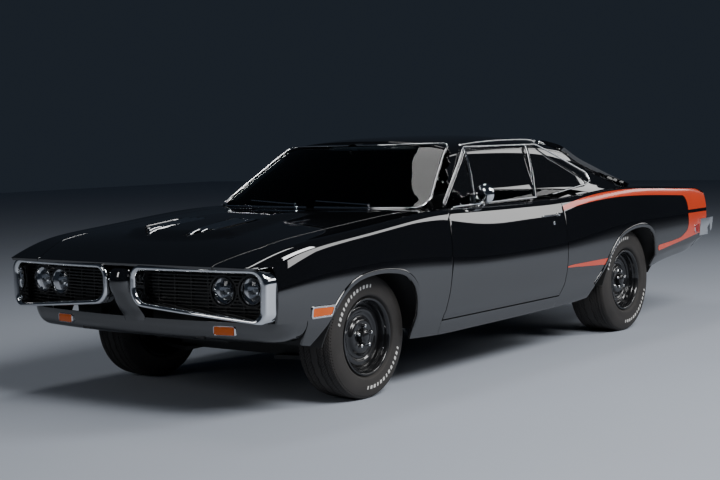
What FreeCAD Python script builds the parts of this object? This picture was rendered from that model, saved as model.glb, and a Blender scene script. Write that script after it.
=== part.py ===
"""A two-door muscle car of about 1970, as an assembly of its panels, glass, lamps, cabin and running gear.

Frame: +X forward, +Y to the driver's (left) side, +Z up. The origin is on the ground, at the centre of
the whole car's length and width. Lengths are in millimetres and angles in degrees.
"""
import FreeCAD, Part
import math
import os
from bisect import bisect_right

Vector = FreeCAD.Vector
os.makedirs("parts", exist_ok=True)

# Driving dimensions of the whole car
length = 5326.0
width = 1948.0
height = 1388.0
wheelbase = 2972.0
front_overhang = 985.0
front_track = 1516.0
rear_track = 1504.0
front_tyre_radius = 331.0
front_tyre_width = 236.0
rear_tyre_radius = 355.0
rear_tyre_width = 279.0
rim_radius = 190.5

# Sheet, gaps and clearances
skin = 14.0
door_thickness = 92.0
glass_thickness = 6.0
seam = 7.0
seat_gap = 0.3
overrun = 60.0
moving_gap = 9.0

# Places that follow from the driving dimensions
half_width = width / 2
nose_x = length / 2
tail_x = -length / 2
front_axle_x = nose_x - front_overhang
rear_axle_x = front_axle_x - wheelbase


# Small tools for numbers
def curve_through(rows, position):
    """Smooth value at a position, through rows of (position, value), without overshoot between them."""
    rows = sorted(rows)
    places = [row[0] for row in rows]
    values = [row[1] for row in rows]
    position = min(max(position, places[0]), places[-1])
    slopes = [(values[i + 1] - values[i]) / (places[i + 1] - places[i]) for i in range(len(rows) - 1)]
    tangents = [slopes[0]]
    for before, after in zip(slopes, slopes[1:]):
        steady = before * after > 0
        tangents.append(2 * before * after / (before + after) if steady else 0.0)
    tangents.append(slopes[-1])
    i = min(max(bisect_right(places, position) - 1, 0), len(slopes) - 1)
    span = places[i + 1] - places[i]
    t = (position - places[i]) / span
    start = values[i] * (1 + 2 * t) * (1 - t) ** 2 + tangents[i] * span * t * (1 - t) ** 2
    end = values[i + 1] * t * t * (3 - 2 * t) - tangents[i + 1] * span * t * t * (1 - t)
    return start + end


# Small tools for solids
def box(low, high):
    """Solid box between two corners."""
    return Part.makeBox(high[0] - low[0], high[1] - low[1], high[2] - low[2], Vector(*low))


def cylinder(radius, start, end):
    """Solid cylinder between two points."""
    axis = Vector(*end) - Vector(*start)
    return Part.makeCylinder(radius, axis.Length, Vector(*start), axis)


def prism(corners, travel):
    """Solid from a closed outline of corners, pushed along a vector."""
    points = [Vector(*corner) for corner in corners]
    return Part.Face(Part.makePolygon(points + points[:1])).extrude(Vector(*travel))


def bezier(*poles):
    """Bezier edge through its poles."""
    curve = Part.BezierCurve()
    curve.setPoles([Vector(*pole) for pole in poles])
    return curve.toShape()


def spline(points):
    """Smooth edge through points."""
    curve = Part.BSplineCurve()
    curve.interpolate([Vector(*point) for point in points])
    return curve.toShape()


def rounded_outline(corners, radii):
    """Closed wire through corners, each rounded by an arc of its own radius."""
    points = [Vector(*corner) for corner in corners]
    count = len(points)
    edges = []
    arcs = []
    for i, point in enumerate(points):
        to_before = points[i - 1] - point
        to_after = points[(i + 1) % count] - point
        half_turn = to_before.getAngle(to_after) / 2
        reach = radii[i] / math.tan(half_turn)
        start = point + to_before.normalize() * reach
        end = point + to_after.normalize() * reach
        inward = (to_before + to_after).normalize()
        middle = point + inward * (radii[i] / math.sin(half_turn) - radii[i])
        arcs.append((start, middle, end))
    for i, (start, middle, end) in enumerate(arcs):
        edges.append(Part.Arc(start, middle, end).toShape())
        edges.append(Part.LineSegment(end, arcs[(i + 1) % count][0]).toShape())
    return Part.Wire(edges)


def fuse(*shapes):
    """One solid from several that meet."""
    return shapes[0].multiFuse(list(shapes[1:])).removeSplitter()


def group(shapes):
    """Several separate solids as one shape."""
    return Part.makeCompound([solid for shape in shapes for solid in shape.Solids])


def mirrored(shape):
    """The same shape on the right side of the car."""
    return shape.mirror(Vector(0, 0, 0), Vector(0, 1, 0))


def largest(shape):
    """The largest solid of a cut shape, without slivers."""
    return max(shape.Solids, key=lambda solid: solid.Volume)


def flip(point):
    """The same point on the right side of the car."""
    return Vector(point.x, -point.y, point.z)


# Body lines: share of length, then shares of the half width (widest, sill, shoulder)
# and of the height (sill, lower crease, shoulder, hood or deck edge, centre line)
body_line_shares = (
    (0.506, 0.929, 0.873, 0.885, 0.284, 0.366, 0.542, 0.532, 0.539),
    (0.478, 0.959, 0.903, 0.922, 0.279, 0.360, 0.576, 0.566, 0.581),
    (0.446, 0.973, 0.919, 0.939, 0.274, 0.341, 0.612, 0.604, 0.618),
    (0.409, 0.983, 0.927, 0.953, 0.251, 0.328, 0.634, 0.625, 0.645),
    (0.362, 0.990, 0.934, 0.963, 0.227, 0.317, 0.650, 0.643, 0.666),
    (0.315, 0.994, 0.937, 0.965, 0.216, 0.308, 0.666, 0.657, 0.681),
    (0.259, 0.997, 0.940, 0.962, 0.205, 0.297, 0.686, 0.673, 0.693),
    (0.193, 0.999, 0.943, 0.947, 0.196, 0.295, 0.700, 0.690, 0.703),
    (0.090, 1.000, 0.945, 0.924, 0.198, 0.304, 0.700, 0.706, 0.712),
    (-0.010, 1.000, 0.945, 0.924, 0.201, 0.314, 0.696, 0.709, 0.715),
    (-0.102, 0.998, 0.943, 0.943, 0.209, 0.324, 0.700, 0.713, 0.720),
    (-0.198, 0.996, 0.940, 0.961, 0.245, 0.339, 0.716, 0.722, 0.731),
    (-0.248, 0.994, 0.938, 0.961, 0.270, 0.349, 0.719, 0.723, 0.732),
    (-0.318, 0.988, 0.929, 0.955, 0.310, 0.364, 0.712, 0.719, 0.729),
    (-0.398, 0.975, 0.916, 0.943, 0.342, 0.389, 0.697, 0.706, 0.718),
    (-0.462, 0.961, 0.903, 0.929, 0.375, 0.411, 0.680, 0.688, 0.699),
    (-0.506, 0.947, 0.891, 0.912, 0.461, 0.483, 0.652, 0.659, 0.666),
)
line_names = ("widest", "sill_y", "shoulder_y", "sill_z", "crease_z", "shoulder_z", "edge_z", "centre_z")
line_scales = (half_width, half_width, half_width, height, height, height, height, height)
crease_tuck = 12.0
shoulder_round = 46.0
edge_line_share = 0.76
station_count = 18


def body_line(name, x):
    """Value of a body line at a place along the car."""
    column = line_names.index(name)
    rows = [(row[0] * length, row[column + 1] * line_scales[column]) for row in body_line_shares]
    return curve_through(rows, x)


def body_section(x, inset):
    """Closed outline of the lower body at one station, set in by a thickness and open below the sill."""
    line = {name: body_line(name, x) for name in line_names}
    crease_y = line["widest"] - crease_tuck - inset
    sill_y = line["sill_y"] - inset
    sill_z = line["sill_z"]
    if inset:
        lean = (crease_y - sill_y) / (line["crease_z"] - sill_z)
        sill_y -= lean * overrun
        sill_z -= overrun
    shoulder = Vector(x, line["shoulder_y"] - inset, line["shoulder_z"] - inset)
    rise = shoulder.z - line["crease_z"]
    bulge_y = (8 * (line["widest"] - inset) - crease_y - shoulder.y) / 6
    low_bulge = Vector(x, bulge_y, line["crease_z"] + rise * 0.30)
    high_bulge = Vector(x, bulge_y, line["crease_z"] + rise * 0.64)
    side_end = shoulder + (high_bulge - shoulder).normalize() * shoulder_round
    edge = Vector(x, half_width * edge_line_share - inset, line["edge_z"] - inset)
    top_end = shoulder + (edge - shoulder).normalize() * shoulder_round
    centre_z = line["centre_z"] - inset
    top_pole_z = (16 * centre_z - 2 * top_end.z - 8 * edge.z) / 6

    sill = Vector(x, sill_y, sill_z)
    crease = Vector(x, crease_y, line["crease_z"])
    edges = [
        bezier(flip(sill), sill),
        bezier(sill, crease),
        bezier(crease, low_bulge, high_bulge, side_end),
        bezier(side_end, shoulder, top_end),
        bezier(top_end, edge, (x, 0, top_pole_z), flip(edge), flip(top_end)),
        bezier(flip(top_end), flip(shoulder), flip(side_end)),
        bezier(flip(side_end), flip(high_bulge), flip(low_bulge), flip(crease)),
        bezier(flip(crease), flip(sill)),
    ]
    return Part.Wire(edges)


def body_loft(inset):
    """Lower body as one solid, or its hollow when it is set in."""
    reach = body_line_shares[0][0] * length + (overrun if inset else 0)
    stations = [reach - 2 * reach * i / (station_count - 1) for i in range(station_count)]
    return Part.makeLoft([body_section(x, inset) for x in stations], True, False)


# Glasshouse lines: share of height, then shares of length (windscreen centre, windscreen corner,
# rear corner, rear centre) and shares of the half width (front corner, side, rear corner)
glasshouse_line_shares = (
    (0.660, 0.2090, 0.1930, -0.3060, -0.2400, 0.905, 0.930, 0.905),
    (0.709, 0.1985, 0.1820, -0.2880, -0.2270, 0.850, 0.904, 0.870),
    (0.755, 0.1850, 0.1660, -0.2430, -0.2140, 0.812, 0.868, 0.835),
    (0.804, 0.1710, 0.1490, -0.2100, -0.1990, 0.776, 0.832, 0.795),
    (0.852, 0.1560, 0.1310, -0.1790, -0.1800, 0.742, 0.793, 0.750),
    (0.915, 0.1355, 0.1075, -0.1530, -0.1560, 0.696, 0.736, 0.695),
    (0.957, 0.1210, 0.0900, -0.1360, -0.1410, 0.655, 0.688, 0.645),
    (1.010, 0.1020, 0.0680, -0.1150, -0.1230, 0.600, 0.640, 0.590),
)
glasshouse_corner_share = 0.06
raked_inset_share = 1.5
section_count = 10


def glasshouse_section(z, inset):
    """Closed plan outline of the glasshouse at one height, set in by a thickness."""
    columns = [[(row[0] * height, row[i]) for row in glasshouse_line_shares] for i in range(1, 8)]
    shares = [curve_through(rows, z) for rows in columns]
    front_x, front_corner_x, rear_corner_x, rear_x = (share * length for share in shares[:4])
    front_y, side_y, rear_y = (share * half_width - inset for share in shares[4:])
    front_x -= inset * raked_inset_share
    front_corner_x -= inset * raked_inset_share
    rear_x += inset * raked_inset_share
    rear_corner_x += inset * raked_inset_share
    corner = glasshouse_corner_share * half_width
    middle_x = (front_corner_x + rear_corner_x) / 2
    front_pole_x = (8 * front_x - front_corner_x * 2) / 6
    rear_pole_x = (8 * rear_x - rear_corner_x * 2) / 6
    front_left = Vector(front_corner_x, front_y, z)
    front_side = Vector(front_corner_x - corner * 3, front_y + (side_y - front_y) * 0.75, z)
    rear_side = Vector(rear_corner_x + corner * 3, rear_y + (side_y - rear_y) * 0.75, z)
    rear_left = Vector(rear_corner_x, rear_y - corner, z)
    front_tip = Vector(front_corner_x - corner * 0.6, front_y + corner * 0.35, z)
    rear_tip = Vector(rear_corner_x, rear_y, z)
    front_pole = Vector(front_pole_x, front_y * 0.55, z)
    rear_pole = Vector(rear_pole_x, rear_y * 0.62, z)
    side_pole = Vector(middle_x, side_y + (side_y - front_side.y) * 0.6, z)
    edges = [
        bezier(flip(front_left), flip(front_pole), front_pole, front_left),
        bezier(front_left, front_tip, front_side),
        bezier(front_side, side_pole, rear_side),
        bezier(rear_side, rear_tip, rear_left),
        bezier(rear_left, rear_pole, flip(rear_pole), flip(rear_left)),
        bezier(flip(rear_left), flip(rear_tip), flip(rear_side)),
        bezier(flip(rear_side), flip(side_pole), flip(front_side)),
        bezier(flip(front_side), flip(front_tip), flip(front_left)),
    ]
    return Part.Wire(edges)


# Roof crown: share of length, share of height at the centre line
roof_line_shares = (
    (0.160, 0.955),
    (0.109, 0.982),
    (0.070, 0.993),
    (-0.004, 1.000),
    (-0.080, 0.996),
    (-0.126, 0.982),
    (-0.190, 0.940),
)
roof_edge_share = 0.700
roof_spring_share = 0.925


def roof_section(x, inset):
    """Closed crown outline of the roof at one station, down into the glasshouse."""
    centre_z = curve_through([(row[0] * length, row[1] * height) for row in roof_line_shares], x) - inset
    edge_y = roof_edge_share * half_width - inset
    spring_z = centre_z - (1 - roof_spring_share) * height
    base_z = glasshouse_line_shares[0][0] * height - overrun
    pole_z = centre_z - (centre_z - spring_z) * 0.10
    top_z = (16 * centre_z - 2 * spring_z - 8 * pole_z) / 6
    low = Vector(x, half_width, base_z)
    high = Vector(x, edge_y, spring_z)
    shoulder = Vector(x, edge_y, pole_z)
    edges = [
        bezier(flip(low), low),
        bezier(low, high),
        bezier(high, shoulder, (x, 0, top_z), flip(shoulder), flip(high)),
        bezier(flip(high), flip(low)),
    ]
    return Part.Wire(edges)


def glasshouse_loft(inset):
    """Glasshouse under its roof crown as one solid, or its hollow when it is set in."""
    low, high = glasshouse_line_shares[0][0] * height, glasshouse_line_shares[-1][0] * height
    heights = [low + (high - low) * i / (section_count - 1) for i in range(section_count)]
    walls = Part.makeLoft([glasshouse_section(z, inset) for z in heights], True, False)
    front = glasshouse_line_shares[0][1] * length + overrun
    rear = glasshouse_line_shares[0][3] * length - overrun
    stations = [front + (rear - front) * i / (section_count - 1) for i in range(section_count)]
    crown = Part.makeLoft([roof_section(x, inset) for x in stations], True, False)
    return walls.common(crown)


# Seams in side view: share of height, share of length
door_front_seam_shares = (
    (0.180, 0.2050),
    (0.255, 0.2037),
    (0.303, 0.1998),
    (0.374, 0.1943),
    (0.494, 0.1896),
    (0.594, 0.1872),
    (0.654, 0.1848),
    (0.705, 0.1759),
    (0.760, 0.1640),
)
door_rear_seam_shares = (
    (0.180, -0.0350),
    (0.252, -0.0464),
    (0.301, -0.0537),
    (0.415, -0.0571),
    (0.553, -0.0580),
    (0.675, -0.0625),
    (0.760, -0.0650),
)
door_bottom_share = 0.258
door_bottom = door_bottom_share * height
door_inner_y = 795.0
door_rear_slant = 0.18
seam_point_count = 7
belt_top = 0.760 * height


def seam_x(rows, z):
    """Place of a seam along the car at one height."""
    return curve_through([(row[0] * height, row[1] * length) for row in rows], z)


def seam_points(rows, low, high, shift):
    """Points along a seam between two heights, shifted along the car."""
    inner = [row[0] * height for row in rows if low + skin < row[0] * height < high - skin]
    return [Vector(seam_x(rows, z) + shift, 0, z) for z in [low, *inner, high]]


def side_zone(front, rear, low, high, front_shift=0.0, rear_shift=0.0, slant=0.0):
    """Left side of the car between two seams or places and two heights, as a solid."""
    if isinstance(front, tuple):
        front_edge = seam_points(front, low, high, front_shift)
    else:
        front_edge = [Vector(front, 0, low), Vector(front, 0, high)]
    if isinstance(rear, tuple):
        rear_edge = seam_points(rear, low, high, rear_shift)
    else:
        rear_edge = [Vector(rear, 0, low), Vector(rear, 0, high)]
    front_wire = spline(front_edge) if len(front_edge) > 2 else Part.makeLine(*front_edge)
    rear_wire = spline(rear_edge) if len(rear_edge) > 2 else Part.makeLine(*rear_edge)
    bottom = Part.makeLine(rear_edge[0], front_edge[0])
    top = Part.makeLine(front_edge[-1], rear_edge[-1])
    face = Part.Face(Part.Wire(Part.__sortEdges__([front_wire, top, rear_wire, bottom])))
    reach = half_width + overrun
    face.translate(Vector(slant * half_width, 0, 0))
    return face.extrude(Vector(-slant * reach, reach, 0))


# Wheel arches: places as shares of the tyre's radius, along the car from the axle and up from the ground
front_arch_shares = (
    (1.950, 0.760),
    (1.540, 1.130),
    (1.140, 1.570),
    (0.910, 1.790),
    (0.620, 1.945),
    (0.210, 2.018),
    (-0.270, 2.010),
    (-0.630, 1.935),
    (-0.860, 1.780),
    (-0.960, 1.570),
    (-0.985, 1.270),
    (-0.950, 0.960),
    (-0.930, 0.500),
)
rear_arch_shares = (
    (1.950, 0.700),
    (1.560, 1.050),
    (1.276, 1.340),
    (0.952, 1.660),
    (0.631, 1.880),
    (0.140, 2.003),
    (-0.363, 2.015),
    (-0.634, 1.950),
    (-0.803, 1.810),
    (-0.885, 1.600),
    (-0.925, 1.350),
    (-0.915, 1.100),
    (-0.905, 0.600),
)
arch_inner_y = 560.0


def arch_cut(shares, axle_x, radius):
    """Solid that opens a wheel arch through the left side."""
    points = [Vector(axle_x + along * radius, arch_inner_y, up * radius) for along, up in shares]
    closing = Part.makeLine(points[-1], points[0])
    face = Part.Face(Part.Wire([spline(points), closing]))
    return face.extrude(Vector(0, half_width, 0))


# Plan lines: the hood and the deck lid
hood_front_x = nose_x - 76.0
hood_clip_x = nose_x - 295.0
hood_front_y = 640.0
hood_side_y = 735.0
hood_rear_x = 0.2150 * length
hood_rear_bow = 46.0
cowl_side_y = 762.0
lid_front_x = -0.262 * length
lid_front_y = 600.0
lid_rear_y = 640.0
lid_front_bow = 145.0


def hood_plan(gap):
    """Plan outline of the hood, set in by a gap, as a tall solid."""
    front = nose_x + overrun
    corner = Vector(hood_rear_x + gap, hood_side_y - gap, 0)
    clip = Vector(hood_clip_x, hood_side_y - gap, 0)
    tip = Vector(hood_front_x, hood_front_y - gap, 0)
    end = Vector(front, hood_front_y - gap, 0)
    points = [corner, clip, tip, end, flip(end), flip(tip), flip(clip), flip(corner)]
    edges = [Part.makeLine(a, b) for a, b in zip(points, points[1:])]
    edges.append(bezier(flip(corner), (corner.x + 2 * hood_rear_bow, 0, 0), corner))
    face = Part.Face(Part.Wire(edges))
    return face.extrude(Vector(0, 0, height))


def lid_plan(gap):
    """Plan outline of the deck lid, set in by a gap, as a tall solid."""
    front = Vector(lid_front_x - gap, lid_front_y - gap, 0)
    rear = Vector(tail_x - overrun, lid_rear_y - gap, 0)
    edges = [
        Part.makeLine(front, rear),
        Part.makeLine(rear, flip(rear)),
        Part.makeLine(flip(rear), flip(front)),
        bezier(flip(front), (front.x + 2 * lid_front_bow, 0, 0), front),
    ]
    return Part.Face(Part.Wire(edges)).extrude(Vector(0, 0, height))


# Nose and tail lines in plan, as parabolas across the car
nose_sweep = 115.0
loop_front_x = nose_x - 23.0
loop_sweep = 95.0
loop_depth = 75.0
tail_sweep = 60.0
tail_face_x = tail_x + 48.0


def plan_band(front_x, front_sweep, back_x, back_sweep, low, high, reach=half_width):
    """Solid between two arcs across the car and two heights; a sweep is how far the ends lie aft."""
    def across(place_x, sweep):
        left = Vector(place_x - sweep, reach, low)
        if sweep:
            return Part.Arc(left, Vector(place_x, 0, low), flip(left)).toShape()
        return Part.makeLine(left, flip(left))

    front, back = across(front_x, front_sweep), across(back_x, back_sweep)
    left_end = Part.makeLine(Vector(front_x - front_sweep, reach, low), Vector(back_x - back_sweep, reach, low))
    right_end = Part.makeLine(Vector(front_x - front_sweep, -reach, low), Vector(back_x - back_sweep, -reach, low))
    face = Part.Face(Part.Wire(Part.__sortEdges__([front, left_end, back, right_end])))
    return face.extrude(Vector(0, 0, high - low))


def arc_sag(sweep, y):
    """How far an arc across the car, swept back at its ends, lies aft of its middle at one place across."""
    radius = (half_width ** 2 + sweep ** 2) / (2 * sweep)
    return radius - math.sqrt(radius ** 2 - y ** 2)


# Bumper loops in front view: corners of the left loop
loop_top = 765.0
loop_outer_y = 934.0
loop_outer_bottom = 493.0
loop_inner_bottom = 560.0
loop_inner_y = 84.0
loop_outer_lean = 8.0
loop_face = 24.0
loop_outer_face = 46.0
loop_inner_face = 34.0
loop_rounds = (70.0, 52.0, 90.0, 60.0)
loop_hole_rounds = (56.0, 44.0, 76.0, 46.0)


def loop_outline(face, outer_face, inner_face, rounds, x):
    """Closed outline of the left bumper loop, set in by its face widths."""
    corners = [
        (x, loop_outer_y - outer_face, loop_top - face),
        (x, loop_outer_y - outer_face - loop_outer_lean, loop_outer_bottom + face),
        (x, loop_inner_y + inner_face, loop_inner_bottom + face),
        (x, loop_inner_y + inner_face, loop_top - face),
    ]
    return rounded_outline(corners, rounds)


def build_bumper_loops():
    """Two chrome loops that frame the grille, swept back across the car."""
    back = loop_front_x - loop_sweep - loop_depth - overrun
    reach = Vector(nose_x + overrun - back, 0, 0)
    outside = Part.Face(loop_outline(0, 0, 0, loop_rounds, back)).extrude(reach)
    hole = Part.Face(loop_outline(loop_face, loop_outer_face, loop_inner_face, loop_hole_rounds, back))
    frame = outside.cut(hole.extrude(reach))
    band = plan_band(loop_front_x, loop_sweep, loop_front_x - loop_depth, loop_sweep, 0, height)
    left = largest(frame.common(band))
    return group([left, mirrored(left)])


# Body skins
outer_body = body_loft(0)
hollow_body = body_loft(skin)
seat_body = body_loft(skin + seat_gap)
marker_depth = 8.0
proud_body = body_loft(-marker_depth)
outer_house = glasshouse_loft(0)
pillar_thickness = 34.0
hollow_house = glasshouse_loft(pillar_thickness)
left_half = box((-length, 0, -height), (length, width, 2 * height))
body_skin = outer_body.cut(hollow_body)
left_skin = body_skin.common(left_half)
nose_zone = plan_band(nose_x + 5 * overrun, 0, nose_x, nose_sweep, -overrun, height, width)
bumper_zone_top = loop_top + moving_gap
bumper_zone = plan_band(nose_x + 5 * overrun, 0, loop_front_x - loop_depth - seat_gap, loop_sweep,
                        0, bumper_zone_top)
tail_zone = plan_band(tail_face_x, -tail_sweep, tail_x - 5 * overrun, 0, -overrun, height)

# Cabin opening in the top of the body
cabin_inset = 36.0
cabin_z = 0.640 * height
cabin_rear_x = -0.2165 * length
belt_section_z = 0.709 * height
cabin_cut = Part.Face(glasshouse_section(belt_section_z, cabin_inset))
cabin_cut.translate(Vector(0, 0, cabin_z - belt_section_z))
cabin_cut = cabin_cut.extrude(Vector(0, 0, height))
cabin_cut = cabin_cut.common(box((cabin_rear_x, -width, 0), (nose_x, width, 2 * height)))

front_valance_joint = nose_x - 395.0
valance_top = 486.0


def build_fender():
    """Left front fender."""
    zone = side_zone(nose_x + overrun, door_front_seam_shares, 0, belt_top, rear_shift=moving_gap)
    panel = left_skin.common(zone).cut(hood_plan(-seam / 2))
    cowl_zone = box((0, -width, cabin_z), (hood_rear_x + overrun, cowl_side_y, height))
    panel = panel.cut(arch_cut(front_arch_shares, front_axle_x, front_tyre_radius))
    panel = panel.cut(nose_zone).cut(bumper_zone).cut(cowl_zone)
    low_front = box((front_valance_joint, 0, 0), (nose_x + overrun, width, valance_top + seam))
    return largest(panel.cut(low_front))


def build_cowl():
    """Panel between the hood and the windscreen."""
    zone = box((0, -cowl_side_y + seam, cabin_z), (hood_rear_x + overrun, cowl_side_y - seam, height))
    return largest(body_skin.common(zone).cut(hood_plan(-seam / 2)).cut(cabin_cut))


def build_hood():
    """Hood panel between the fenders."""
    panel = body_skin.common(hood_plan(seam / 2)).cut(nose_zone)
    zone = box((hood_rear_x - overrun, -width, bumper_zone_top), (nose_x + overrun, width, height))
    return largest(panel.common(zone))


# Doors
hinge_x = 0.2137 * length
hinge_y = 905.0


def hinge_barrel(clearance):
    """Solid of revolution about the left door's hinge axis that its front edge sweeps round."""
    low, high = 0.15 * height, 0.78 * height
    profile = []
    for i in range(seam_point_count + 3):
        z = low + (high - low) * i / (seam_point_count + 2)
        reach = hinge_x - seam_x(door_front_seam_shares, z)
        skin_y = skin_half_width(hinge_x - reach, z)
        profile.append(Vector(hinge_x - math.hypot(reach, max(skin_y - hinge_y, 0)) + clearance, hinge_y, z))
    axis_low, axis_high = Vector(hinge_x, hinge_y, low), Vector(hinge_x, hinge_y, high)
    edges = [spline(profile), Part.makeLine(profile[-1], axis_high), Part.makeLine(axis_high, axis_low),
             Part.makeLine(axis_low, profile[0])]
    return Part.Face(Part.Wire(edges)).revolve(axis_low, Vector(0, 0, 1), 360)


def skin_half_width(x, z):
    """Half width of the body's skin at one place."""
    section = body_section(x, 0)
    line = Part.makeLine(Vector(x, 0, z), Vector(x, width, z))
    distance, places, _ = line.distToShape(section)
    return max(place[0].y for place in places)


def build_door():
    """Left door below its glass: outer and inner panels as one block as thick as the door."""
    block = outer_body.cut(body_loft(door_thickness))
    zone = side_zone(door_front_seam_shares, 2 * tail_x, door_bottom, belt_top)
    rear = side_zone(2 * nose_x, door_rear_seam_shares, door_bottom - overrun, belt_top, slant=door_rear_slant)
    inner = box((-length, door_inner_y, 0), (length, width, height))
    return largest(block.common(inner).common(zone).common(rear).cut(hinge_barrel(0)))


# Windows in side view: places of the left side opening, as shares of length and height
side_window_shares = (
    (0.1700, 0.7130),
    (0.0785, 0.9450),
    (-0.0790, 0.9450),
    (-0.1220, 0.8720),
    (-0.1620, 0.8030),
    (-0.1630, 0.7640),
    (-0.1480, 0.7500),
    (-0.0360, 0.7130),
)
side_window_rounds = (3.0, 30.0, 90.0, 300.0, 22.0, 16.0, 30.0, 150.0)
quarter_split_shares = ((-0.0120, 0.7050), (-0.0540, 0.9450))
windscreen_low_share = 0.7080
windscreen_high_share = 0.9560
windscreen_low_y = 0.812 * half_width
windscreen_high_y = 0.618 * half_width
windscreen_round = 46.0
rear_window_low_share = 0.7330
rear_window_high_share = 0.9560
rear_window_low_y = 0.640 * half_width
rear_window_high_y = 0.560 * half_width
rear_window_round = 70.0
windscreen_start_x = 0.085 * length
rear_window_start_x = -0.080 * length


def side_window_cut():
    """Solid that opens the left side's door and quarter windows in the pillars."""
    corners = [(along * length, 0, up * height) for along, up in side_window_shares]
    return Part.Face(rounded_outline(corners, side_window_rounds)).extrude(Vector(0, width, 0))


def across_window_cut(low_share, high_share, low_y, high_y, corner, start_x, end_x, grow=0.0):
    """Solid that opens the windscreen or the rear window along the car."""
    low, high = low_share * height - grow, high_share * height + grow
    low_y, high_y = low_y + grow, high_y + grow
    corners = [(start_x, -low_y, low), (start_x, low_y, low), (start_x, high_y, high), (start_x, -high_y, high)]
    wire = rounded_outline(corners, (corner,) * 4)
    return Part.Face(wire).extrude(Vector(end_x - start_x, 0, 0))


def windscreen_cut(grow=0.0):
    """Solid that opens the windscreen."""
    return across_window_cut(windscreen_low_share, windscreen_high_share, windscreen_low_y,
                             windscreen_high_y, windscreen_round, windscreen_start_x, nose_x, grow)


def rear_window_cut(grow=0.0):
    """Solid that opens the rear window."""
    return across_window_cut(rear_window_low_share, rear_window_high_share, rear_window_low_y,
                             rear_window_high_y, rear_window_round, rear_window_start_x, tail_x, grow)


house_shell = outer_house.cut(hollow_house).cut(outer_body)
left_window = side_window_cut()
open_shell = house_shell.cut(windscreen_cut()).cut(rear_window_cut()).cut(left_window).cut(mirrored(left_window))
door_relief = proud_body.common(side_zone(door_front_seam_shares, door_rear_seam_shares, door_bottom, belt_top,
                                          front_shift=moving_gap, rear_shift=-moving_gap))
open_shell = open_shell.cut(door_relief).cut(mirrored(door_relief))
belt_rear_x = seam_x(door_rear_seam_shares, belt_top) - moving_gap
(belt_front_x, belt_sill_z), (belt_end_x, belt_end_z) = [(row[0] * length, row[1] * height)
                                                         for row in side_window_shares[:2]]
belt_lean = (belt_front_x - belt_end_x) / (belt_end_z - belt_sill_z)
belt_cut = prism([(belt_rear_x, 0, cabin_z), (belt_front_x + belt_lean * (belt_sill_z - cabin_z), 0, cabin_z),
                  (belt_front_x - belt_lean * seam, 0, belt_sill_z + seam), (belt_rear_x, 0, belt_sill_z + seam)],
                 (0, width, 0))
open_shell = open_shell.cut(belt_cut).cut(mirrored(belt_cut))
pillar_split_z = 0.862 * height
pillar_split_x = -0.050 * length
pillar_zone = box((tail_x, -width, 0), (pillar_split_x, width, pillar_split_z))


def build_roof():
    """Roof panel with the windscreen pillars."""
    return largest(open_shell.cut(pillar_zone))


deck_front_x = -0.130 * length
deck_zone = box((lid_front_x - seam, -lid_front_y, cabin_z), (deck_front_x, lid_front_y, height))
lock_pillar_x = -0.0750 * length
lock_pillar_depth = 50.0


def build_quarter():
    """Left quarter panel with its pillar up to the roof."""
    zone = side_zone(door_rear_seam_shares, tail_x - overrun, 0, belt_top, front_shift=-moving_gap,
                     slant=door_rear_slant)
    panel = left_skin.common(zone)
    panel = panel.cut(arch_cut(rear_arch_shares, rear_axle_x, rear_tyre_radius)).cut(cabin_cut)
    panel = largest(panel.cut(deck_zone).cut(lid_plan(-seam / 2)).cut(tail_zone))
    pillar = largest(open_shell.common(pillar_zone).common(left_half))
    post = box((lock_pillar_x, door_inner_y, door_bottom),
               (lock_pillar_x + lock_pillar_depth, half_width, belt_top)).common(hollow_body)
    return fuse(panel, pillar, largest(post.cut(cabin_cut)))


def build_deck_panel():
    """Filler panel between the rear window and the deck lid."""
    panel = body_skin.common(deck_zone).cut(lid_plan(-seam / 2)).cut(cabin_cut)
    return largest(panel)


def build_deck_lid():
    """Deck lid."""
    zone = box((tail_x, -width, cabin_z), (lid_front_x + 2 * overrun, width, height))
    return largest(body_skin.common(lid_plan(seam / 2)).common(zone).cut(tail_zone))


# Fixed glass and its bright trim
glass_inset = 9.0
trim_width = 17.0
trim_proud = 5.0
drip_rail_width = 13.0
outer_glass = glasshouse_loft(glass_inset)
glass_shell = outer_glass.cut(glasshouse_loft(glass_inset + glass_thickness)).cut(outer_body)
trim_shell = glasshouse_loft(-trim_proud).cut(outer_house).cut(outer_body)


def build_windscreen():
    """Windscreen glass."""
    return largest(glass_shell.common(windscreen_cut()))


def build_rear_window():
    """Rear window glass."""
    return largest(glass_shell.common(rear_window_cut()))


def quarter_split(shift):
    """Solid behind the line where the door glass meets the quarter glass."""
    low, high = [(along * length + shift, up * height) for along, up in quarter_split_shares]
    slope = (high[0] - low[0]) / (high[1] - low[1])
    bottom = (low[0] - slope * overrun, low[1] - overrun)
    top = (high[0] + slope * overrun, high[1] + overrun)
    corners = [(bottom[0], 0, bottom[1]), (top[0], 0, top[1]), (tail_x, 0, top[1]), (tail_x, 0, bottom[1])]
    return prism(corners, (0, width, 0))


quarter_glass_lift = moving_gap


def build_quarter_glass():
    """Left and right quarter windows."""
    pane = glass_shell.common(left_window).common(quarter_split(0))
    over_door = box((-length, 0, 0), (length, width, body_line("edge_z", 0) + quarter_glass_lift))
    left = largest(pane.cut(over_door))
    return group([left, mirrored(left)])


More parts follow.
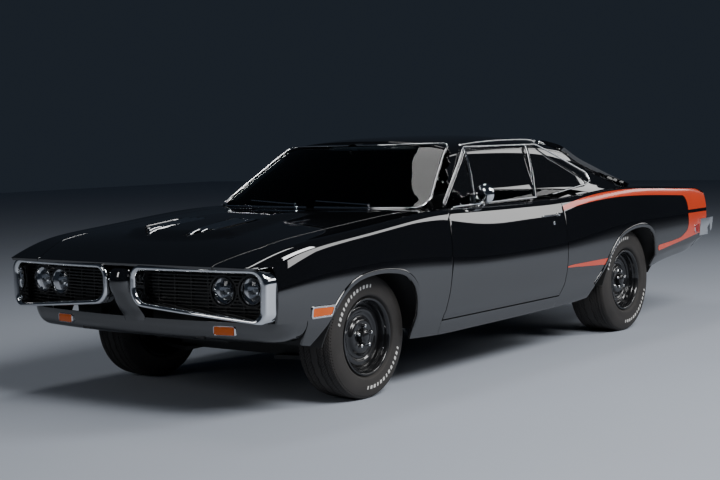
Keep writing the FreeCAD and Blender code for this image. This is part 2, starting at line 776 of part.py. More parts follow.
def build_window_trims():
    """Bright trims round the windscreen, the rear window and the side openings, with the drip rails."""
    front = trim_shell.common(windscreen_cut(trim_width)).cut(windscreen_cut())
    rear = trim_shell.common(rear_window_cut(trim_width)).cut(rear_window_cut())
    corners = [(along * length, 0, up * height) for along, up in side_window_shares]
    wire = rounded_outline(corners, side_window_rounds)
    grown = Part.Face(wire.makeOffset2D(drip_rail_width)).extrude(Vector(0, width, 0))
    side = trim_shell.common(grown).cut(left_window)
    above_belt = box((-length, 0, body_line("edge_z", 0) + quarter_glass_lift), (length, width, 2 * height))
    side = largest(side.common(above_belt).cut(windscreen_cut(trim_width)).cut(rear_window_cut(trim_width)))
    return group([largest(front), largest(rear), side, mirrored(side)])


# Door glass and bright parts of the door
vent_frame_width = 17.0
vent_post_shares = ((0.1160, 0.7050), (0.0810, 0.9300))
door_glass_top = 0.9395 * height
vent_frame_depth = 16.0
handle_size = (190.0, 40.0, 20.0)
handle_place_shares = (-0.0270, 0.6270)
mirror_radius = 56.0
mirror_depth = 38.0
mirror_place = (0.1120 * length, 0.936 * half_width, 0.7620 * height)
mirror_stalk_radius = 9.0
mirror_base_radius = 22.0


def leaning_strip(rows, thickness, low, high):
    """Strip across the door glass that leans along two places of shares."""
    (x_low, z_low), (x_high, z_high) = [(along * length, up * height) for along, up in rows]
    slope = (x_high - x_low) / (z_high - z_low)
    start, end = x_low + slope * (low - z_low), x_low + slope * (high - z_low)
    corners = [(start, 0, low), (end, 0, high), (end - thickness, 0, high), (start - thickness, 0, low)]
    return prism(corners, (0, width, 0))


def window_front_edge(shift):
    """Solid behind the side window's front edge, shifted aft by a gap."""
    (x_low, z_low), (x_high, z_high) = [(row[0] * length - shift, row[1] * height) for row in side_window_shares[:2]]
    slope = (x_high - x_low) / (z_high - z_low)
    low, high = z_low - overrun, z_high + overrun
    corners = [(x_low - slope * overrun, 0, low), (x_high + slope * overrun, 0, high), (tail_x, 0, high),
               (tail_x, 0, low)]
    return prism(corners, (0, width, 0))


def door_window_zone():
    """Left door's window space, clear of the pillar, the roof rail and the quarter glass."""
    below_top = box((-length, 0, 0), (length, width, door_glass_top))
    return window_front_edge(moving_gap).common(below_top).cut(quarter_split(moving_gap))


def vent_frame_zone():
    """Front frame of the vent window and its post."""
    front = window_front_edge(moving_gap).cut(window_front_edge(moving_gap + vent_frame_width))
    post = leaning_strip(vent_post_shares, vent_frame_width, cabin_z, door_glass_top)
    below_top = box((-length, 0, 0), (length, width, door_glass_top))
    return front.common(below_top), post.common(below_top)


def build_door_glass(door):
    """Left door's vent pane and main pane."""
    front, post = vent_frame_zone()
    panes = glass_shell.common(door_window_zone()).cut(front).cut(post).cut(door)
    solids = sorted(panes.Solids, key=lambda solid: solid.Volume)[-2:]
    return group(solids)


def build_door_trim(door):
    """Left door's vent frame, handle and, on the driver's side, its mirror."""
    shell = glasshouse_loft(glass_inset / 2).cut(glasshouse_loft(glass_inset / 2 + vent_frame_depth))
    frames = [largest(shell.common(zone).cut(door)) for zone in vent_frame_zone()]
    handle_x, handle_z = handle_place_shares[0] * length, handle_place_shares[1] * height
    skin_y = skin_half_width(handle_x, handle_z)
    grip = box((handle_x - handle_size[0] / 2, skin_y - handle_size[1] / 2, handle_z - handle_size[2] / 2),
               (handle_x + handle_size[0] / 2, skin_y + handle_size[1] / 2, handle_z + handle_size[2] / 2))
    return frames, largest(grip.cut(outer_body).common(box((-length, 0, 0), (length, half_width, height))))


def build_mirror(door):
    """Round mirror on its stalk, on the driver's door."""
    x, y, z = mirror_place
    head = cylinder(mirror_radius, (x, y, z), (x + mirror_depth, y, z))
    foot = (x + mirror_depth / 2, y - mirror_radius / 2, body_line("shoulder_z", x) - mirror_base_radius)
    stalk = cylinder(mirror_stalk_radius, (x + mirror_depth / 2, y, z), foot)
    return largest(fuse(head, stalk).cut(door))


# Wheels: profile places as shares of the rim radius and the half width of the rim
rim_lip_radius = 208.0
rim_wall = 5.0
rim_flange = 12.0
rim_seat_depth = 14.0
rim_well_depth = 30.0
rim_well_half = 24.0
hub_y = 800.0
front_rim_width = 208.0
rear_rim_width = 248.0
hub_radius = 78.0
hub_face = 18.0
bolt_circle = 57.15
bolt_radius = 11.0
bolt_tip = 46.0
bolt_count = 5
hub_bore = 36.0
cap_clearance = 2.0
disc_depth = 30.0
disc_profile_shares = (
    (0.420, 0.600),
    (0.504, 0.067),
    (0.630, 0.000),
    (0.703, 0.333),
    (0.945, -0.267),
    (0.945, 0.133),
    (0.693, 0.733),
    (0.620, 0.333),
    (0.525, 0.400),
    (0.451, 1.000),
)
tyre_profile_shares = (
    (0.800, 1.000),
    (0.940, 0.940),
    (1.000, 0.820),
)


def ring(profile, centre_y, x, z):
    """Solid of revolution about a wheel's axle from (radius, across) points."""
    points = [Vector(x, centre_y + across, z + radius) for radius, across in profile]
    face = Part.Face(Part.makePolygon(points + points[:1]))
    return face.revolve(Vector(x, 0, z), Vector(0, 1, 0), 360)


def build_rim(x, y, z, lip_width):
    """Left wheel's steel rim: barrel, stepped disc and lug nuts."""
    half = lip_width / 2
    seat, inside, well = rim_radius, rim_radius - rim_seat_depth, rim_radius - rim_well_depth
    barrel = ring([(rim_lip_radius, half), (rim_lip_radius - rim_wall, half + rim_wall), (inside, half - rim_flange),
                   (inside, rim_well_half + rim_seat_depth), (well, rim_well_half),
                   (well, -rim_well_half), (inside, -rim_well_half - rim_seat_depth), (inside, -half + rim_flange),
                   (rim_lip_radius - rim_wall, -half - rim_wall), (rim_lip_radius, -half),
                   (seat, -half + rim_flange), (seat, -rim_well_half - rim_seat_depth),
                   (well + rim_wall, -rim_well_half + rim_wall), (well + rim_wall, rim_well_half - rim_wall),
                   (seat, rim_well_half + rim_seat_depth), (seat, half - rim_flange)], y, x, z)
    profile = [(radius * rim_radius, across * disc_depth) for radius, across in disc_profile_shares]
    disc = ring(profile + [(hub_bore, disc_depth), (hub_bore, hub_face)], hub_y, x, z)
    rim = fuse(barrel, disc)
    for i in range(bolt_count):
        angle = 2 * math.pi * i / bolt_count
        nut_x, nut_z = x + bolt_circle * math.sin(angle), z + bolt_circle * math.cos(angle)
        rim = rim.fuse(cylinder(bolt_radius, (nut_x, hub_y + hub_face, nut_z), (nut_x, hub_y + bolt_tip, nut_z)))
    return largest(rim.removeSplitter())


def build_tyre(x, y, z, radius, tyre_width, lip_width):
    """Left wheel's tyre around its rim."""
    half = tyre_width / 2
    bead = lip_width / 2 - rim_flange - seat_gap
    outer = [(rim_radius + seat_gap, bead), (rim_lip_radius + rim_wall, bead + rim_wall)]
    outer += [(radius * up, half * across) for up, across in tyre_profile_shares]
    inner = [(up, -across) for up, across in reversed(outer)]
    return ring(outer + inner, y, x, z)


# Front valance with the divider between the loops
valance_front_x = nose_x - 140.0
valance_sweep = 118.0
valance_sheet = 14.0
divider_half_width = 70.0
divider_shares = ((0.965, 0.350), (0.975, 0.352), (0.990, 0.430), (1.000, 0.490), (0.998, 0.545), (0.965, 0.550))
parking_lamp_size = (130.0, 46.0)
parking_lamp_place = (585.0, 443.0)
parking_lamp_depth = 34.0
loop_clearance = 2.0


def parking_lamp_outline(grow, x):
    """Rounded outline of the left parking lamp in front view."""
    y, z = parking_lamp_place
    half_y, half_z = parking_lamp_size[0] / 2 + grow, parking_lamp_size[1] / 2 + grow
    corners = [(x, y - half_y, z - half_z), (x, y + half_y, z - half_z), (x, y + half_y, z + half_z),
               (x, y - half_y, z + half_z)]
    return rounded_outline(corners, (half_z / 2,) * 4)


def build_front_valance():
    """Painted panel below and between the bumper loops, wrapped round the front corners."""
    plate = plan_band(valance_front_x, valance_sweep, valance_front_x - valance_sheet, valance_sweep, 0, height)
    wrap_zone = box((0, -width, 0), (nose_x, width, valance_top))
    bay_zone = box((0, -width, valance_top - seam), (nose_x, width, height))
    plate = plate.common(fuse(outer_body.common(wrap_zone), seat_body.common(bay_zone)))
    below_loops = box((0, -width, 0), (nose_x, width, loop_inner_bottom))
    sides = body_skin.common(box((front_valance_joint + seam, -width, 0), (nose_x, width, valance_top)))
    sides = sides.cut(plan_band(nose_x + overrun, 0, valance_front_x, valance_sweep, 0, height, width))
    back = loop_front_x - loop_sweep - loop_depth - overrun
    loops = Part.Face(loop_outline(-loop_clearance, -loop_clearance, -loop_clearance, loop_rounds, back))
    loops = loops.extrude(Vector(nose_x + overrun - back, 0, 0))
    corners = [(along * nose_x, -divider_half_width, up * height) for along, up in divider_shares]
    divider = prism(corners, (0, 2 * divider_half_width, 0))
    web = box((valance_front_x - valance_sheet, -divider_half_width, valance_top - overrun),
              (divider.BoundBox.XMin + valance_sheet, divider_half_width, loop_top - loop_face))
    panel = fuse(plate.common(below_loops), sides, divider, web).cut(loops).cut(mirrored(loops))
    lamp = Part.Face(parking_lamp_outline(0, front_valance_joint)).extrude(Vector(nose_x, 0, 0))
    return largest(panel.cut(lamp).cut(mirrored(lamp)))


# Grille and headlamps
grille_plane = 105.0
grille_sheet = 22.0
grille_wall = 10.0
grille_pitch = 17.0
grille_slot = 9.5
grille_rib_width = 5.0
grille_rib_count = 8
grille_bracket_y = 380.0
grille_bracket_width = 40.0
radiator_x = nose_x - 330.0
support_sheet = 16.0
headlamp_radius = 73.0
headlamp_places = ((600.0, 643.0), (767.0, 647.0))
headlamp_dome = 14.0
headlamp_depth = 60.0
headlamp_front_x = nose_x - 175.0


def build_grille():
    """Black grille of fine bars in its box behind the loops."""
    front, back = loop_front_x - loop_depth - seat_gap, loop_front_x - grille_plane - grille_sheet
    casing = plan_band(front, loop_sweep, back, loop_sweep, 0, height)
    plate = plan_band(loop_front_x - grille_plane, loop_sweep, back, loop_sweep, 0, height)
    start = back - loop_sweep - overrun
    reach = Vector(nose_x - start, 0, 0)
    faces = (loop_face, loop_outer_face, loop_inner_face)
    outside = Part.Face(loop_outline(*(face - grille_wall for face in faces), loop_rounds, start)).extrude(reach)
    inside = Part.Face(loop_outline(*faces, loop_hole_rounds, start)).extrude(reach)
    walls = casing.common(outside).cut(inside)
    slots = []
    span = (loop_outer_y - loop_inner_y) / grille_rib_count
    z = loop_outer_bottom + loop_face
    while z < loop_top - loop_face:
        for i in range(grille_rib_count):
            y = loop_inner_y + i * span
            slots.append(box((start, y + grille_rib_width / 2, z), (nose_x, y + span - grille_rib_width / 2,
                                                                  z + grille_slot)))
        z += grille_pitch
    bars = plate.common(inside).cut(Part.makeCompound(slots))
    end_x = back - arc_sag(loop_sweep, grille_bracket_y + grille_bracket_width)
    bracket = box((radiator_x + support_sheet + seat_gap, grille_bracket_y, loop_top - loop_face),
                  (end_x + overrun, grille_bracket_y + grille_bracket_width, loop_top - loop_face + grille_wall))
    bracket = bracket.cut(plan_band(nose_x + overrun, loop_sweep, front, loop_sweep, 0, height, half_width))
    pods = [cylinder(headlamp_radius + grille_wall, (start, y, z), (nose_x, y, z)) for y, z in headlamp_places]
    holes = [cylinder(headlamp_radius + seat_gap, (start, y, z), (nose_x, y, z)) for y, z in headlamp_places]
    frames = fuse(*pods).common(plate)
    left = largest(fuse(walls, bars, frames, bracket).cut(Part.makeCompound(holes)))
    return group([left, mirrored(left)])


def headlamp(y, z):
    """One round sealed headlamp with its domed lens."""
    x = headlamp_front_x - (y / half_width) ** 2 * loop_sweep + loop_sweep / 2
    body = cylinder(headlamp_radius, (x - headlamp_depth, y, z), (x, y, z))
    ball_radius = (headlamp_radius ** 2 + headlamp_dome ** 2) / (2 * headlamp_dome)
    ball = Part.makeSphere(ball_radius, Vector(x + headlamp_dome - ball_radius, y, z))
    cap = ball.common(cylinder(headlamp_radius, (x, y, z), (x + overrun, y, z)))
    return body.fuse(cap).removeSplitter()


marker_shares = ((0.4215, 0.4000), (0.3880, 0.3950), (0.3931, 0.3560), (0.4218, 0.3580))


def side_marker(shares):
    """Side marker lamp as a thin block on the left side of the body."""
    corners = [(along * length, half_width / 2, up * height) for along, up in shares]
    zone = prism(corners, (0, half_width, 0))
    return largest(zone.common(proud_body).cut(outer_body))


def build_front_lamps():
    """Four headlamps, two parking lamps and two side markers."""
    lamps = [headlamp(y, z) for y, z in headlamp_places]
    band = plan_band(valance_front_x + marker_depth / 2, valance_sweep,
                     valance_front_x - parking_lamp_depth, valance_sweep, 0, height)
    outline = Part.Face(parking_lamp_outline(-seat_gap, front_valance_joint)).extrude(Vector(nose_x, 0, 0))
    lamps.append(largest(band.common(outline)))
    lamps.append(side_marker(marker_shares))
    return group(lamps + [mirrored(lamp) for lamp in lamps])


# Tail
tail_panel_low = 470.0
rear_bumper_low = 588.0
rear_bumper_high = 716.0
rear_bumper_wing = 255.0
tail_lamp_outer_y = 820.0
tail_lamp_inner_y = 300.0
tail_lamp_low = 744.0
tail_lamp_high = 852.0
tail_lamp_taper = 26.0
tail_lamp_round = 14.0
tail_lamp_depth = 26.0
tail_lamp_count = 3
tail_lamp_rib = 16.0


def tail_band(outer_depth, inner_depth, low, high):
    """Solid behind the tail face between two depths and two heights, bowed like the tail."""
    return plan_band(tail_face_x + inner_depth, -tail_sweep, tail_face_x + outer_depth, -tail_sweep, low, high)


def tail_lamp_outline(index, grow, x):
    """Rounded outline of one segment of the left rear lamp."""
    step = (tail_lamp_outer_y - tail_lamp_inner_y) / tail_lamp_count
    inner = tail_lamp_inner_y + index * step + tail_lamp_rib / 2
    outer = inner + step - tail_lamp_rib

    def low(y):
        return tail_lamp_low + tail_lamp_taper * (tail_lamp_outer_y - y) / (tail_lamp_outer_y - tail_lamp_inner_y)

    corners = [(x, inner - grow, low(inner) - grow), (x, outer + grow, low(outer) - grow),
               (x, outer + grow, tail_lamp_high + grow), (x, inner - grow, tail_lamp_high + grow)]
    return rounded_outline(corners, (tail_lamp_round,) * 4)


def build_tail_panel():
    """Painted panel across the tail with the rear valance."""
    panel = tail_band(0, skin, tail_panel_low, height).common(seat_body)
    for index in range(tail_lamp_count):
        hole = Part.Face(tail_lamp_outline(index, 0, tail_x - overrun)).extrude(Vector(3 * overrun, 0, 0))
        panel = panel.cut(hole).cut(mirrored(hole))
    return largest(panel)


rear_marker_shares = ((-0.4370, 0.4850), (-0.4490, 0.4850), (-0.4490, 0.4450), (-0.4370, 0.4450))


def build_rear_lamps():
    """Segmented rear lamps with the rear side markers."""
    lamps = [side_marker(rear_marker_shares)]
    for index in range(tail_lamp_count):
        outline = Part.Face(tail_lamp_outline(index, -seat_gap, tail_x - overrun)).extrude(Vector(3 * overrun, 0, 0))
        lamps.append(largest(tail_band(-marker_depth / 2, tail_lamp_depth, 0, height).common(outline)))
    return group(lamps + [mirrored(lamp) for lamp in lamps])


def build_rear_bumper():
    """Chrome rear bumper with its ends wrapped round the corners."""
    blade = plan_band(tail_face_x - seat_gap, -tail_sweep, tail_x, -tail_sweep, rear_bumper_low, rear_bumper_high)
    blade_half = body_line("widest", tail_x + tail_sweep) + skin
    blade = blade.common(box((2 * tail_x, -blade_half, 0), (0, blade_half, height)))
    wing_zone = box((tail_x, -width, rear_bumper_low), (tail_x + rear_bumper_wing, width, rear_bumper_high))
    wings = body_loft(-skin).cut(body_loft(-seat_gap)).common(wing_zone)
    return largest(fuse(blade, wings))


# Floor, sills and tunnel
floor_z = 305.0
floor_sheet = 10.0
sill_depth = 108.0
toe_x = front_axle_x - 345.0
firewall_x = front_axle_x - 512.0
firewall_sheet = 12.0
toe_top = 560.0
seat_riser_x = rear_axle_x + 640.0
boot_riser_x = rear_axle_x + 300.0
boot_floor_z = 506.0
tunnel_half_low = 150.0
tunnel_half_high = 116.0
tunnel_top = 486.0
rail_low = 395.0
rail_high = 465.0
rail_inner_y = 392.0
rail_outer_y = 446.0
rail_front_x = valance_front_x - valance_sheet - arc_sag(valance_sweep, rail_outer_y) - seat_gap
toe_half = 437.5
rear_well_inner_y = 596.0
rear_well_clearance = 46.0
rear_well_sheet = 8.0
jack_pad_x = rear_axle_x + 894.0
jack_pad_y = 700.0
jack_pad_half = 45.0
jack_pad_depth = 6.0


def tunnel_prism(shrink, low):
    """Tunnel outline along the cabin, set in by a sheet."""
    corners = [(seat_riser_x, -tunnel_half_low + shrink, low), (seat_riser_x, tunnel_half_low - shrink, low),
               (seat_riser_x, tunnel_half_high - shrink, tunnel_top - shrink),
               (seat_riser_x, -tunnel_half_high + shrink, tunnel_top - shrink)]
    return prism(corners, (toe_x - seat_riser_x, 0, 0))


def build_floor_pan():
    """Floor with its tunnel, sills, toe board, rear ramp and front rails."""
    sill_zone = box((seat_riser_x, 0, 0), (nose_x, width, door_bottom - moving_gap))
    ahead = side_zone(door_front_seam_shares, 2 * tail_x, 0, belt_top, front_shift=moving_gap - seat_gap)
    behind = side_zone(door_rear_seam_shares, 2 * tail_x, 0, belt_top, front_shift=seat_gap - moving_gap,
                       slant=door_rear_slant)
    sill = outer_body.cut(body_loft(sill_depth)).common(sill_zone).common(ahead).cut(behind).common(left_half)
    sill = largest(sill)
    edge = body_line("sill_y", 0) - sill_depth + skin
    floor = fuse(box((seat_riser_x, -edge, floor_z), (firewall_x, edge, floor_z + floor_sheet)),
                 box((firewall_x, -toe_half, floor_z), (toe_x, toe_half, floor_z + floor_sheet)))
    floor = floor.cut(tunnel_prism(floor_sheet, floor_z - overrun))
    tunnel = tunnel_prism(0, floor_z).cut(tunnel_prism(floor_sheet, floor_z - overrun))
    toe = prism([(toe_x, -toe_half, floor_z), (toe_x, -toe_half, floor_z + floor_sheet),
                 (firewall_x, -toe_half, toe_top), (firewall_x - firewall_sheet, -toe_half, toe_top),
                 (toe_x - firewall_sheet, -toe_half, floor_z)], (0, 2 * toe_half, 0))
    toe = toe.cut(tunnel_prism(floor_sheet, floor_z - overrun))
    toe_front = prism([(toe_x, -toe_half, floor_z + floor_sheet), (firewall_x, -toe_half, toe_top),
                       (toe_x + overrun, -toe_half, toe_top), (toe_x + overrun, -toe_half, floor_z + floor_sheet)],
                      (0, 2 * toe_half, 0))
    tunnel = tunnel.cut(toe_front)
    ramp = prism([(seat_riser_x, -edge, floor_z), (seat_riser_x, -edge, floor_z + floor_sheet),
                  (boot_riser_x, -edge, boot_floor_z + floor_sheet), (boot_riser_x, -edge, boot_floor_z)],
                 (0, 2 * edge, 0))
    ramp = ramp.cut(cylinder(tunnel_top - floor_z, (seat_riser_x + overrun, 0, floor_z),
                             (rear_axle_x, 0, floor_z)))
    well_space = cylinder(rear_tyre_radius + rear_well_clearance + rear_well_sheet + seat_gap,
                          (rear_axle_x, rear_well_inner_y - rear_well_sheet - seat_gap, rear_tyre_radius),
                          (rear_axle_x, width, rear_tyre_radius))
    ramp = ramp.cut(well_space).cut(mirrored(well_space))
    rail = box((firewall_x + seat_gap, rail_inner_y, rail_low), (rail_front_x, rail_outer_y, rail_high))
    rail = largest(rail.cut(toe))
    pad = box((jack_pad_x - jack_pad_half, jack_pad_y - jack_pad_half, floor_z - jack_pad_depth),
              (jack_pad_x + jack_pad_half, jack_pad_y + jack_pad_half, floor_z))
    side = fuse(sill, rail, pad)
    return fuse(floor, tunnel, toe, ramp, side, mirrored(side))


# Inner fenders and firewall
apron_sheet = 8.0
well_clearance = 84.0
apron_top = 800.0
hinge_pillar_depth = 52.0
hinge_plate_shares = ((0.345, 0.385), (0.520, 0.560))
hinge_plate_low_x = 0.17 * length


def well_shell(axle_x, axle_z, radius, inner_y):
    """Half round wheel well over the left wheel, out to the fender's inside."""
    low, high = (axle_x, inner_y, axle_z), (axle_x, half_width, axle_z)
    shell = cylinder(radius + apron_sheet, low, high).cut(cylinder(radius, low, high))
    upper = box((axle_x - length, 0, axle_z), (axle_x + length, width, 2 * height))
    return shell.common(upper).common(seat_body)


def build_firewall():
    """Firewall with both inner fenders and their wheel wells."""
    wall = box((firewall_x - firewall_sheet, -width, toe_top), (firewall_x, width, height)).common(seat_body)
    kick = box((firewall_x - firewall_sheet, toe_half + seat_gap, floor_z + floor_sheet),
               (firewall_x, width, toe_top)).common(seat_body)
    apron = box((firewall_x, rail_outer_y - apron_sheet, rail_high),
                (radiator_x - seat_gap, rail_outer_y, apron_top))
    well = well_shell(front_axle_x, front_tyre_radius, front_tyre_radius + well_clearance, rail_outer_y)
    pillar = box((firewall_x - firewall_sheet - hinge_pillar_depth, door_inner_y + moving_gap, door_bottom),
                 (firewall_x - firewall_sheet, hinge_y, belt_top)).common(seat_body)
    barrel = hinge_barrel(seat_gap)
    plates = [barrel.common(box((hinge_plate_low_x, door_inner_y + 2 * moving_gap, low * height),
                                (firewall_x - firewall_sheet, hinge_y, high * height)))
              for low, high in hinge_plate_shares]
    side = fuse(apron, largest(well), kick, pillar, *plates)
    return fuse(wall, side, mirrored(side))


# Boot
bulkhead_x = rear_axle_x + 180.0
shelf_z = 965.0
boot_end = plan_band(tail_face_x + skin + seat_gap, -tail_sweep, tail_x - 5 * overrun, 0, -overrun, height)


def build_boot_floor():
    """Boot floor with the rear wheel wells, the seat bulkhead and the parcel shelf."""
    floor = box((tail_x, -width, boot_floor_z), (boot_riser_x, width, boot_floor_z + floor_sheet)).cut(boot_end)
    radius = rear_tyre_radius + rear_well_clearance
    well = largest(well_shell(rear_axle_x, rear_tyre_radius, radius, rear_well_inner_y))
    cheek = cylinder(radius + apron_sheet, (rear_axle_x, rear_well_inner_y - apron_sheet, rear_tyre_radius),
                     (rear_axle_x, rear_well_inner_y, rear_tyre_radius))
    cheek = cheek.common(box((tail_x, 0, rear_tyre_radius), (nose_x, width, height)))
    cheek = cheek.cut(box((rear_axle_x - overrun, 0, 0),
                          (rear_axle_x + overrun, width, rear_tyre_radius + axle_tube_radius + overrun)))
    inside = cylinder(radius, (rear_axle_x, rear_well_inner_y, rear_tyre_radius),
                      (rear_axle_x, width, rear_tyre_radius))
    floor = floor.common(seat_body).cut(inside).cut(mirrored(inside))
    bulkhead = box((bulkhead_x - floor_sheet, -width, boot_floor_z), (bulkhead_x, width, shelf_z))
    bulkhead = bulkhead.common(seat_body).cut(inside).cut(mirrored(inside))
    shelf = box((bulkhead_x - 2 * overrun, -lid_front_y, shelf_z - floor_sheet), (bulkhead_x, lid_front_y, shelf_z))
    side = fuse(well, cheek)
    return fuse(floor, bulkhead, shelf, side, mirrored(side))


# Running gear
kingpin_y = 698.0
drum_radius = 138.0
drum_inner_y = 734.0
drum_hub_gap = 9.0
knuckle_half_height = 116.0
knuckle_radius = 22.0
spindle_radius = 40.0
arm_thickness = 22.0
arm_inner_y = 330.0
arm_inner_half = 140.0
arm_outer_half = 26.0
crossmember_half = 62.0
crossmember_low = 205.0
crossmember_high = 315.0
axle_tube_radius = 42.0
housing_radius = 118.0
spring_y = 520.0
spring_width = 56.0
spring_thickness = 26.0
spring_rear_x = rear_axle_x - 700.0
spring_rear_rise = 90.0
shackle_length = 40.0


def build_knuckle():
    """Left steering knuckle with its spindle and brake drum."""
    x, z = front_axle_x, front_tyre_radius
    post = cylinder(knuckle_radius, (x, kingpin_y, z - knuckle_half_height), (x, kingpin_y, z + knuckle_half_height))
    spindle = cylinder(spindle_radius, (x, kingpin_y, z), (x, hub_y, z))
    drum = cylinder(drum_radius, (x, drum_inner_y, z), (x, hub_y - drum_hub_gap, z))
    hub = cylinder(hub_radius, (x, drum_inner_y, z), (x, hub_y + hub_face - seat_gap, z))
    cap = cylinder(hub_bore - cap_clearance, (x, hub_y, z), (x, hub_y + bolt_tip, z))
    return fuse(post, spindle, drum, hub, cap)


def wishbone(z):
    """Left control arm: narrow at its ball joint, wide at the crossmember."""
    corners = [(front_axle_x - arm_inner_half, arm_inner_y, z), (front_axle_x + arm_inner_half, arm_inner_y, z),
               (front_axle_x + arm_outer_half, kingpin_y, z), (front_axle_x - arm_outer_half, kingpin_y, z)]
    boss = cylinder(arm_outer_half, (front_axle_x, kingpin_y, z), (front_axle_x, kingpin_y, z + arm_thickness))
    return fuse(prism(corners, (0, 0, arm_thickness)), boss)


def build_front_suspension():
    """Front crossmember with the lower and upper arms."""
    z = front_tyre_radius
    beam = box((front_axle_x - crossmember_half, -rail_outer_y, crossmember_low),
               (front_axle_x + crossmember_half, rail_outer_y, crossmember_high))
    lower = wishbone(z - knuckle_half_height - seat_gap - arm_thickness)
    post = box((front_axle_x - crossmember_half, rail_inner_y, crossmember_high),
               (front_axle_x + crossmember_half, rail_outer_y, rail_low - seat_gap))
    upper = wishbone(z + knuckle_half_height + seat_gap)
    notch = box((front_axle_x - length, 0, rail_low), (front_axle_x + length, rail_outer_y + seat_gap, apron_top))
    upper = upper.cut(notch)
    return fuse(beam, lower, mirrored(lower), post, mirrored(post)), upper


def build_rear_axle():
    """Rear axle with its housing, brake drums and leaf springs."""
    x, z = rear_axle_x, rear_tyre_radius
    tube = cylinder(axle_tube_radius, (x, -hub_y, z), (x, hub_y, z))
    housing = Part.makeSphere(housing_radius, Vector(x, 0, z))
    drum = cylinder(drum_radius, (x, kingpin_y, z), (x, hub_y - drum_hub_gap, z))
    hub = cylinder(hub_radius, (x, kingpin_y, z), (x, hub_y + hub_face - seat_gap, z))
    cap = cylinder(hub_bore - cap_clearance, (x, hub_y, z), (x, hub_y + bolt_tip, z))
    below_tube = z - axle_tube_radius
    leaf = [Vector(spring_rear_x, spring_y, below_tube + spring_rear_rise),
            Vector(x, spring_y, below_tube - spring_thickness),
            Vector(seat_riser_x + overrun, spring_y, floor_z - spring_thickness - seat_gap)]
    top = [point + Vector(0, 0, spring_thickness) for point in leaf]
    edges = [Part.Arc(*leaf).toShape(), Part.makeLine(leaf[-1], top[-1]), Part.Arc(*top[::-1]).toShape(),
             Part.makeLine(top[0], leaf[0])]
    spring = Part.Face(Part.Wire(edges)).extrude(Vector(0, spring_width, 0))
    shackle = box((spring_rear_x, spring_y, leaf[0].z),
                  (spring_rear_x + shackle_length, spring_y + spring_width, boot_floor_z - seat_gap))
    side = fuse(drum, hub, cap, spring, shackle)
    return fuse(tube, housing, side, mirrored(side))


# Engine bay
engine_low = (front_axle_x - 270.0, -268.0, crossmember_high + seat_gap)
engine_high = (front_axle_x + 440.0, 268.0, 790.0)
radiator_half = 345.0
radiator_low = 400.0
radiator_high = 800.0
radiator_depth = 56.0
support_half = 700.0
support_low = 520.0


def build_engine():
    """Engine as one plain block at its real place."""
    return box(engine_low, engine_high)


def build_radiator():
    """Radiator in its support panel."""
    core = box((radiator_x - radiator_depth, -radiator_half, radiator_low), (radiator_x, radiator_half, radiator_high))
    support = box((radiator_x, -support_half, support_low), (radiator_x + support_sheet, support_half, radiator_high))
    window = box((radiator_x, -radiator_half + 2 * support_sheet, radiator_low),
                 (radiator_x + support_sheet, radiator_half - 2 * support_sheet, radiator_high - 2 * support_sheet))
    foot = box((radiator_x, -rail_outer_y, rail_high + seat_gap),
               (radiator_x + support_sheet, rail_outer_y, support_low))
    return fuse(core, support.fuse(foot).cut(window))


gearbox_radius = 96.0
bell_radius = 146.0
bell_length = 190.0
gearbox_z = 352.0
gearbox_rear_x = front_axle_x - 900.0
shaft_radius = 36.0


def build_gearbox():
    """Gearbox with its bell housing and the propeller shaft to the rear axle."""
    front = engine_low[0] - seat_gap
    bell = Part.makeCone(bell_radius, gearbox_radius, bell_length, Vector(front, 0, gearbox_z), Vector(-1, 0, 0))
    case = cylinder(gearbox_radius, (front - bell_length, 0, gearbox_z), (gearbox_rear_x, 0, gearbox_z))
    end = rear_axle_x + housing_radius - seat_gap
    shaft = cylinder(shaft_radius, (gearbox_rear_x, 0, gearbox_z), (end, 0, rear_tyre_radius))
    housing = Part.makeSphere(housing_radius, Vector(rear_axle_x, 0, rear_tyre_radius))
    return largest(fuse(bell, case, shaft).cut(housing))


# Exhaust and tank
pipe_radius = 27.0
pipe_y = 330.0
pipe_z = 268.0
pipe_front_x = front_axle_x - 150.0
pipe_rear_x = tail_face_x + 60.0
muffler_radius = 62.0
muffler_front_x = rear_axle_x + 1050.0
muffler_rear_x = rear_axle_x + 520.0
muffler_z = floor_z - muffler_radius - moving_gap
hanger_depth = 30.0
tail_pipe_bends = ((rear_axle_x - 340.0, pipe_z), (rear_axle_x - 560.0, 398.0))
tail_hanger_x = rear_axle_x - 1000.0
tank_low = (rear_axle_x - 1130.0, -290.0, 360.0)
tank_high = (rear_axle_x - 430.0, 290.0, boot_floor_z - seat_gap)
tank_round = 40.0


def build_exhaust():
    """Twin exhaust: pipes and mufflers on both sides of the propeller shaft."""
    (low_x, low_z), (high_x, high_z) = tail_pipe_bends
    route = [(pipe_front_x, pipe_y, pipe_z), (low_x, pipe_y, low_z), (high_x, pipe_y, high_z),
             (pipe_rear_x, pipe_y, high_z)]
    pieces = [cylinder(pipe_radius, start, end) for start, end in zip(route, route[1:])]
    pieces += [Part.makeSphere(pipe_radius, Vector(*bend)) for bend in route[1:3]]
    pieces.append(cylinder(muffler_radius, (muffler_front_x, pipe_y, muffler_z), (muffler_rear_x, pipe_y, muffler_z)))
    for x, low, high in ((muffler_front_x + hanger_depth, pipe_z, floor_z), (tail_hanger_x, high_z, boot_floor_z)):
        pieces.append(box((x, pipe_y - pipe_radius / 2, low),
                          (x + hanger_depth, pipe_y + pipe_radius / 2, high - seat_gap)))
    left = fuse(*pieces)
    return group([left, mirrored(left)])


def build_fuel_tank():
    """Fuel tank below the boot floor."""
    tank = box(tank_low, tank_high)
    return tank.makeFillet(tank_round, tank.Edges)


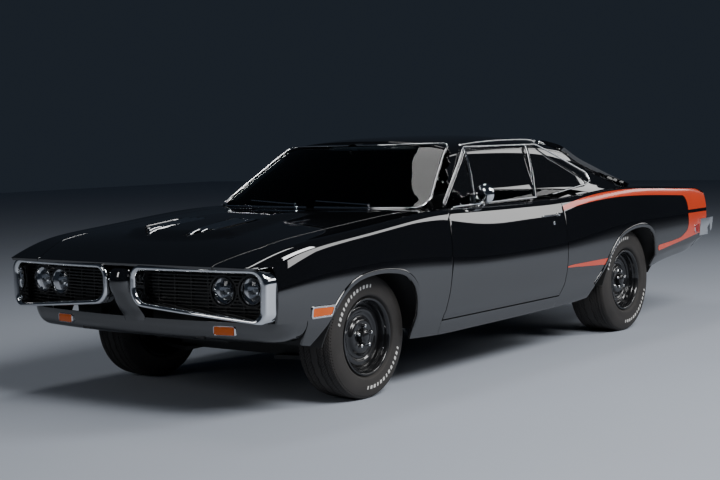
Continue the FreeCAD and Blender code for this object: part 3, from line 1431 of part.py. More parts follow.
# Cabin
dash_front_x = firewall_x - firewall_sheet - seat_gap
dash_shares = ((1.000, 0.672), (0.808, 0.668), (0.768, 0.634), (0.788, 0.570), (0.838, 0.500), (0.940, 0.470),
               (1.000, 0.500))
dash_half = 776.0
wheel_radius = 190.0
wheel_rim = 11.0
wheel_centre = (front_axle_x - 1100.0, 372.0, 916.0)
column_tilt = 24.0
column_radius = 24.0
column_length = 400.0
wheel_hub = 34.0
seat_round = 44.0


def build_dashboard():
    """Dashboard across the cabin with the steering column."""
    outline = [(dash_front_x * along, -dash_half, up * height) for along, up in dash_shares]
    panel = prism(outline, (0, 2 * dash_half, 0))
    tilt = math.radians(column_tilt)
    reach = Vector(math.cos(tilt), 0, -math.sin(tilt))
    start = Vector(*wheel_centre) + reach * (wheel_hub + seat_gap)
    column = cylinder(column_radius, start, start + reach * column_length)
    return fuse(panel, column)


def build_steering_wheel():
    """Thin rimmed steering wheel with its hub and three spokes."""
    centre = Vector(*wheel_centre)
    tilt = math.radians(column_tilt)
    axis = Vector(math.cos(tilt), 0, -math.sin(tilt))
    rim = Part.makeTorus(wheel_radius, wheel_rim, centre, axis)
    hub = Part.makeCylinder(wheel_hub, wheel_hub, centre, axis)
    side = Vector(0, 1, 0)
    down = axis.cross(side)
    if down.z > 0:
        down = down * -1
    spokes = []
    for direction in (side, side * -1, down):
        spokes.append(Part.makeCylinder(spoke_radius, wheel_radius, centre + axis * wheel_rim, direction))
    return fuse(rim, hub, *spokes)


spoke_radius = 8.0
seat_width = 500.0
seat_depth = 500.0
seat_height = 180.0
seat_back_height = 620.0
seat_back_thickness = 150.0
seat_lean = 16.0
front_seat_x = front_axle_x - 1360.0
front_seat_y = 396.0
front_seat_z = floor_z + floor_sheet + 60.0
rear_seat_x = seat_riser_x + 250.0
rear_seat_depth = 450.0
rear_seat_half = 570.0
rear_seat_z = boot_floor_z - 26.0
rear_seat_height = 140.0
rear_seat_back_height = 480.0
rear_seat_back_thickness = 120.0
rear_seat_base_x = seat_riser_x + moving_gap
rear_seat_base_depth = 150.0


def soft_block(size, low_corner):
    """Block with rounded edges."""
    block = Part.makeBox(*size, Vector(*low_corner))
    return block.makeFillet(seat_round, block.Edges)


def build_seats():
    """Two front bucket seats on their bases and the rear bench."""
    x, y, z = front_seat_x, front_seat_y, front_seat_z
    cushion = soft_block((seat_depth, seat_width, seat_height), (x - seat_depth, y - seat_width / 2, z))
    back = soft_block((seat_back_thickness, seat_width, seat_back_height),
                      (x - seat_depth - seat_back_thickness / 2, y - seat_width / 2, z + seat_round))
    back.rotate(Vector(x - seat_depth, y, z + seat_height), Vector(0, 1, 0), -seat_lean)
    base = box((x - seat_depth + seat_round, y - seat_width / 2 + seat_round, floor_z + floor_sheet + seat_gap),
               (x - seat_round, y + seat_width / 2 - seat_round, z + seat_round))
    front = fuse(cushion, back, base)
    x, z = rear_seat_x, rear_seat_z
    bench = soft_block((rear_seat_depth, 2 * rear_seat_half, rear_seat_height),
                       (x - rear_seat_depth, -rear_seat_half, z))
    rest = soft_block((rear_seat_back_thickness, 2 * rear_seat_half, rear_seat_back_height),
                      (x - rear_seat_depth - rear_seat_back_thickness / 2, -rear_seat_half, z + seat_round))
    rest.rotate(Vector(x - rear_seat_depth, 0, z + rear_seat_height), Vector(0, 1, 0), -seat_lean)
    riser = box((rear_seat_base_x, -rear_seat_half + seat_round, floor_z + floor_sheet + seat_gap),
                (rear_seat_base_x + rear_seat_base_depth, rear_seat_half - seat_round, z + seat_round))
    rear = fuse(bench, rest, riser).cut(tunnel_prism(-seat_gap, floor_z))
    return group([front, mirrored(front), rear])


def save(name, shape):
    """Write one sub-part as a STEP file."""
    if len(shape.Solids) == 1:
        shape = shape.Solids[0]
    shape.exportStep(f"parts/{name}.step")


def save_pair(name, left):
    """Write a left sub-part and its mirror image on the right."""
    save(f"{name}_left", left)
    save(f"{name}_right", mirrored(left))


def main():
    """Build and write every sub-part."""
    save("bumper_loops", build_bumper_loops())
    save("front_valance", build_front_valance())
    save("grille", build_grille())
    save("front_lamps", build_front_lamps())
    save("tail_panels", group([build_tail_panel(), build_deck_panel()]))
    save("rear_lamps", build_rear_lamps())
    save("rear_bumper", build_rear_bumper())
    save("floor_pan", build_floor_pan())
    save("firewall", build_firewall())
    save("boot_floor", build_boot_floor())
    save("engine", build_engine())
    save("radiator", build_radiator())
    save("gearbox", build_gearbox())
    save("exhaust", build_exhaust())
    save("fuel_tank", build_fuel_tank())
    save("dashboard", build_dashboard())
    save("steering_wheel", build_steering_wheel())
    save("seats", build_seats())
    save_pair("knuckle", build_knuckle())
    beam, upper = build_front_suspension()
    save("front_suspension", group([beam, upper, mirrored(upper)]))
    save("rear_axle", build_rear_axle())
    save_pair("fender", build_fender())
    save("cowl", build_cowl())
    save("hood", build_hood())
    save("roof", build_roof())
    save_pair("quarter", build_quarter())
    save("deck_lid", build_deck_lid())
    save("fixed_glass", group([build_windscreen(), build_rear_window(), build_quarter_glass()]))
    save("window_trims", build_window_trims())
    door = build_door()
    save_pair("door", door)
    save_pair("door_glass", build_door_glass(door))
    frames, handle = build_door_trim(door)
    save("door_trim_left", group(frames + [handle, build_mirror(door)]))
    save("door_trim_right", group([mirrored(shape) for shape in frames + [handle]]))
    for end, x, track, radius, tyre_width, lip_width in (
            ("front", front_axle_x, front_track, front_tyre_radius, front_tyre_width, front_rim_width),
            ("rear", rear_axle_x, rear_track, rear_tyre_radius, rear_tyre_width, rear_rim_width)):
        save_pair(f"rim_{end}", build_rim(x, track / 2, radius, lip_width))
        save_pair(f"tyre_{end}", build_tyre(x, track / 2, radius, radius, tyre_width, lip_width))


if __name__ == "__main__":
    main()
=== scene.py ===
"""Looks of a two-door muscle car of about 1970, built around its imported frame.

Frame: +X forward, +Y to the driver's (left) side, +Z up, in metres. The painted panels are fine sheets of the
same body surface that the frame's solids are cut from, so each one has the size and place of its solid.
"""

import logging
import math
from dataclasses import dataclass, field
from enum import Enum
from typing import Callable, Sequence

import bpy
import numpy as np
from mathutils import Matrix, Vector


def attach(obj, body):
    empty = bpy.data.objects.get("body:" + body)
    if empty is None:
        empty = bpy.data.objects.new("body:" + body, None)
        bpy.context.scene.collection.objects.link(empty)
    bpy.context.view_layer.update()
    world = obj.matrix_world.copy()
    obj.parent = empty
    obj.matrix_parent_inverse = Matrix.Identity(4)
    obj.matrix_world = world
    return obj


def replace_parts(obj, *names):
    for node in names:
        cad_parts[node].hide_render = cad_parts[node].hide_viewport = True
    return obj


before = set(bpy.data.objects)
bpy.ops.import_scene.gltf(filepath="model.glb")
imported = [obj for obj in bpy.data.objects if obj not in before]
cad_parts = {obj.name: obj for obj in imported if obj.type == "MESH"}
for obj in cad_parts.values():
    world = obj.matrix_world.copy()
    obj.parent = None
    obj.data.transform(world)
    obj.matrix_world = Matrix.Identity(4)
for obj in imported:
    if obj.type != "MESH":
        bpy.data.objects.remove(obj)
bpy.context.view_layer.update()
log = logging.getLogger("muscle_car")

Region = Callable[[np.ndarray], np.ndarray]


class Side(Enum):
    """Side of the car, as the sign of its Y."""

    LEFT = 1
    RIGHT = -1

    @property
    def word(self) -> str:
        """Name of the side as the frame's nodes spell it."""
        return self.name.lower()


class Slot(Enum):
    """Material slots of the record, passed with the new pieces but not used in building them."""

    PAINT = "body_paint"
    CHROME = "chrome_trim"
    CLEAR = "clear_lens"
    RED = "red_lens"
    DASH = "dash_black"
    SEAT = "seat_vinyl"
    RIM = "rim_black"
    TYRE = "tyre_rubber"


@dataclass(frozen=True)
class CarSize:
    """Driving sizes of the car, with the places that follow from them."""

    length: float = 5.326
    width: float = 1.948
    height: float = 1.388
    wheelbase: float = 2.972
    front_overhang: float = 0.985
    front_tyre_radius: float = 0.331
    rear_tyre_radius: float = 0.355
    front_track: float = 1.516
    rear_track: float = 1.504
    skin: float = 0.014
    seam: float = 0.007
    moving_gap: float = 0.009
    overrun: float = 0.060

    @property
    def half_width(self) -> float:
        """Half of the width."""
        return self.width / 2

    @property
    def nose_x(self) -> float:
        """Place of the nose."""
        return self.length / 2

    @property
    def tail_x(self) -> float:
        """Place of the tail."""
        return -self.length / 2

    @property
    def front_axle_x(self) -> float:
        """Place of the front axle."""
        return self.nose_x - self.front_overhang

    @property
    def rear_axle_x(self) -> float:
        """Place of the rear axle."""
        return self.front_axle_x - self.wheelbase


CAR = CarSize()


class ShareCurve:
    """Smooth line through rows of shares, without overshoot between them."""

    def __init__(self, rows: Sequence[tuple[float, float]], place_scale: float, value_scale: float) -> None:
        """Scale the rows and work out the slopes.

        Args:
            rows: Pairs of place share and value share.
            place_scale: Size that the places are shares of.
            value_scale: Size that the values are shares of.
        """
        rows = sorted(rows)
        self.places = np.array([row[0] for row in rows]) * place_scale
        self.values = np.array([row[1] for row in rows]) * value_scale
        slopes = np.diff(self.values) / np.diff(self.places)
        self.tangents = np.zeros(len(rows))
        self.tangents[0], self.tangents[-1] = slopes[0], slopes[-1]
        for i in range(1, len(rows) - 1):
            product = slopes[i - 1] * slopes[i]
            if product > 0:
                self.tangents[i] = 2 * product / (slopes[i - 1] + slopes[i])

    def __call__(self, place: np.ndarray | float) -> np.ndarray:
        """Value at one or many places.

        Args:
            place: Places along the line.

        Returns:
            The line's value at each place.
        """
        place = np.clip(np.asarray(place, float), self.places[0], self.places[-1])
        i = np.clip(np.searchsorted(self.places, place, side="right") - 1, 0, len(self.places) - 2)
        span = self.places[i + 1] - self.places[i]
        t = (place - self.places[i]) / span
        start = self.values[i] * (1 + 2 * t) * (1 - t) ** 2 + self.tangents[i] * span * t * (1 - t) ** 2
        end = self.values[i + 1] * t * t * (3 - 2 * t) - self.tangents[i + 1] * span * t * t * (1 - t)
        return start + end


def bezier(poles: Sequence[Sequence[float]], t: np.ndarray) -> np.ndarray:
    """Points on a Bezier curve.

    Args:
        poles: The curve's poles.
        t: Parameters from 0 to 1.

    Returns:
        One point for each parameter.
    """
    poles = np.asarray(poles, float)
    degree = len(poles) - 1
    total = np.zeros((len(t), poles.shape[1]))
    for k, pole in enumerate(poles):
        total += (math.comb(degree, k) * t ** k * (1 - t) ** (degree - k))[:, None] * pole
    return total


class StationSpline:
    """Natural cubic spline through sections at even stations."""

    def __init__(self, places: np.ndarray, rows: np.ndarray) -> None:
        """Solve the spline's second derivatives.

        Args:
            places: Even places of the sections, rising.
            rows: One row of numbers for each section.
        """
        self.start, self.step = places[0], places[1] - places[0]
        self.rows = rows
        count = len(places)
        matrix = np.zeros((count, count))
        matrix[0, 0] = matrix[-1, -1] = 1
        right = np.zeros_like(rows)
        for i in range(1, count - 1):
            matrix[i, i - 1:i + 2] = (1, 4, 1)
            right[i] = 6 * (rows[i + 1] - 2 * rows[i] + rows[i - 1])
        self.bends = np.linalg.solve(matrix, right.reshape(count, -1)).reshape(rows.shape)

    def __call__(self, place: np.ndarray) -> np.ndarray:
        """Rows at any places between the first and the last section.

        Args:
            place: Places along the car.

        Returns:
            The interpolated rows.
        """
        along = np.clip((place - self.start) / self.step, 0, len(self.rows) - 1.000001)
        i = along.astype(int)
        b = along - i
        shape = (-1,) + (1,) * (self.rows.ndim - 1)
        a, b = (1 - b).reshape(shape), b.reshape(shape)
        curve = (a ** 3 - a) * self.bends[i] + (b ** 3 - b) * self.bends[i + 1]
        return a * self.rows[i] + b * self.rows[i + 1] + curve / 6


@dataclass
class Sheet:
    """Open surface of polygons that regions trim."""

    points: np.ndarray
    faces: list[tuple[int, ...]]

    @classmethod
    def grid(cls, points: np.ndarray, closed: bool = False) -> "Sheet":
        """Sheet from rows and columns of points.

        Args:
            points: Array of rows, columns and coordinates.
            closed: Whether the last row joins the first.

        Returns:
            The sheet.
        """
        rows, columns = points.shape[:2]
        faces = []
        for i in range(rows if closed else rows - 1):
            base, after = i * columns, (i + 1) % rows * columns
            faces += [(base + j, base + j + 1, after + j + 1, after + j) for j in range(columns - 1)]
        return cls(points.reshape(-1, 3), faces)

    def trim(self, *regions: Region) -> "Sheet":
        """Keep what lies where every region is positive.

        Args:
            regions: Functions of points, positive where the sheet stays.

        Returns:
            The trimmed sheet.
        """
        sheet = self
        for region in regions:
            sheet = sheet._trim_one(region)
        return sheet

    def _trim_one(self, region: Region) -> "Sheet":
        """Cut the sheet along one region's zero line.

        Args:
            region: Function of points, positive where the sheet stays.

        Returns:
            The part on the positive side.
        """
        if not self.faces:
            return self
        values = region(self.points)
        values = np.where(np.abs(values) < 1e-7, 1e-7, values)
        points = list(self.points)
        cuts: dict[tuple[int, int], int] = {}
        faces = []
        flags = values > 0
        for face in self.faces:
            kept = [flags[i] for i in face]
            if all(kept):
                faces.append(face)
                continue
            if not any(kept):
                continue
            corners = []
            for i, j, in_i, in_j in zip(face, face[1:] + face[:1], kept, kept[1:] + kept[:1]):
                if in_i:
                    corners.append(i)
                if in_i != in_j:
                    key = (min(i, j), max(i, j))
                    if key not in cuts:
                        share = values[key[0]] / (values[key[0]] - values[key[1]])
                        cuts[key] = len(points)
                        points.append(self.points[key[0]] * (1 - share) + self.points[key[1]] * share)
                    corners.append(cuts[key])
            if len(corners) > 2:
                faces.append(tuple(corners))
        return Sheet(np.array(points), faces).compact()

    def compact(self) -> "Sheet":
        """Drop the points that no face uses.

        Returns:
            The sheet with its points numbered anew.
        """
        if not self.faces:
            return Sheet(np.zeros((0, 3)), [])
        used = sorted({i for face in self.faces for i in face})
        place = {old: new for new, old in enumerate(used)}
        return Sheet(self.points[used], [tuple(place[i] for i in face) for face in self.faces])

    def largest(self) -> "Sheet":
        """Keep only the connected piece with the most faces.

        Returns:
            The piece.
        """
        parent = list(range(len(self.points)))

        def root(i: int) -> int:
            """Point that stands for a point's whole piece.

            Args:
                i: The point.

            Returns:
                The piece's own point.
            """
            while parent[i] != i:
                parent[i] = parent[parent[i]]
                i = parent[i]
            return i

        for face in self.faces:
            first = root(face[0])
            for i in face[1:]:
                parent[root(i)] = first
        counts: dict[int, int] = {}
        for face in self.faces:
            key = root(face[0])
            counts[key] = counts.get(key, 0) + 1
        if not counts:
            return self
        best = max(counts, key=counts.get)
        return Sheet(self.points, [face for face in self.faces if root(face[0]) == best]).compact()

    def welded(self, digits: int = 7) -> "Sheet":
        """The sheet with coincident points joined.

        Args:
            digits: Decimals to which two points agree.

        Returns:
            The joined sheet, without faces that have shrunk to a line.
        """
        keys: dict[tuple[float, ...], int] = {}
        place = [keys.setdefault(tuple(np.round(point, digits) + 0.0), i) for i, point in enumerate(self.points)]
        faces = []
        for face in self.faces:
            corners = [place[i] for i in face]
            corners = [i for i, j in zip(corners, corners[1:] + corners[:1]) if i != j]
            if len(corners) > 2:
                faces.append(tuple(corners))
        return Sheet(self.points, faces).compact()

    def mirrored(self) -> "Sheet":
        """The same sheet on the other side of the car."""
        return Sheet(self.points * np.array((1, -1, 1)), [face[::-1] for face in self.faces])

    def on(self, side: Side) -> "Sheet":
        """A left side's sheet as it is on either side."""
        return self if side is Side.LEFT else self.mirrored()

    def on_both(self) -> "Sheet":
        """The sheet together with its mirror image."""
        return self.joined(self.mirrored())

    @staticmethod
    def of(sheets: Sequence["Sheet"]) -> "Sheet":
        """One sheet from a row of them."""
        return sheets[0].joined(*sheets[1:])

    def joined(self, *others: "Sheet") -> "Sheet":
        """One sheet from this one and others.

        Args:
            others: The sheets that follow this one.

        Returns:
            The sheet with every face, in their order.
        """
        points, faces, shift = [self.points], list(self.faces), len(self.points)
        for other in others:
            points.append(other.points)
            faces += [tuple(i + shift for i in face) for face in other.faces]
            shift += len(other.points)
        return Sheet(np.concatenate(points), faces)

    def normals(self) -> np.ndarray:
        """Area-weighted normals.

        Returns:
            One normal for each point.
        """
        total = np.zeros_like(self.points)
        by_size: dict[int, list[tuple[int, ...]]] = {}
        for face in self.faces:
            by_size.setdefault(len(face), []).append(face)
        for size, group in by_size.items():
            index = np.array(group)
            corners = self.points[index]
            normal = np.zeros((len(group), 3))
            for k in range(1, size - 1):
                normal += np.cross(corners[:, k] - corners[:, 0], corners[:, k + 1] - corners[:, 0])
            for k in range(size):
                np.add.at(total, index[:, k], normal)
        return total / np.maximum(np.linalg.norm(total, axis=1), 1e-12)[:, None]

    def rim(self) -> list[tuple[int, int]]:
        """Directed edges that only one face has.

        Returns:
            Their pairs of points, in the faces' order.
        """
        edges = {edge: True for face in self.faces for edge in zip(face, face[1:] + face[:1])}
        return [(i, j) for i, j in edges if (j, i) not in edges]

    def lifted(self, height: float) -> "Sheet":
        """The sheet moved along its normals."""
        return Sheet(self.points + self.normals() * height, self.faces)

    def shell(self, thickness: float, roll: float = 0.0015) -> "Sheet":
        """Closed panel: the sheet, its rolled edge and its inside.

        Args:
            thickness: Depth of the panel.
            roll: Radius of the rolled edge.

        Returns:
            The panel.
        """
        normals = self.normals()
        outward = np.zeros_like(self.points)
        edges = self.rim()
        for i, j in edges:
            along = self.points[j] - self.points[i]
            away = np.cross(along, normals[i] + normals[j])
            size = np.linalg.norm(away)
            if size > 1e-12:
                outward[i] += away / size
                outward[j] += away / size
        rim_points = sorted({i for edge in edges for i in edge})
        place = {old: new for new, old in enumerate(rim_points)}
        away = outward[rim_points]
        away /= np.maximum(np.linalg.norm(away, axis=1), 1e-9)[:, None]
        base, up = self.points[rim_points], normals[rim_points]
        rings = [base + away * roll * 0.7 - up * roll * 0.3, base + away * roll - up * roll,
                 base + away * roll - up * thickness]
        count = len(self.points)
        points = np.concatenate([self.points, *rings, self.points - normals * thickness])
        width = len(rim_points)
        starts = [count, count + width, count + 2 * width]
        inside = count + 3 * width
        faces = list(self.faces)
        faces += [tuple(i + inside for i in face[::-1]) for face in self.faces]
        for i, j in edges:
            a, b = place[i], place[j]
            faces.append((j, i, starts[0] + a, starts[0] + b))
            for low, high in zip(starts, starts[1:]):
                faces.append((low + b, low + a, high + a, high + b))
            faces.append((starts[-1] + b, starts[-1] + a, inside + i, inside + j))
        return Sheet(points, faces)

    def build(self, name: str, material: bpy.types.Material, body: str, slot: Slot | None = None,
              sharp: float = 40.0) -> bpy.types.Object:
        """Make the Blender piece.

        Args:
            name: Name of the piece.
            material: Its material.
            body: Frame body that it rides on.
            slot: Not used.
            sharp: Angle in degrees over which an edge is sharp.

        Returns:
            The piece.
        """
        mesh = bpy.data.meshes.new(name)
        mesh.from_pydata(self.points.tolist(), [], self.faces)
        mesh.update()
        mesh.validate()
        mesh.shade_smooth()
        mesh.set_sharp_from_angle(angle=math.radians(sharp))
        mesh.materials.append(material)
        piece = bpy.data.objects.new(name, mesh)
        bpy.context.scene.collection.objects.link(piece)
        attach(piece, body)
        log.info("%s: %d faces", name, len(self.faces))
        return piece


def rounded_outline(corners: Sequence[tuple[float, float]], radii: Sequence[float], steps: int = 8) -> np.ndarray:
    """Closed outline through corners, each rounded by an arc of its own radius.

    Args:
        corners: The outline's corners in a plane.
        radii: Radius at each corner.
        steps: Spans of each arc.

    Returns:
        Points along the outline.
    """
    points = np.asarray(corners, float)
    outline = []
    for i, point in enumerate(points):
        before, after = points[i - 1] - point, points[(i + 1) % len(points)] - point
        before, after = before / np.linalg.norm(before), after / np.linalg.norm(after)
        half = math.acos(float(np.clip(before @ after, -1, 1))) / 2
        inward = (before + after) / np.linalg.norm(before + after)
        centre = point + inward * radii[i] / math.sin(half)
        start = point + before * radii[i] / math.tan(half) - centre
        end = point + after * radii[i] / math.tan(half) - centre
        for k in range(steps + 1):
            spoke = start * (1 - k / steps) + end * (k / steps)
            outline.append(centre + spoke / max(np.linalg.norm(spoke), 1e-9) * radii[i])
    return np.array(outline)


def inside_outline(places: np.ndarray, outline: np.ndarray) -> np.ndarray:
    """Distance of places from a closed outline, positive inside.

    Args:
        places: Places in the outline's plane.
        outline: Closed row of points.

    Returns:
        Signed distances.
    """
    best = np.full(len(places), 1e9)
    inside = np.zeros(len(places), bool)
    for a, b in zip(outline, np.roll(outline, -1, axis=0)):
        edge = b - a
        size = edge @ edge
        if size < 1e-16:
            continue
        t = np.clip(((places - a) @ edge) / size, 0, 1)
        best = np.minimum(best, np.linalg.norm(places - a - t[:, None] * edge, axis=1))
        crosses = (a[1] > places[:, 1]) != (b[1] > places[:, 1])
        if crosses.any() and abs(edge[1]) > 1e-16:
            at = a[0] + (places[:, 1] - a[1]) / edge[1] * edge[0]
            inside ^= crosses & (places[:, 0] < at)
    return np.where(inside, best, -best)


def arc_sag(sweep: float, y: np.ndarray, reach: float) -> np.ndarray:
    """How far an arc across the car lies behind its middle.

    Args:
        sweep: How far its ends lie aft.
        y: Places across the car.
        reach: Place of its ends.

    Returns:
        The distances aft.
    """
    radius = (reach ** 2 + sweep ** 2) / (2 * sweep)
    return radius - np.sqrt(np.maximum(radius ** 2 - np.minimum(np.abs(y), radius) ** 2, 0))


BODY_LINE_SHARES = (
    (0.506, 0.929, 0.873, 0.885, 0.284, 0.366, 0.542, 0.532, 0.539),
    (0.478, 0.959, 0.903, 0.922, 0.279, 0.360, 0.576, 0.566, 0.581),
    (0.446, 0.973, 0.919, 0.939, 0.274, 0.341, 0.612, 0.604, 0.618),
    (0.409, 0.983, 0.927, 0.953, 0.251, 0.328, 0.634, 0.625, 0.645),
    (0.362, 0.990, 0.934, 0.963, 0.227, 0.317, 0.650, 0.643, 0.666),
    (0.315, 0.994, 0.937, 0.965, 0.216, 0.308, 0.666, 0.657, 0.681),
    (0.259, 0.997, 0.940, 0.962, 0.205, 0.297, 0.686, 0.673, 0.693),
    (0.193, 0.999, 0.943, 0.947, 0.196, 0.295, 0.700, 0.690, 0.703),
    (0.090, 1.000, 0.945, 0.924, 0.198, 0.304, 0.700, 0.706, 0.712),
    (-0.010, 1.000, 0.945, 0.924, 0.201, 0.314, 0.696, 0.709, 0.715),
    (-0.102, 0.998, 0.943, 0.943, 0.209, 0.324, 0.700, 0.713, 0.720),
    (-0.198, 0.996, 0.940, 0.961, 0.245, 0.339, 0.716, 0.722, 0.731),
    (-0.248, 0.994, 0.938, 0.961, 0.270, 0.349, 0.719, 0.723, 0.732),
    (-0.318, 0.988, 0.929, 0.955, 0.310, 0.364, 0.712, 0.719, 0.729),
    (-0.398, 0.975, 0.916, 0.943, 0.342, 0.389, 0.697, 0.706, 0.718),
    (-0.462, 0.961, 0.903, 0.929, 0.375, 0.411, 0.680, 0.688, 0.699),
    (-0.506, 0.947, 0.891, 0.912, 0.461, 0.483, 0.652, 0.659, 0.666),
)
"""Body lines: share of length, then widest, sill and shoulder as shares of the half width, and sill,
lower crease, shoulder, deck edge and centre line as shares of the height."""


@dataclass
class BodySurface:
    """The lower body's outer surface: sections along the car, from the centre line down to the sill."""

    crease_tuck: float = 0.012
    shoulder_round: float = 0.046
    edge_line_share: float = 0.76
    station_count: int = 18
    top_points: int = 34
    shoulder_points: int = 9
    side_points: int = 34
    low_points: int = 6
    grid_pitch: float = 0.016

    def __post_init__(self) -> None:
        """Build the sections' spline."""
        scales = [CAR.half_width] * 3 + [CAR.height] * 5
        names = ("widest", "sill_y", "shoulder_y", "sill_z", "crease_z", "shoulder_z", "edge_z", "centre_z")
        self.lines = {
            name: ShareCurve([(row[0], row[column + 1]) for row in BODY_LINE_SHARES], CAR.length, scale)
            for column, (name, scale) in enumerate(zip(names, scales))
        }
        reach = BODY_LINE_SHARES[0][0] * CAR.length
        self.places = np.linspace(-reach, reach, self.station_count)
        self.spline = StationSpline(self.places, np.array([self.section(x) for x in self.places]))

    def section(self, x: float) -> np.ndarray:
        """Half section at one station.

        Args:
            x: Place along the car.

        Returns:
            Points (y, z) from the centre line down to the sill.
        """
        line = {name: float(curve(x)) for name, curve in self.lines.items()}
        crease = np.array((line["widest"] - self.crease_tuck, line["crease_z"]))
        sill = np.array((line["sill_y"], line["sill_z"]))
        shoulder = np.array((line["shoulder_y"], line["shoulder_z"]))
        rise = shoulder[1] - crease[1]
        bulge_y = (8 * line["widest"] - crease[0] - shoulder[0]) / 6
        low_bulge = np.array((bulge_y, crease[1] + rise * 0.30))
        high_bulge = np.array((bulge_y, crease[1] + rise * 0.64))
        down = high_bulge - shoulder
        side_end = shoulder + down / np.linalg.norm(down) * self.shoulder_round
        edge = np.array((CAR.half_width * self.edge_line_share, line["edge_z"]))
        inward = edge - shoulder
        top_end = shoulder + inward / np.linalg.norm(inward) * self.shoulder_round
        top_pole = (0.0, (16 * line["centre_z"] - 2 * top_end[1] - 8 * edge[1]) / 6)
        flip = np.array((-1, 1))
        top = bezier((top_end, edge, top_pole, edge * flip, top_end * flip), np.linspace(0.5, 0, self.top_points))
        turn = bezier((top_end, shoulder, side_end), np.linspace(0, 1, self.shoulder_points))
        side = bezier((side_end, high_bulge, low_bulge, crease), np.linspace(0, 1, self.side_points))
        low = bezier((crease, sill), np.linspace(0, 1, self.low_points))
        return np.concatenate([top, turn[1:], side[1:], low[1:]])

    def sheet(self, rear: float, front: float, pitch: float | None = None) -> Sheet:
        """Left half of the surface between two places along the car.

        Args:
            rear: Rear end.
            front: Front end.
            pitch: Step along the car.

        Returns:
            The sheet, with its faces outward.
        """
        count = max(int((front - rear) / (pitch or self.grid_pitch)), 2)
        places = np.linspace(rear, front, count)
        rows = self.spline(places)
        grid = np.zeros(rows.shape[:2] + (3,))
        grid[:, :, 0] = places[:, None]
        grid[:, :, 1:] = rows
        return Sheet.grid(grid[::-1])

    def outline(self, x: float) -> np.ndarray:
        """Half section at any place, as points (y, z)."""
        return self.spline(np.array([x]))[0]


GLASSHOUSE_LINE_SHARES = (
    (0.660, 0.2090, 0.1930, -0.3060, -0.2400, 0.905, 0.930, 0.905),
    (0.709, 0.1985, 0.1820, -0.2880, -0.2270, 0.850, 0.904, 0.870),
    (0.755, 0.1850, 0.1660, -0.2430, -0.2140, 0.812, 0.868, 0.835),
    (0.804, 0.1710, 0.1490, -0.2100, -0.1990, 0.776, 0.832, 0.795),
    (0.852, 0.1560, 0.1310, -0.1790, -0.1800, 0.742, 0.793, 0.750),
    (0.915, 0.1355, 0.1075, -0.1530, -0.1560, 0.696, 0.736, 0.695),
    (0.957, 0.1210, 0.0900, -0.1360, -0.1410, 0.655, 0.688, 0.645),
    (1.010, 0.1020, 0.0680, -0.1150, -0.1230, 0.600, 0.640, 0.590),
)
"""Glasshouse lines: share of height, then windscreen centre and corner, rear corner and centre as shares of
length, and front corner, side and rear corner as shares of the half width."""

ROOF_LINE_SHARES = (
    (0.160, 0.955),
    (0.109, 0.982),
    (0.070, 0.993),
    (-0.004, 1.000),
    (-0.080, 0.996),
    (-0.126, 0.982),
    (-0.190, 0.940),
)
"""Roof crown: share of length, share of height at the centre line."""


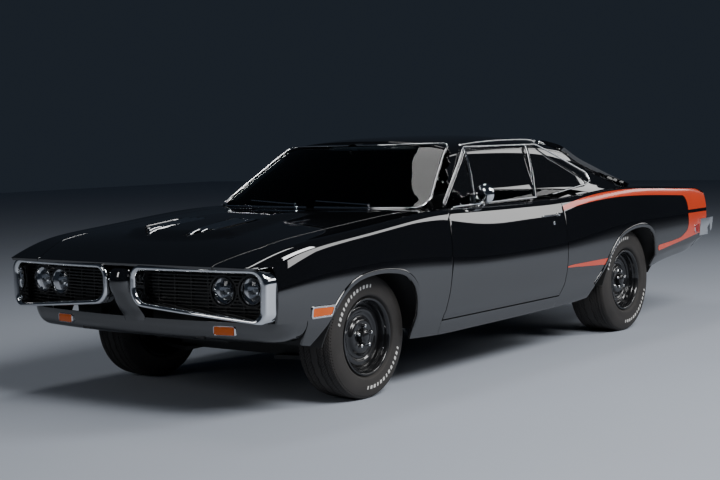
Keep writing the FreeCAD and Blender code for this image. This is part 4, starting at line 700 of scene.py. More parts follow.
@dataclass
class HouseSurface:
    """The glasshouse's walls and its roof crown."""

    corner_share: float = 0.06
    raked_inset_share: float = 1.5
    section_count: int = 10
    roof_edge_share: float = 0.700
    roof_spring_share: float = 0.925
    end_points: int = 26
    corner_points: int = 12
    side_points: int = 60
    crown_points: int = 60
    crown_side_points: int = 8

    def __post_init__(self) -> None:
        """Scale the lines."""
        scales = [CAR.length] * 4 + [CAR.half_width] * 3
        self.lines = [ShareCurve([(row[0], row[column + 1]) for row in GLASSHOUSE_LINE_SHARES], CAR.height, scale)
                      for column, scale in enumerate(scales)]
        self.roof_line = ShareCurve(ROOF_LINE_SHARES, CAR.length, CAR.height)
        self.low = GLASSHOUSE_LINE_SHARES[0][0] * CAR.height
        self.high = GLASSHOUSE_LINE_SHARES[-1][0] * CAR.height

    def section(self, z: float, inset: float = 0.0) -> np.ndarray:
        """Left half of the plan outline at one height.

        Args:
            z: Height.
            inset: How far the outline is set in.

        Returns:
            Points (x, y) from the front centre to the rear centre.
        """
        front_x, front_corner_x, rear_corner_x, rear_x = (float(line(z)) for line in self.lines[:4])
        front_y, side_y, rear_y = (float(line(z)) - inset for line in self.lines[4:])
        front_x -= inset * self.raked_inset_share
        front_corner_x -= inset * self.raked_inset_share
        rear_x += inset * self.raked_inset_share
        rear_corner_x += inset * self.raked_inset_share
        corner = self.corner_share * CAR.half_width
        middle_x = (front_corner_x + rear_corner_x) / 2
        front_pole_x = (8 * front_x - front_corner_x * 2) / 6
        rear_pole_x = (8 * rear_x - rear_corner_x * 2) / 6
        front_left = (front_corner_x, front_y)
        front_side = (front_corner_x - corner * 3, front_y + (side_y - front_y) * 0.75)
        rear_side = (rear_corner_x + corner * 3, rear_y + (side_y - rear_y) * 0.75)
        rear_left = (rear_corner_x, rear_y - corner)
        front_tip = (front_corner_x - corner * 0.6, front_y + corner * 0.35)
        side_pole = (middle_x, side_y + (side_y - front_side[1]) * 0.6)
        front = bezier(((front_corner_x, -front_y), (front_pole_x, -front_y * 0.55), (front_pole_x, front_y * 0.55),
                        front_left), np.linspace(0.5, 1, self.end_points))
        front_turn = bezier((front_left, front_tip, front_side), np.linspace(0, 1, self.corner_points))
        side = bezier((front_side, side_pole, rear_side), np.linspace(0, 1, self.side_points))
        rear_turn = bezier((rear_side, (rear_corner_x, rear_y), rear_left), np.linspace(0, 1, self.corner_points))
        rear = bezier((rear_left, (rear_pole_x, rear_y * 0.62), (rear_pole_x, -rear_y * 0.62),
                       (rear_left[0], -rear_left[1])), np.linspace(0, 0.5, self.end_points))
        return np.concatenate([front, front_turn[1:], side[1:], rear_turn[1:], rear[1:]])

    def walls(self, inset: float = 0.0, rows: int = 60) -> Sheet:
        """Left half of the walls, from the belt to above the crown.

        Args:
            inset: How far the walls are set in.
            rows: Rows of points up the walls.

        Returns:
            The sheet, with its faces outward.
        """
        heights = np.linspace(self.low, self.high, self.section_count)
        spline = StationSpline(heights, np.array([self.section(z, inset) for z in heights]))
        levels = np.linspace(self.low, self.high, rows)
        plan = spline(levels)
        grid = np.zeros(plan.shape[:2] + (3,))
        grid[:, :, :2] = plan
        grid[:, :, 2] = levels[:, None]
        return Sheet.grid(grid[::-1])

    def crown_section(self, x: float, inset: float) -> np.ndarray:
        """Half crown at one station.

        Args:
            x: Place along the car.
            inset: How far the crown is set in.

        Returns:
            Points (y, z) from the centre line outward.
        """
        centre_z = float(self.roof_line(x)) - inset
        edge_y = self.roof_edge_share * CAR.half_width - inset
        spring_z = centre_z - (1 - self.roof_spring_share) * CAR.height
        base_z = self.low - CAR.overrun
        pole_z = centre_z - (centre_z - spring_z) * 0.10
        top_z = (16 * centre_z - 2 * spring_z - 8 * pole_z) / 6
        crown = bezier(((edge_y, spring_z), (edge_y, pole_z), (0, top_z), (-edge_y, pole_z), (-edge_y, spring_z)),
                       np.linspace(0.5, 0, self.crown_points))
        side = bezier(((edge_y, spring_z), (CAR.half_width, base_z)), np.linspace(0, 1, self.crown_side_points))
        return np.concatenate([crown, side[1:]])

    def crown_spline(self, inset: float) -> StationSpline:
        """Spline of the crown's sections along the car.

        Args:
            inset: How far the crown is set in.

        Returns:
            The spline.
        """
        front = GLASSHOUSE_LINE_SHARES[0][1] * CAR.length + CAR.overrun
        rear = GLASSHOUSE_LINE_SHARES[0][3] * CAR.length - CAR.overrun
        stations = np.linspace(rear, front, self.section_count)
        return StationSpline(stations, np.array([self.crown_section(x, inset) for x in stations]))

    def crown(self, inset: float = 0.0, pitch: float = 0.02) -> Sheet:
        """Left half of the roof crown.

        Args:
            inset: How far the crown is set in.
            pitch: Step along the car.

        Returns:
            The sheet, with its faces outward.
        """
        spline = self.crown_spline(inset)
        places = np.arange(spline.start, spline.start + spline.step * (self.section_count - 1), pitch)
        rows = spline(places)
        grid = np.zeros(rows.shape[:2] + (3,))
        grid[:, :, 0] = places[:, None]
        grid[:, :, 1:] = rows
        return Sheet.grid(grid[::-1])

    def below_crown(self, inset: float = 0.0) -> Region:
        """Region under the crown.

        Args:
            inset: How far the crown is set in.

        Returns:
            The region.
        """
        spline = self.crown_spline(inset)

        def region(points: np.ndarray) -> np.ndarray:
            """Depth of points below the crown.

            Args:
                points: The points.

            Returns:
                One depth for each point.
            """
            rows = spline(points[:, 0])
            y = np.abs(points[:, 1])
            result = np.empty(len(points))
            for i, row in enumerate(rows):
                result[i] = np.interp(y[i], row[:, 0], row[:, 1]) - points[i, 2]
            return result

        return region

    def within_walls(self, inset: float = 0.0) -> Region:
        """Region inside the walls.

        Args:
            inset: How far the walls are set in.

        Returns:
            The region.
        """
        heights = np.linspace(self.low, self.high, self.section_count)
        spline = StationSpline(heights, np.array([self.section(z, inset) for z in heights]))

        def region(points: np.ndarray) -> np.ndarray:
            """Distance of points from the walls, positive inside.

            Args:
                points: The points.

            Returns:
                One distance for each point.
            """
            plans = spline(np.clip(points[:, 2], self.low, self.high))
            result = np.empty(len(points))
            for i, plan in enumerate(plans):
                x, y = points[i, 0], abs(points[i, 1])
                ahead = np.interp(y, plan[:self.end_points + self.corner_points, 1],
                                  plan[:self.end_points + self.corner_points, 0])
                back = plan[-self.end_points - self.corner_points:]
                behind = np.interp(y, back[::-1, 1], back[::-1, 0])
                beside = np.interp(-x, -plan[self.end_points - 1:-self.end_points, 0],
                                   plan[self.end_points - 1:-self.end_points, 1])
                result[i] = min(ahead - x, x - behind, beside - y)
            return result

        return region

    def side_y(self, x: float, z: float) -> float:
        """Half width of the glasshouse at one place along the car and one height."""
        plan = self.section(z)[self.end_points - 1:-self.end_points + 1]
        return float(np.interp(-x, -plan[:, 0], plan[:, 1]))

    def front_x(self, y: float, z: float) -> float:
        """Place of the windscreen's surface at one place across the car and one height."""
        plan = self.section(z)[:self.end_points + self.corner_points - 1]
        return float(np.interp(abs(y), plan[:, 1], plan[:, 0]))

    def rear_x(self, y: float, z: float) -> float:
        """Place of the rear window's surface at one place across the car and one height."""
        plan = self.section(z)[-self.end_points - self.corner_points + 1:][::-1]
        return float(np.interp(abs(y), plan[:, 1], plan[:, 0]))


def side_places(shares: Sequence[tuple[float, float]]) -> list[tuple[float, float]]:
    """Places (x, z) from shares of the length and the height."""
    return [(x * CAR.length, z * CAR.height) for x, z in shares]


@dataclass(frozen=True)
class SideWindow:
    """Opening of the door's glass and the quarter glass, in shares of the length and the height."""

    corners: tuple[tuple[float, float], ...] = (
        (0.1700, 0.7130), (0.0785, 0.9450), (-0.0790, 0.9450), (-0.1220, 0.8720), (-0.1620, 0.8030),
        (-0.1630, 0.7640), (-0.1480, 0.7500), (-0.0360, 0.7130))
    rounds: tuple[float, ...] = (0.003, 0.030, 0.090, 0.300, 0.022, 0.016, 0.030, 0.150)

    def outline(self) -> np.ndarray:
        """Outline (x, z) of the opening."""
        return rounded_outline(side_places(self.corners), self.rounds)


@dataclass(frozen=True)
class EndWindow:
    """Opening of a window that faces along the car, in shares of the half width and the height."""

    low: tuple[float, float]
    high: tuple[float, float]
    corner: float

    def outline(self, grow: float = 0.0) -> np.ndarray:
        """Outline of the opening.

        Args:
            grow: How far it is set out.

        Returns:
            Points (y, z) along the outline.
        """
        low_y, low_z = self.low[0] * CAR.half_width + grow, self.low[1] * CAR.height - grow
        high_y, high_z = self.high[0] * CAR.half_width + grow, self.high[1] * CAR.height + grow
        return rounded_outline([(-low_y, low_z), (low_y, low_z), (high_y, high_z), (-high_y, high_z)],
                               (self.corner,) * 4, 10)


SIDE_WINDOW = SideWindow()
WINDSCREEN = EndWindow((0.812, 0.7080), (0.618, 0.9560), 0.046)
REAR_WINDOW = EndWindow((0.640, 0.7330), (0.560, 0.9560), 0.070)


class NodeTree:
    """Short calls to build a material's nodes."""

    def __init__(self, name: str) -> None:
        """Start a material with a Principled shader.

        Args:
            name: Name of the material.
        """
        self.material = bpy.data.materials.new(name)
        self.material.use_nodes = True
        self.tree = self.material.node_tree
        self.tree.nodes.clear()
        self.output = self.add("ShaderNodeOutputMaterial")
        self.shader = self.add("ShaderNodeBsdfPrincipled")
        self.link(self.shader, "BSDF", self.output, "Surface")

    def add(self, kind: str, **settings: object) -> bpy.types.Node:
        """Add a node and set its inputs and properties by name.

        Args:
            kind: Type of the node.
            settings: Values by name, with _ for a space.

        Returns:
            The node.
        """
        node = self.tree.nodes.new(kind)
        for key, value in settings.items():
            if key in node.bl_rna.properties:
                setattr(node, key, value)
            else:
                node.inputs[key.replace("_", " ")].default_value = value
        return node

    def link(self, start: bpy.types.Node, output: str | int, end: bpy.types.Node, entry: str | int) -> None:
        """Join one node's output to another's input."""
        self.tree.links.new(start.outputs[output], end.inputs[entry])

    def set(self, **values: object) -> None:
        """Set sockets of the Principled shader."""
        for key, value in values.items():
            self.shader.inputs[key.replace("_", " ")].default_value = value

    def noise(self, scale: float, detail: float = 2.0, stretch: Sequence[float] = (1, 1, 1)) -> bpy.types.Node:
        """Noise in the object's own frame.

        Args:
            scale: Waves in a metre.
            detail: Layers of finer noise.
            stretch: Scale along each axis.

        Returns:
            The noise node.
        """
        place = self.add("ShaderNodeTexCoord")
        mapping = self.add("ShaderNodeMapping")
        mapping.inputs["Scale"].default_value = stretch
        noise = self.add("ShaderNodeTexNoise", Scale=scale, Detail=detail)
        self.link(place, "Object", mapping, "Vector")
        self.link(mapping, "Vector", noise, "Vector")
        return noise

    def ramp(self, source: bpy.types.Node, output: str | int,
             stops: Sequence[tuple[float, Sequence[float]]]) -> bpy.types.Node:
        """Colour ramp over another node's value.

        Args:
            source: The other node.
            output: Its output.
            stops: Pairs of value and colour.

        Returns:
            The ramp node.
        """
        ramp = self.add("ShaderNodeValToRGB")
        while len(ramp.color_ramp.elements) < len(stops):
            ramp.color_ramp.elements.new(0.5)
        for element, (place, color) in zip(ramp.color_ramp.elements, stops):
            element.position = place
            element.color = (*color, 1)
        self.link(source, output, ramp, "Fac")
        return ramp

    def shade(self, noise: bpy.types.Node, color: Sequence[float], variation: float) -> None:
        """Base colour that wanders a little with a noise.

        Args:
            noise: The noise.
            color: The middle colour.
            variation: Share that the colour wanders to either side.
        """
        low = tuple(c * (1 - variation) for c in color)
        high = tuple(min(c * (1 + variation), 1) for c in color)
        ramp = self.ramp(noise, "Fac", ((0.3, low), (0.7, high)))
        self.link(ramp, "Color", self.shader, "Base Color")

    def bump(self, source: bpy.types.Node, output: str | int, distance: float) -> None:
        """Bump on the Principled shader.

        Args:
            source: Node that gives the height.
            output: Its output.
            distance: Depth of the bumps.
        """
        bump = self.add("ShaderNodeBump", Strength=1.0, Distance=distance)
        self.link(source, output, bump, "Height")
        self.link(bump, "Normal", self.shader, "Normal")


def grey(value: float) -> tuple[float, float, float]:
    """Neutral colour."""
    return (value, value, value)


@dataclass(frozen=True)
class Paint:
    """Gloss paint under clear coat, with a faint unevenness of its flow."""

    name: str
    color: tuple[float, float, float]
    roughness: float = 0.22
    coat: float = 1.0
    coat_roughness: float = 0.02
    coat_ior: float = 1.75
    specular: float = 0.5
    variation: float = 0.10
    flow_scale: float = 1.7
    peel_scale: float = 260.0
    peel_depth: float = 0.00003

    def make(self) -> bpy.types.Material:
        """Build the material.

        Returns:
            The material.
        """
        nodes = NodeTree(self.name)
        nodes.shade(nodes.noise(self.flow_scale, 3.0), self.color, self.variation)
        nodes.set(Roughness=self.roughness, Coat_Weight=self.coat, Coat_Roughness=self.coat_roughness,
                  Coat_IOR=self.coat_ior, Specular_IOR_Level=self.specular)
        nodes.bump(nodes.noise(self.peel_scale, 1.0), "Fac", self.peel_depth)
        return nodes.material


@dataclass(frozen=True)
class Metal:
    """Bare or plated metal with its wipe marks or brushing."""

    name: str
    color: tuple[float, float, float]
    roughness: float
    spread: float = 0.04
    grain_scale: float = 30.0
    stretch: tuple[float, float, float] = (1, 1, 1)
    bump_depth: float = 0.0

    def make(self) -> bpy.types.Material:
        """Build the material.

        Returns:
            The material.
        """
        nodes = NodeTree(self.name)
        noise = nodes.noise(self.grain_scale, 4.0, self.stretch)
        ramp = nodes.ramp(noise, "Fac", ((0.3, grey(max(self.roughness - self.spread, 0.01))),
                                         (0.7, grey(self.roughness + self.spread))))
        nodes.link(ramp, "Color", nodes.shader, "Roughness")
        shade = nodes.ramp(noise, "Fac", ((0.2, tuple(c * 0.93 for c in self.color)), (0.8, self.color)))
        nodes.link(shade, "Color", nodes.shader, "Base Color")
        nodes.set(Metallic=1.0)
        if self.bump_depth:
            nodes.bump(noise, "Fac", self.bump_depth)
        return nodes.material


@dataclass(frozen=True)
class Moulded:
    """Moulded plastic, vinyl or casting: grain of its own scale and a slight change of shade."""

    name: str
    color: tuple[float, float, float]
    roughness: float
    grain_scale: float
    grain_depth: float
    variation: float = 0.15
    cloud_scale: float = 6.0
    sheen: float = 0.0

    def make(self) -> bpy.types.Material:
        """Build the material.

        Returns:
            The material.
        """
        nodes = NodeTree(self.name)
        place = nodes.add("ShaderNodeTexCoord")
        cells = nodes.add("ShaderNodeTexVoronoi", Scale=self.grain_scale)
        nodes.link(place, "Object", cells, "Vector")
        noise = nodes.noise(self.cloud_scale, 5.0)
        nodes.shade(noise, self.color, self.variation)
        rough = nodes.ramp(noise, "Fac", ((0.2, grey(self.roughness * 0.85)),
                                          (0.8, grey(min(self.roughness * 1.1, 1)))))
        nodes.link(rough, "Color", nodes.shader, "Roughness")
        nodes.set(Sheen_Weight=self.sheen)
        nodes.bump(cells, "Distance", self.grain_depth)
        return nodes.material


@dataclass(frozen=True)
class Glass:
    """Tinted or clear glass with faint streaks."""

    name: str
    tint: tuple[float, float, float]
    mirror_ior: float = 1.35

    def make(self) -> bpy.types.Material:
        """Build the material: clear where it faces the eye, mirror-like at a low angle.

        Returns:
            The material.
        """
        nodes = NodeTree(self.name)
        clear = nodes.add("ShaderNodeBsdfTransparent")
        streaks = nodes.noise(3.0, 4.0, (1, 1, 0.2))
        dim = tuple(c * 0.94 for c in self.tint)
        ramp = nodes.ramp(streaks, "Fac", ((0.3, dim), (0.7, self.tint)))
        nodes.link(ramp, "Color", clear, "Color")
        nodes.set(Base_Color=(0, 0, 0, 1), Roughness=0.02, IOR=1.5)
        facing = nodes.add("ShaderNodeFresnel", IOR=self.mirror_ior)
        mix = nodes.add("ShaderNodeMixShader")
        nodes.link(facing, "Fac", mix, "Fac")
        nodes.link(clear, "BSDF", mix, 1)
        gloss = nodes.add("ShaderNodeBsdfGlossy", Roughness=0.01)
        nodes.link(gloss, "BSDF", mix, 2)
        nodes.link(mix, "Shader", nodes.output, "Surface")
        return nodes.material


@dataclass
class Finishes:
    """Every finish of the car, made once."""

    made: dict[str, bpy.types.Material] = field(default_factory=dict)

    def get(self, finish: Paint | Metal | Moulded | Glass) -> bpy.types.Material:
        """Material of a finish, made at its first use.

        Args:
            finish: The finish.

        Returns:
            Its material.
        """
        if finish.name not in self.made:
            self.made[finish.name] = finish.make()
        return self.made[finish.name]


BLACK_PAINT = Paint("gloss_black_paint", (0.004, 0.004, 0.0046), roughness=0.5, coat_ior=2.1, specular=0.0)
ORANGE_STRIPE = Paint("orange_red_stripe", (0.75, 0.060, 0.012), roughness=0.3, coat=0.6)
UNDER_PAINT = Paint("satin_underbody", (0.018, 0.018, 0.018), roughness=0.55, coat=0.0)
RIM_PAINT = Paint("gloss_black_wheel", (0.005, 0.005, 0.006), roughness=0.4, coat_ior=1.5, specular=0.2)
CHROME = Metal("polished_chrome", (0.86, 0.87, 0.88), 0.05, 0.02)
STEEL = Metal("dull_steel", (0.36, 0.35, 0.34), 0.38, 0.08, 60.0, (1, 1, 6), 0.0001)
ALUMINIUM = Metal("cast_aluminium", (0.48, 0.48, 0.49), 0.45, 0.08, 90.0, bump_depth=0.0002)
CAST = Moulded("painted_casting", (0.02, 0.02, 0.02), 0.55, 160.0, 0.0004)
ENGINE_PAINT = Moulded("dark_engine_paint", (0.030, 0.028, 0.027), 0.5, 160.0, 0.0004)
BLACK_PLASTIC = Moulded("grained_black_plastic", (0.022, 0.022, 0.023), 0.5, 500.0, 0.0002)
GRILLE_BLACK = Moulded("matt_grille_black", (0.012, 0.012, 0.012), 0.55, 300.0, 0.0001)
VINYL = Moulded("black_seat_vinyl", (0.045, 0.045, 0.047), 0.42, 380.0, 0.0003, sheen=0.1)
RUBBER = Moulded("worn_tyre_rubber", (0.030, 0.027, 0.025), 0.72, 900.0, 0.0002, 0.25)
WHITE_RUBBER = Moulded("white_tyre_rubber", (0.72, 0.71, 0.68), 0.6, 900.0, 0.0001, 0.08)
AMBER = Moulded("amber_lens", (0.75, 0.13, 0.01), 0.12, 220.0, 0.0008, 0.10)
RED_LENS = Moulded("red_lens_plastic", (0.35, 0.006, 0.006), 0.12, 220.0, 0.0008, 0.10)
FROSTED = Moulded("frosted_bulb_shield", (0.45, 0.46, 0.48), 0.35, 200.0, 0.0001, 0.05)
# Headlamp reflector: its silver is dimmed far below a real reflector's, as painted shade inside the recessed lamps.
SHADED_BOWL_SILVER = Metal("silvered_bowl_painted_shade", (0.24, 0.25, 0.27), 0.20, 0.04, 8.0, bump_depth=0.0008)
CLEAR_LENS = Glass("fluted_clear_lens", (0.90, 0.92, 0.94))
WINDOW = Glass("tinted_window", (0.88, 0.92, 0.90))


@dataclass
class Studio:
    """Camera, lights, floor and backdrop."""

    camera_place: tuple[float, float, float] = (5.8729, 5.2948, 1.3675)
    yaw: float = -142.7534
    pitch: float = -4.0709
    roll: float = -1.4088
    focal_pixels: float = 1402.51
    picture_width: float = 720.0
    sensor_width: float = 36.0
    floor_size: float = 60.0
    floor_color: tuple[float, float, float] = (0.47, 0.51, 0.58)
    world_color: tuple[float, float, float] = (0.018, 0.024, 0.034)
    world_strength: float = 0.8

    def build(self) -> None:
        """Make the whole stage."""
        self.camera()
        self.floor()
        self.world()
        self.lamp("far_softbox", (-7.5, 6.25, 4.15), (1.0, 0.95, 0.9), (11.0, 1.8), 190.0)
        self.lamp("screen_softbox", (0.0, -1.05, 6.0), (0.0, -1.05, 0.0), (3.0, 1.1), 50.0)
        self.lamp("key_light", (3.2, 6.6, 6.4), (1.2, 1.6, 0.0), (3.4, 3.4), 560.0)
        self.lamp("flank_light", (-4.4, 8.4, 7.2), (-1.6, 1.8, 0.0), (3.2, 3.2), 420.0)
        self.lamp("front_light", (8.6, -2.4, 3.4), (2.6, 0.0, 0.5), (1.6, 2.2), 60.0)

    def camera(self) -> None:
        """Camera at the photograph's viewing angle."""
        yaw, pitch, roll = (math.radians(angle) for angle in (self.yaw, self.pitch, self.roll))
        ahead = Vector((math.cos(yaw) * math.cos(pitch), math.sin(yaw) * math.cos(pitch), math.sin(pitch)))
        right = ahead.cross(Vector((0, 0, 1))).normalized()
        up = right.cross(ahead)
        turned_right = right * math.cos(roll) + up * math.sin(roll)
        turned_up = up * math.cos(roll) - right * math.sin(roll)
        place = Vector(self.camera_place) + Vector((CAR.front_axle_x, 0, 0))
        camera = bpy.data.objects.new("camera", bpy.data.cameras.new("camera"))
        camera.data.sensor_width = self.sensor_width
        camera.data.lens = self.focal_pixels / self.picture_width * self.sensor_width
        camera.data.clip_end = self.floor_size * 2
        matrix = Matrix((turned_right, turned_up, -ahead)).transposed().to_4x4()
        matrix.translation = place
        camera.matrix_world = matrix
        bpy.context.scene.collection.objects.link(camera)
        bpy.context.scene.camera = camera

    def floor(self) -> None:
        """Plain pale floor."""
        half = self.floor_size / 2
        mesh = bpy.data.meshes.new("floor")
        corners = [(-half, -half, 0), (half, -half, 0), (half, half, 0), (-half, half, 0)]
        mesh.from_pydata(corners, [], [(0, 1, 2, 3)])
        nodes = NodeTree("studio_floor")
        noise = nodes.noise(0.6, 3.0)
        dim = tuple(c * 0.97 for c in self.floor_color)
        ramp = nodes.ramp(noise, "Fac", ((0.3, dim), (0.7, self.floor_color)))
        nodes.link(ramp, "Color", nodes.shader, "Base Color")
        nodes.set(Roughness=0.85)
        mesh.materials.append(nodes.material)
        floor = bpy.data.objects.new("floor", mesh)
        bpy.context.scene.collection.objects.link(floor)

    def world(self) -> None:
        """Even grey surroundings."""
        world = bpy.data.worlds.new("studio")
        bpy.context.scene.world = world
        world.use_nodes = True
        background = world.node_tree.nodes["Background"]
        background.inputs["Color"].default_value = (*self.world_color, 1)
        background.inputs["Strength"].default_value = self.world_strength

    def lamp(self, name: str, place: Sequence[float], aim: Sequence[float], size: Sequence[float],
             power: float) -> None:
        """Soft rectangular lamp.

        Args:
            name: Name of the lamp.
            place: Where it hangs.
            aim: What it points at.
            size: Its two sides.
            power: Its power in watts.
        """
        data = bpy.data.lights.new(name, "AREA")
        data.shape = "RECTANGLE"
        data.size, data.size_y = size
        data.energy = power
        lamp = bpy.data.objects.new(name, data)
        lamp.location = place
        lamp.rotation_euler = (Vector(aim) - Vector(place)).to_track_quat("-Z", "Y").to_euler()
        bpy.context.scene.collection.objects.link(lamp)


def bezier_seam(rows: Sequence[tuple[float, float]]) -> ShareCurve:
    """Seam in side view: place along the car from the height."""
    return ShareCurve(rows, CAR.height, CAR.length)


DOOR_FRONT_SEAM_SHARES = (
    (0.180, 0.2050),
    (0.255, 0.2037),
    (0.303, 0.1998),
    (0.374, 0.1943),
    (0.494, 0.1896),
    (0.594, 0.1872),
    (0.654, 0.1848),
    (0.705, 0.1759),
    (0.760, 0.1640),
)
DOOR_REAR_SEAM_SHARES = (
    (0.180, -0.0350),
    (0.252, -0.0464),
    (0.301, -0.0537),
    (0.415, -0.0571),
    (0.553, -0.0580),
    (0.675, -0.0625),
    (0.760, -0.0650),
)
FRONT_ARCH_SHARES = (
    (1.950, 0.760),
    (1.540, 1.130),
    (1.140, 1.570),
    (0.910, 1.790),
    (0.620, 1.945),
    (0.210, 2.018),
    (-0.270, 2.010),
    (-0.630, 1.935),
    (-0.860, 1.780),
    (-0.960, 1.570),
    (-0.985, 1.270),
    (-0.950, 0.960),
    (-0.930, 0.500),
)
REAR_ARCH_SHARES = (
    (1.950, 0.700),
    (1.560, 1.050),
    (1.276, 1.340),
    (0.952, 1.660),
    (0.631, 1.880),
    (0.140, 2.003),
    (-0.363, 2.015),
    (-0.634, 1.950),
    (-0.803, 1.810),
    (-0.885, 1.600),
    (-0.925, 1.350),
    (-0.915, 1.100),
    (-0.905, 0.600),
)


def smooth_through(points: Sequence[Sequence[float]], steps: int = 8) -> np.ndarray:
    """Smooth line through points by Catmull and Rom's rule, centripetal.

    Args:
        points: Points in a plane.
        steps: Spans between two points.

    Returns:
        Points along the line.
    """
    points = np.asarray(points, float)
    knots = np.concatenate([[0], np.cumsum(np.linalg.norm(np.diff(points, axis=0), axis=1) ** 0.5)])
    slopes = np.zeros_like(points)
    gaps = np.diff(knots)
    secants = np.diff(points, axis=0) / gaps[:, None]
    slopes[0], slopes[-1] = secants[0], secants[-1]
    for i in range(1, len(points) - 1):
        slopes[i] = (secants[i - 1] * gaps[i] + secants[i] * gaps[i - 1]) / (gaps[i - 1] + gaps[i])
    line = []
    for i, gap in enumerate(gaps):
        for t in np.arange(steps) / steps:
            a, b = (1 + 2 * t) * (1 - t) ** 2, t * (1 - t) ** 2
            c, d = t * t * (3 - 2 * t), -t * t * (1 - t)
            line.append(points[i] * a + slopes[i] * gap * b + points[i + 1] * c + slopes[i + 1] * gap * d)
    line.append(points[-1])
    return np.array(line)


@dataclass
class Cuts:
    """Seams, gaps and openings of the lower body, as regions of its surface."""

    surface: BodySurface
    house: HouseSurface
    hood_front_back: float = 0.076
    hood_clip_back: float = 0.295
    hood_front_y: float = 0.640
    hood_side_y: float = 0.735
    hood_rear_share: float = 0.2150
    hood_rear_bow: float = 0.046
    cowl_side_y: float = 0.762
    lid_front_share: float = -0.262
    lid_front_y: float = 0.600
    lid_rear_y: float = 0.640
    lid_front_bow: float = 0.145
    deck_front_share: float = -0.130
    nose_sweep: float = 0.115
    loop_front_back: float = 0.023
    loop_sweep: float = 0.095
    loop_depth: float = 0.075
    loop_top: float = 0.765
    tail_sweep: float = 0.060
    tail_face_back: float = 0.048
    cabin_share: float = 0.640
    cabin_inset: float = 0.036
    cabin_rear_share: float = -0.2165
    belt_share: float = 0.709
    door_bottom_share: float = 0.258
    belt_top_share: float = 0.760
    door_inner_y: float = 0.795
    door_rear_slant: float = 0.18
    valance_joint_back: float = 0.395
    valance_top: float = 0.486

    def __post_init__(self) -> None:
        """Work out the lines."""
        self.hood_rear_x = self.hood_rear_share * CAR.length
        self.lid_front_x = self.lid_front_share * CAR.length
        self.front_seam = bezier_seam(DOOR_FRONT_SEAM_SHARES)
        self.rear_seam = bezier_seam(DOOR_REAR_SEAM_SHARES)
        self.cabin_z = self.cabin_share * CAR.height
        self.door_bottom = self.door_bottom_share * CAR.height
        self.tail_face_x = CAR.tail_x + self.tail_face_back
        self.loop_front_x = CAR.nose_x - self.loop_front_back
        plan = self.house.section(self.belt_share * CAR.height, self.cabin_inset)
        self.cabin_plan = np.concatenate([plan, plan[::-1] * np.array((1, -1))])
        self.front_arch = self.arch(FRONT_ARCH_SHARES, CAR.front_axle_x, CAR.front_tyre_radius)
        self.rear_arch = self.arch(REAR_ARCH_SHARES, CAR.rear_axle_x, CAR.rear_tyre_radius)

    def arch(self, shares: Sequence[tuple[float, float]], axle_x: float, radius: float) -> np.ndarray:
        """Outline of a wheel arch in side view."""
        return smooth_through([(axle_x + along * radius, up * radius) for along, up in shares])

    def hood(self, points: np.ndarray, gap: float) -> np.ndarray:
        """Inside the hood's plan.

        Args:
            points: Points of a sheet.
            gap: How far the plan is set in.

        Returns:
            One value for each point, positive inside.
        """
        x, y = points[:, 0], np.abs(points[:, 1])
        clip, tip = CAR.nose_x - self.hood_clip_back, CAR.nose_x - self.hood_front_back
        share = np.clip((x - clip) / (tip - clip), 0, 1)
        side = self.hood_side_y + (self.hood_front_y - self.hood_side_y) * share - gap
        rear = self.hood_rear_x + gap + self.hood_rear_bow * (1 - np.minimum(y / self.hood_side_y, 1) ** 2)
        return np.minimum(side - y, x - rear)

    def lid(self, points: np.ndarray, gap: float) -> np.ndarray:
        """Inside the deck lid's plan.

        Args:
            points: Points of a sheet.
            gap: How far the plan is set in.

        Returns:
            One value for each point, positive inside.
        """
        x, y = points[:, 0], np.abs(points[:, 1])
        rear_x = CAR.tail_x - CAR.overrun
        share = np.clip((self.lid_front_x - x) / (self.lid_front_x - rear_x), 0, 1)
        side = self.lid_front_y + (self.lid_rear_y - self.lid_front_y) * share - gap
        bow = 1 - np.minimum(y / (self.lid_front_y - gap), 1) ** 2
        front = self.lid_front_x - gap + self.lid_front_bow * bow
        return np.minimum(side - y, front - x)

    def ahead_of_tail(self, points: np.ndarray) -> np.ndarray:
        """Ahead of the tail face."""
        return points[:, 0] - self.tail_face_x - arc_sag(self.tail_sweep, points[:, 1], CAR.half_width)

    def behind_nose(self, points: np.ndarray) -> np.ndarray:
        """Behind the nose line."""
        return CAR.nose_x - arc_sag(self.nose_sweep, points[:, 1], CAR.width) - points[:, 0]

    def clear_of_loops(self, points: np.ndarray) -> np.ndarray:
        """Above or behind the bumper loops."""
        back = self.loop_front_x - self.loop_depth - arc_sag(self.loop_sweep, points[:, 1], CAR.half_width)
        return np.maximum(points[:, 2] - self.loop_top - CAR.moving_gap, back - points[:, 0])

    def outside_cabin(self, points: np.ndarray) -> np.ndarray:
        """Outside the cabin's opening in the top of the body.

        Args:
            points: Points of a sheet.

        Returns:
            One value for each point, positive outside.
        """
        inside = inside_outline(points[:, :2], self.cabin_plan)
        return np.maximum(np.maximum(-inside, self.cabin_rear_share * CAR.length - points[:, 0]),
                          self.cabin_z - points[:, 2])

    def behind_front_seam(self, points: np.ndarray) -> np.ndarray:
        """Behind the door's front seam."""
        return self.front_seam(points[:, 2]) - points[:, 0]

    def ahead_of_rear_seam(self, points: np.ndarray) -> np.ndarray:
        """Ahead of the door's rear seam."""
        return points[:, 0] - self.rear_seam(points[:, 2]) - self.door_rear_slant * (CAR.half_width - points[:, 1])

    def deck_box(self, points: np.ndarray) -> np.ndarray:
        """Inside the zone of the filler panel and the deck lid's front.

        Args:
            points: Points of a sheet.

        Returns:
            One value for each point, positive inside.
        """
        x, y = points[:, 0], np.abs(points[:, 1])
        low = self.lid_front_x - CAR.seam
        return np.minimum.reduce([x - low, self.deck_front_share * CAR.length - x, self.lid_front_y - y,
                                  points[:, 2] - self.cabin_z])


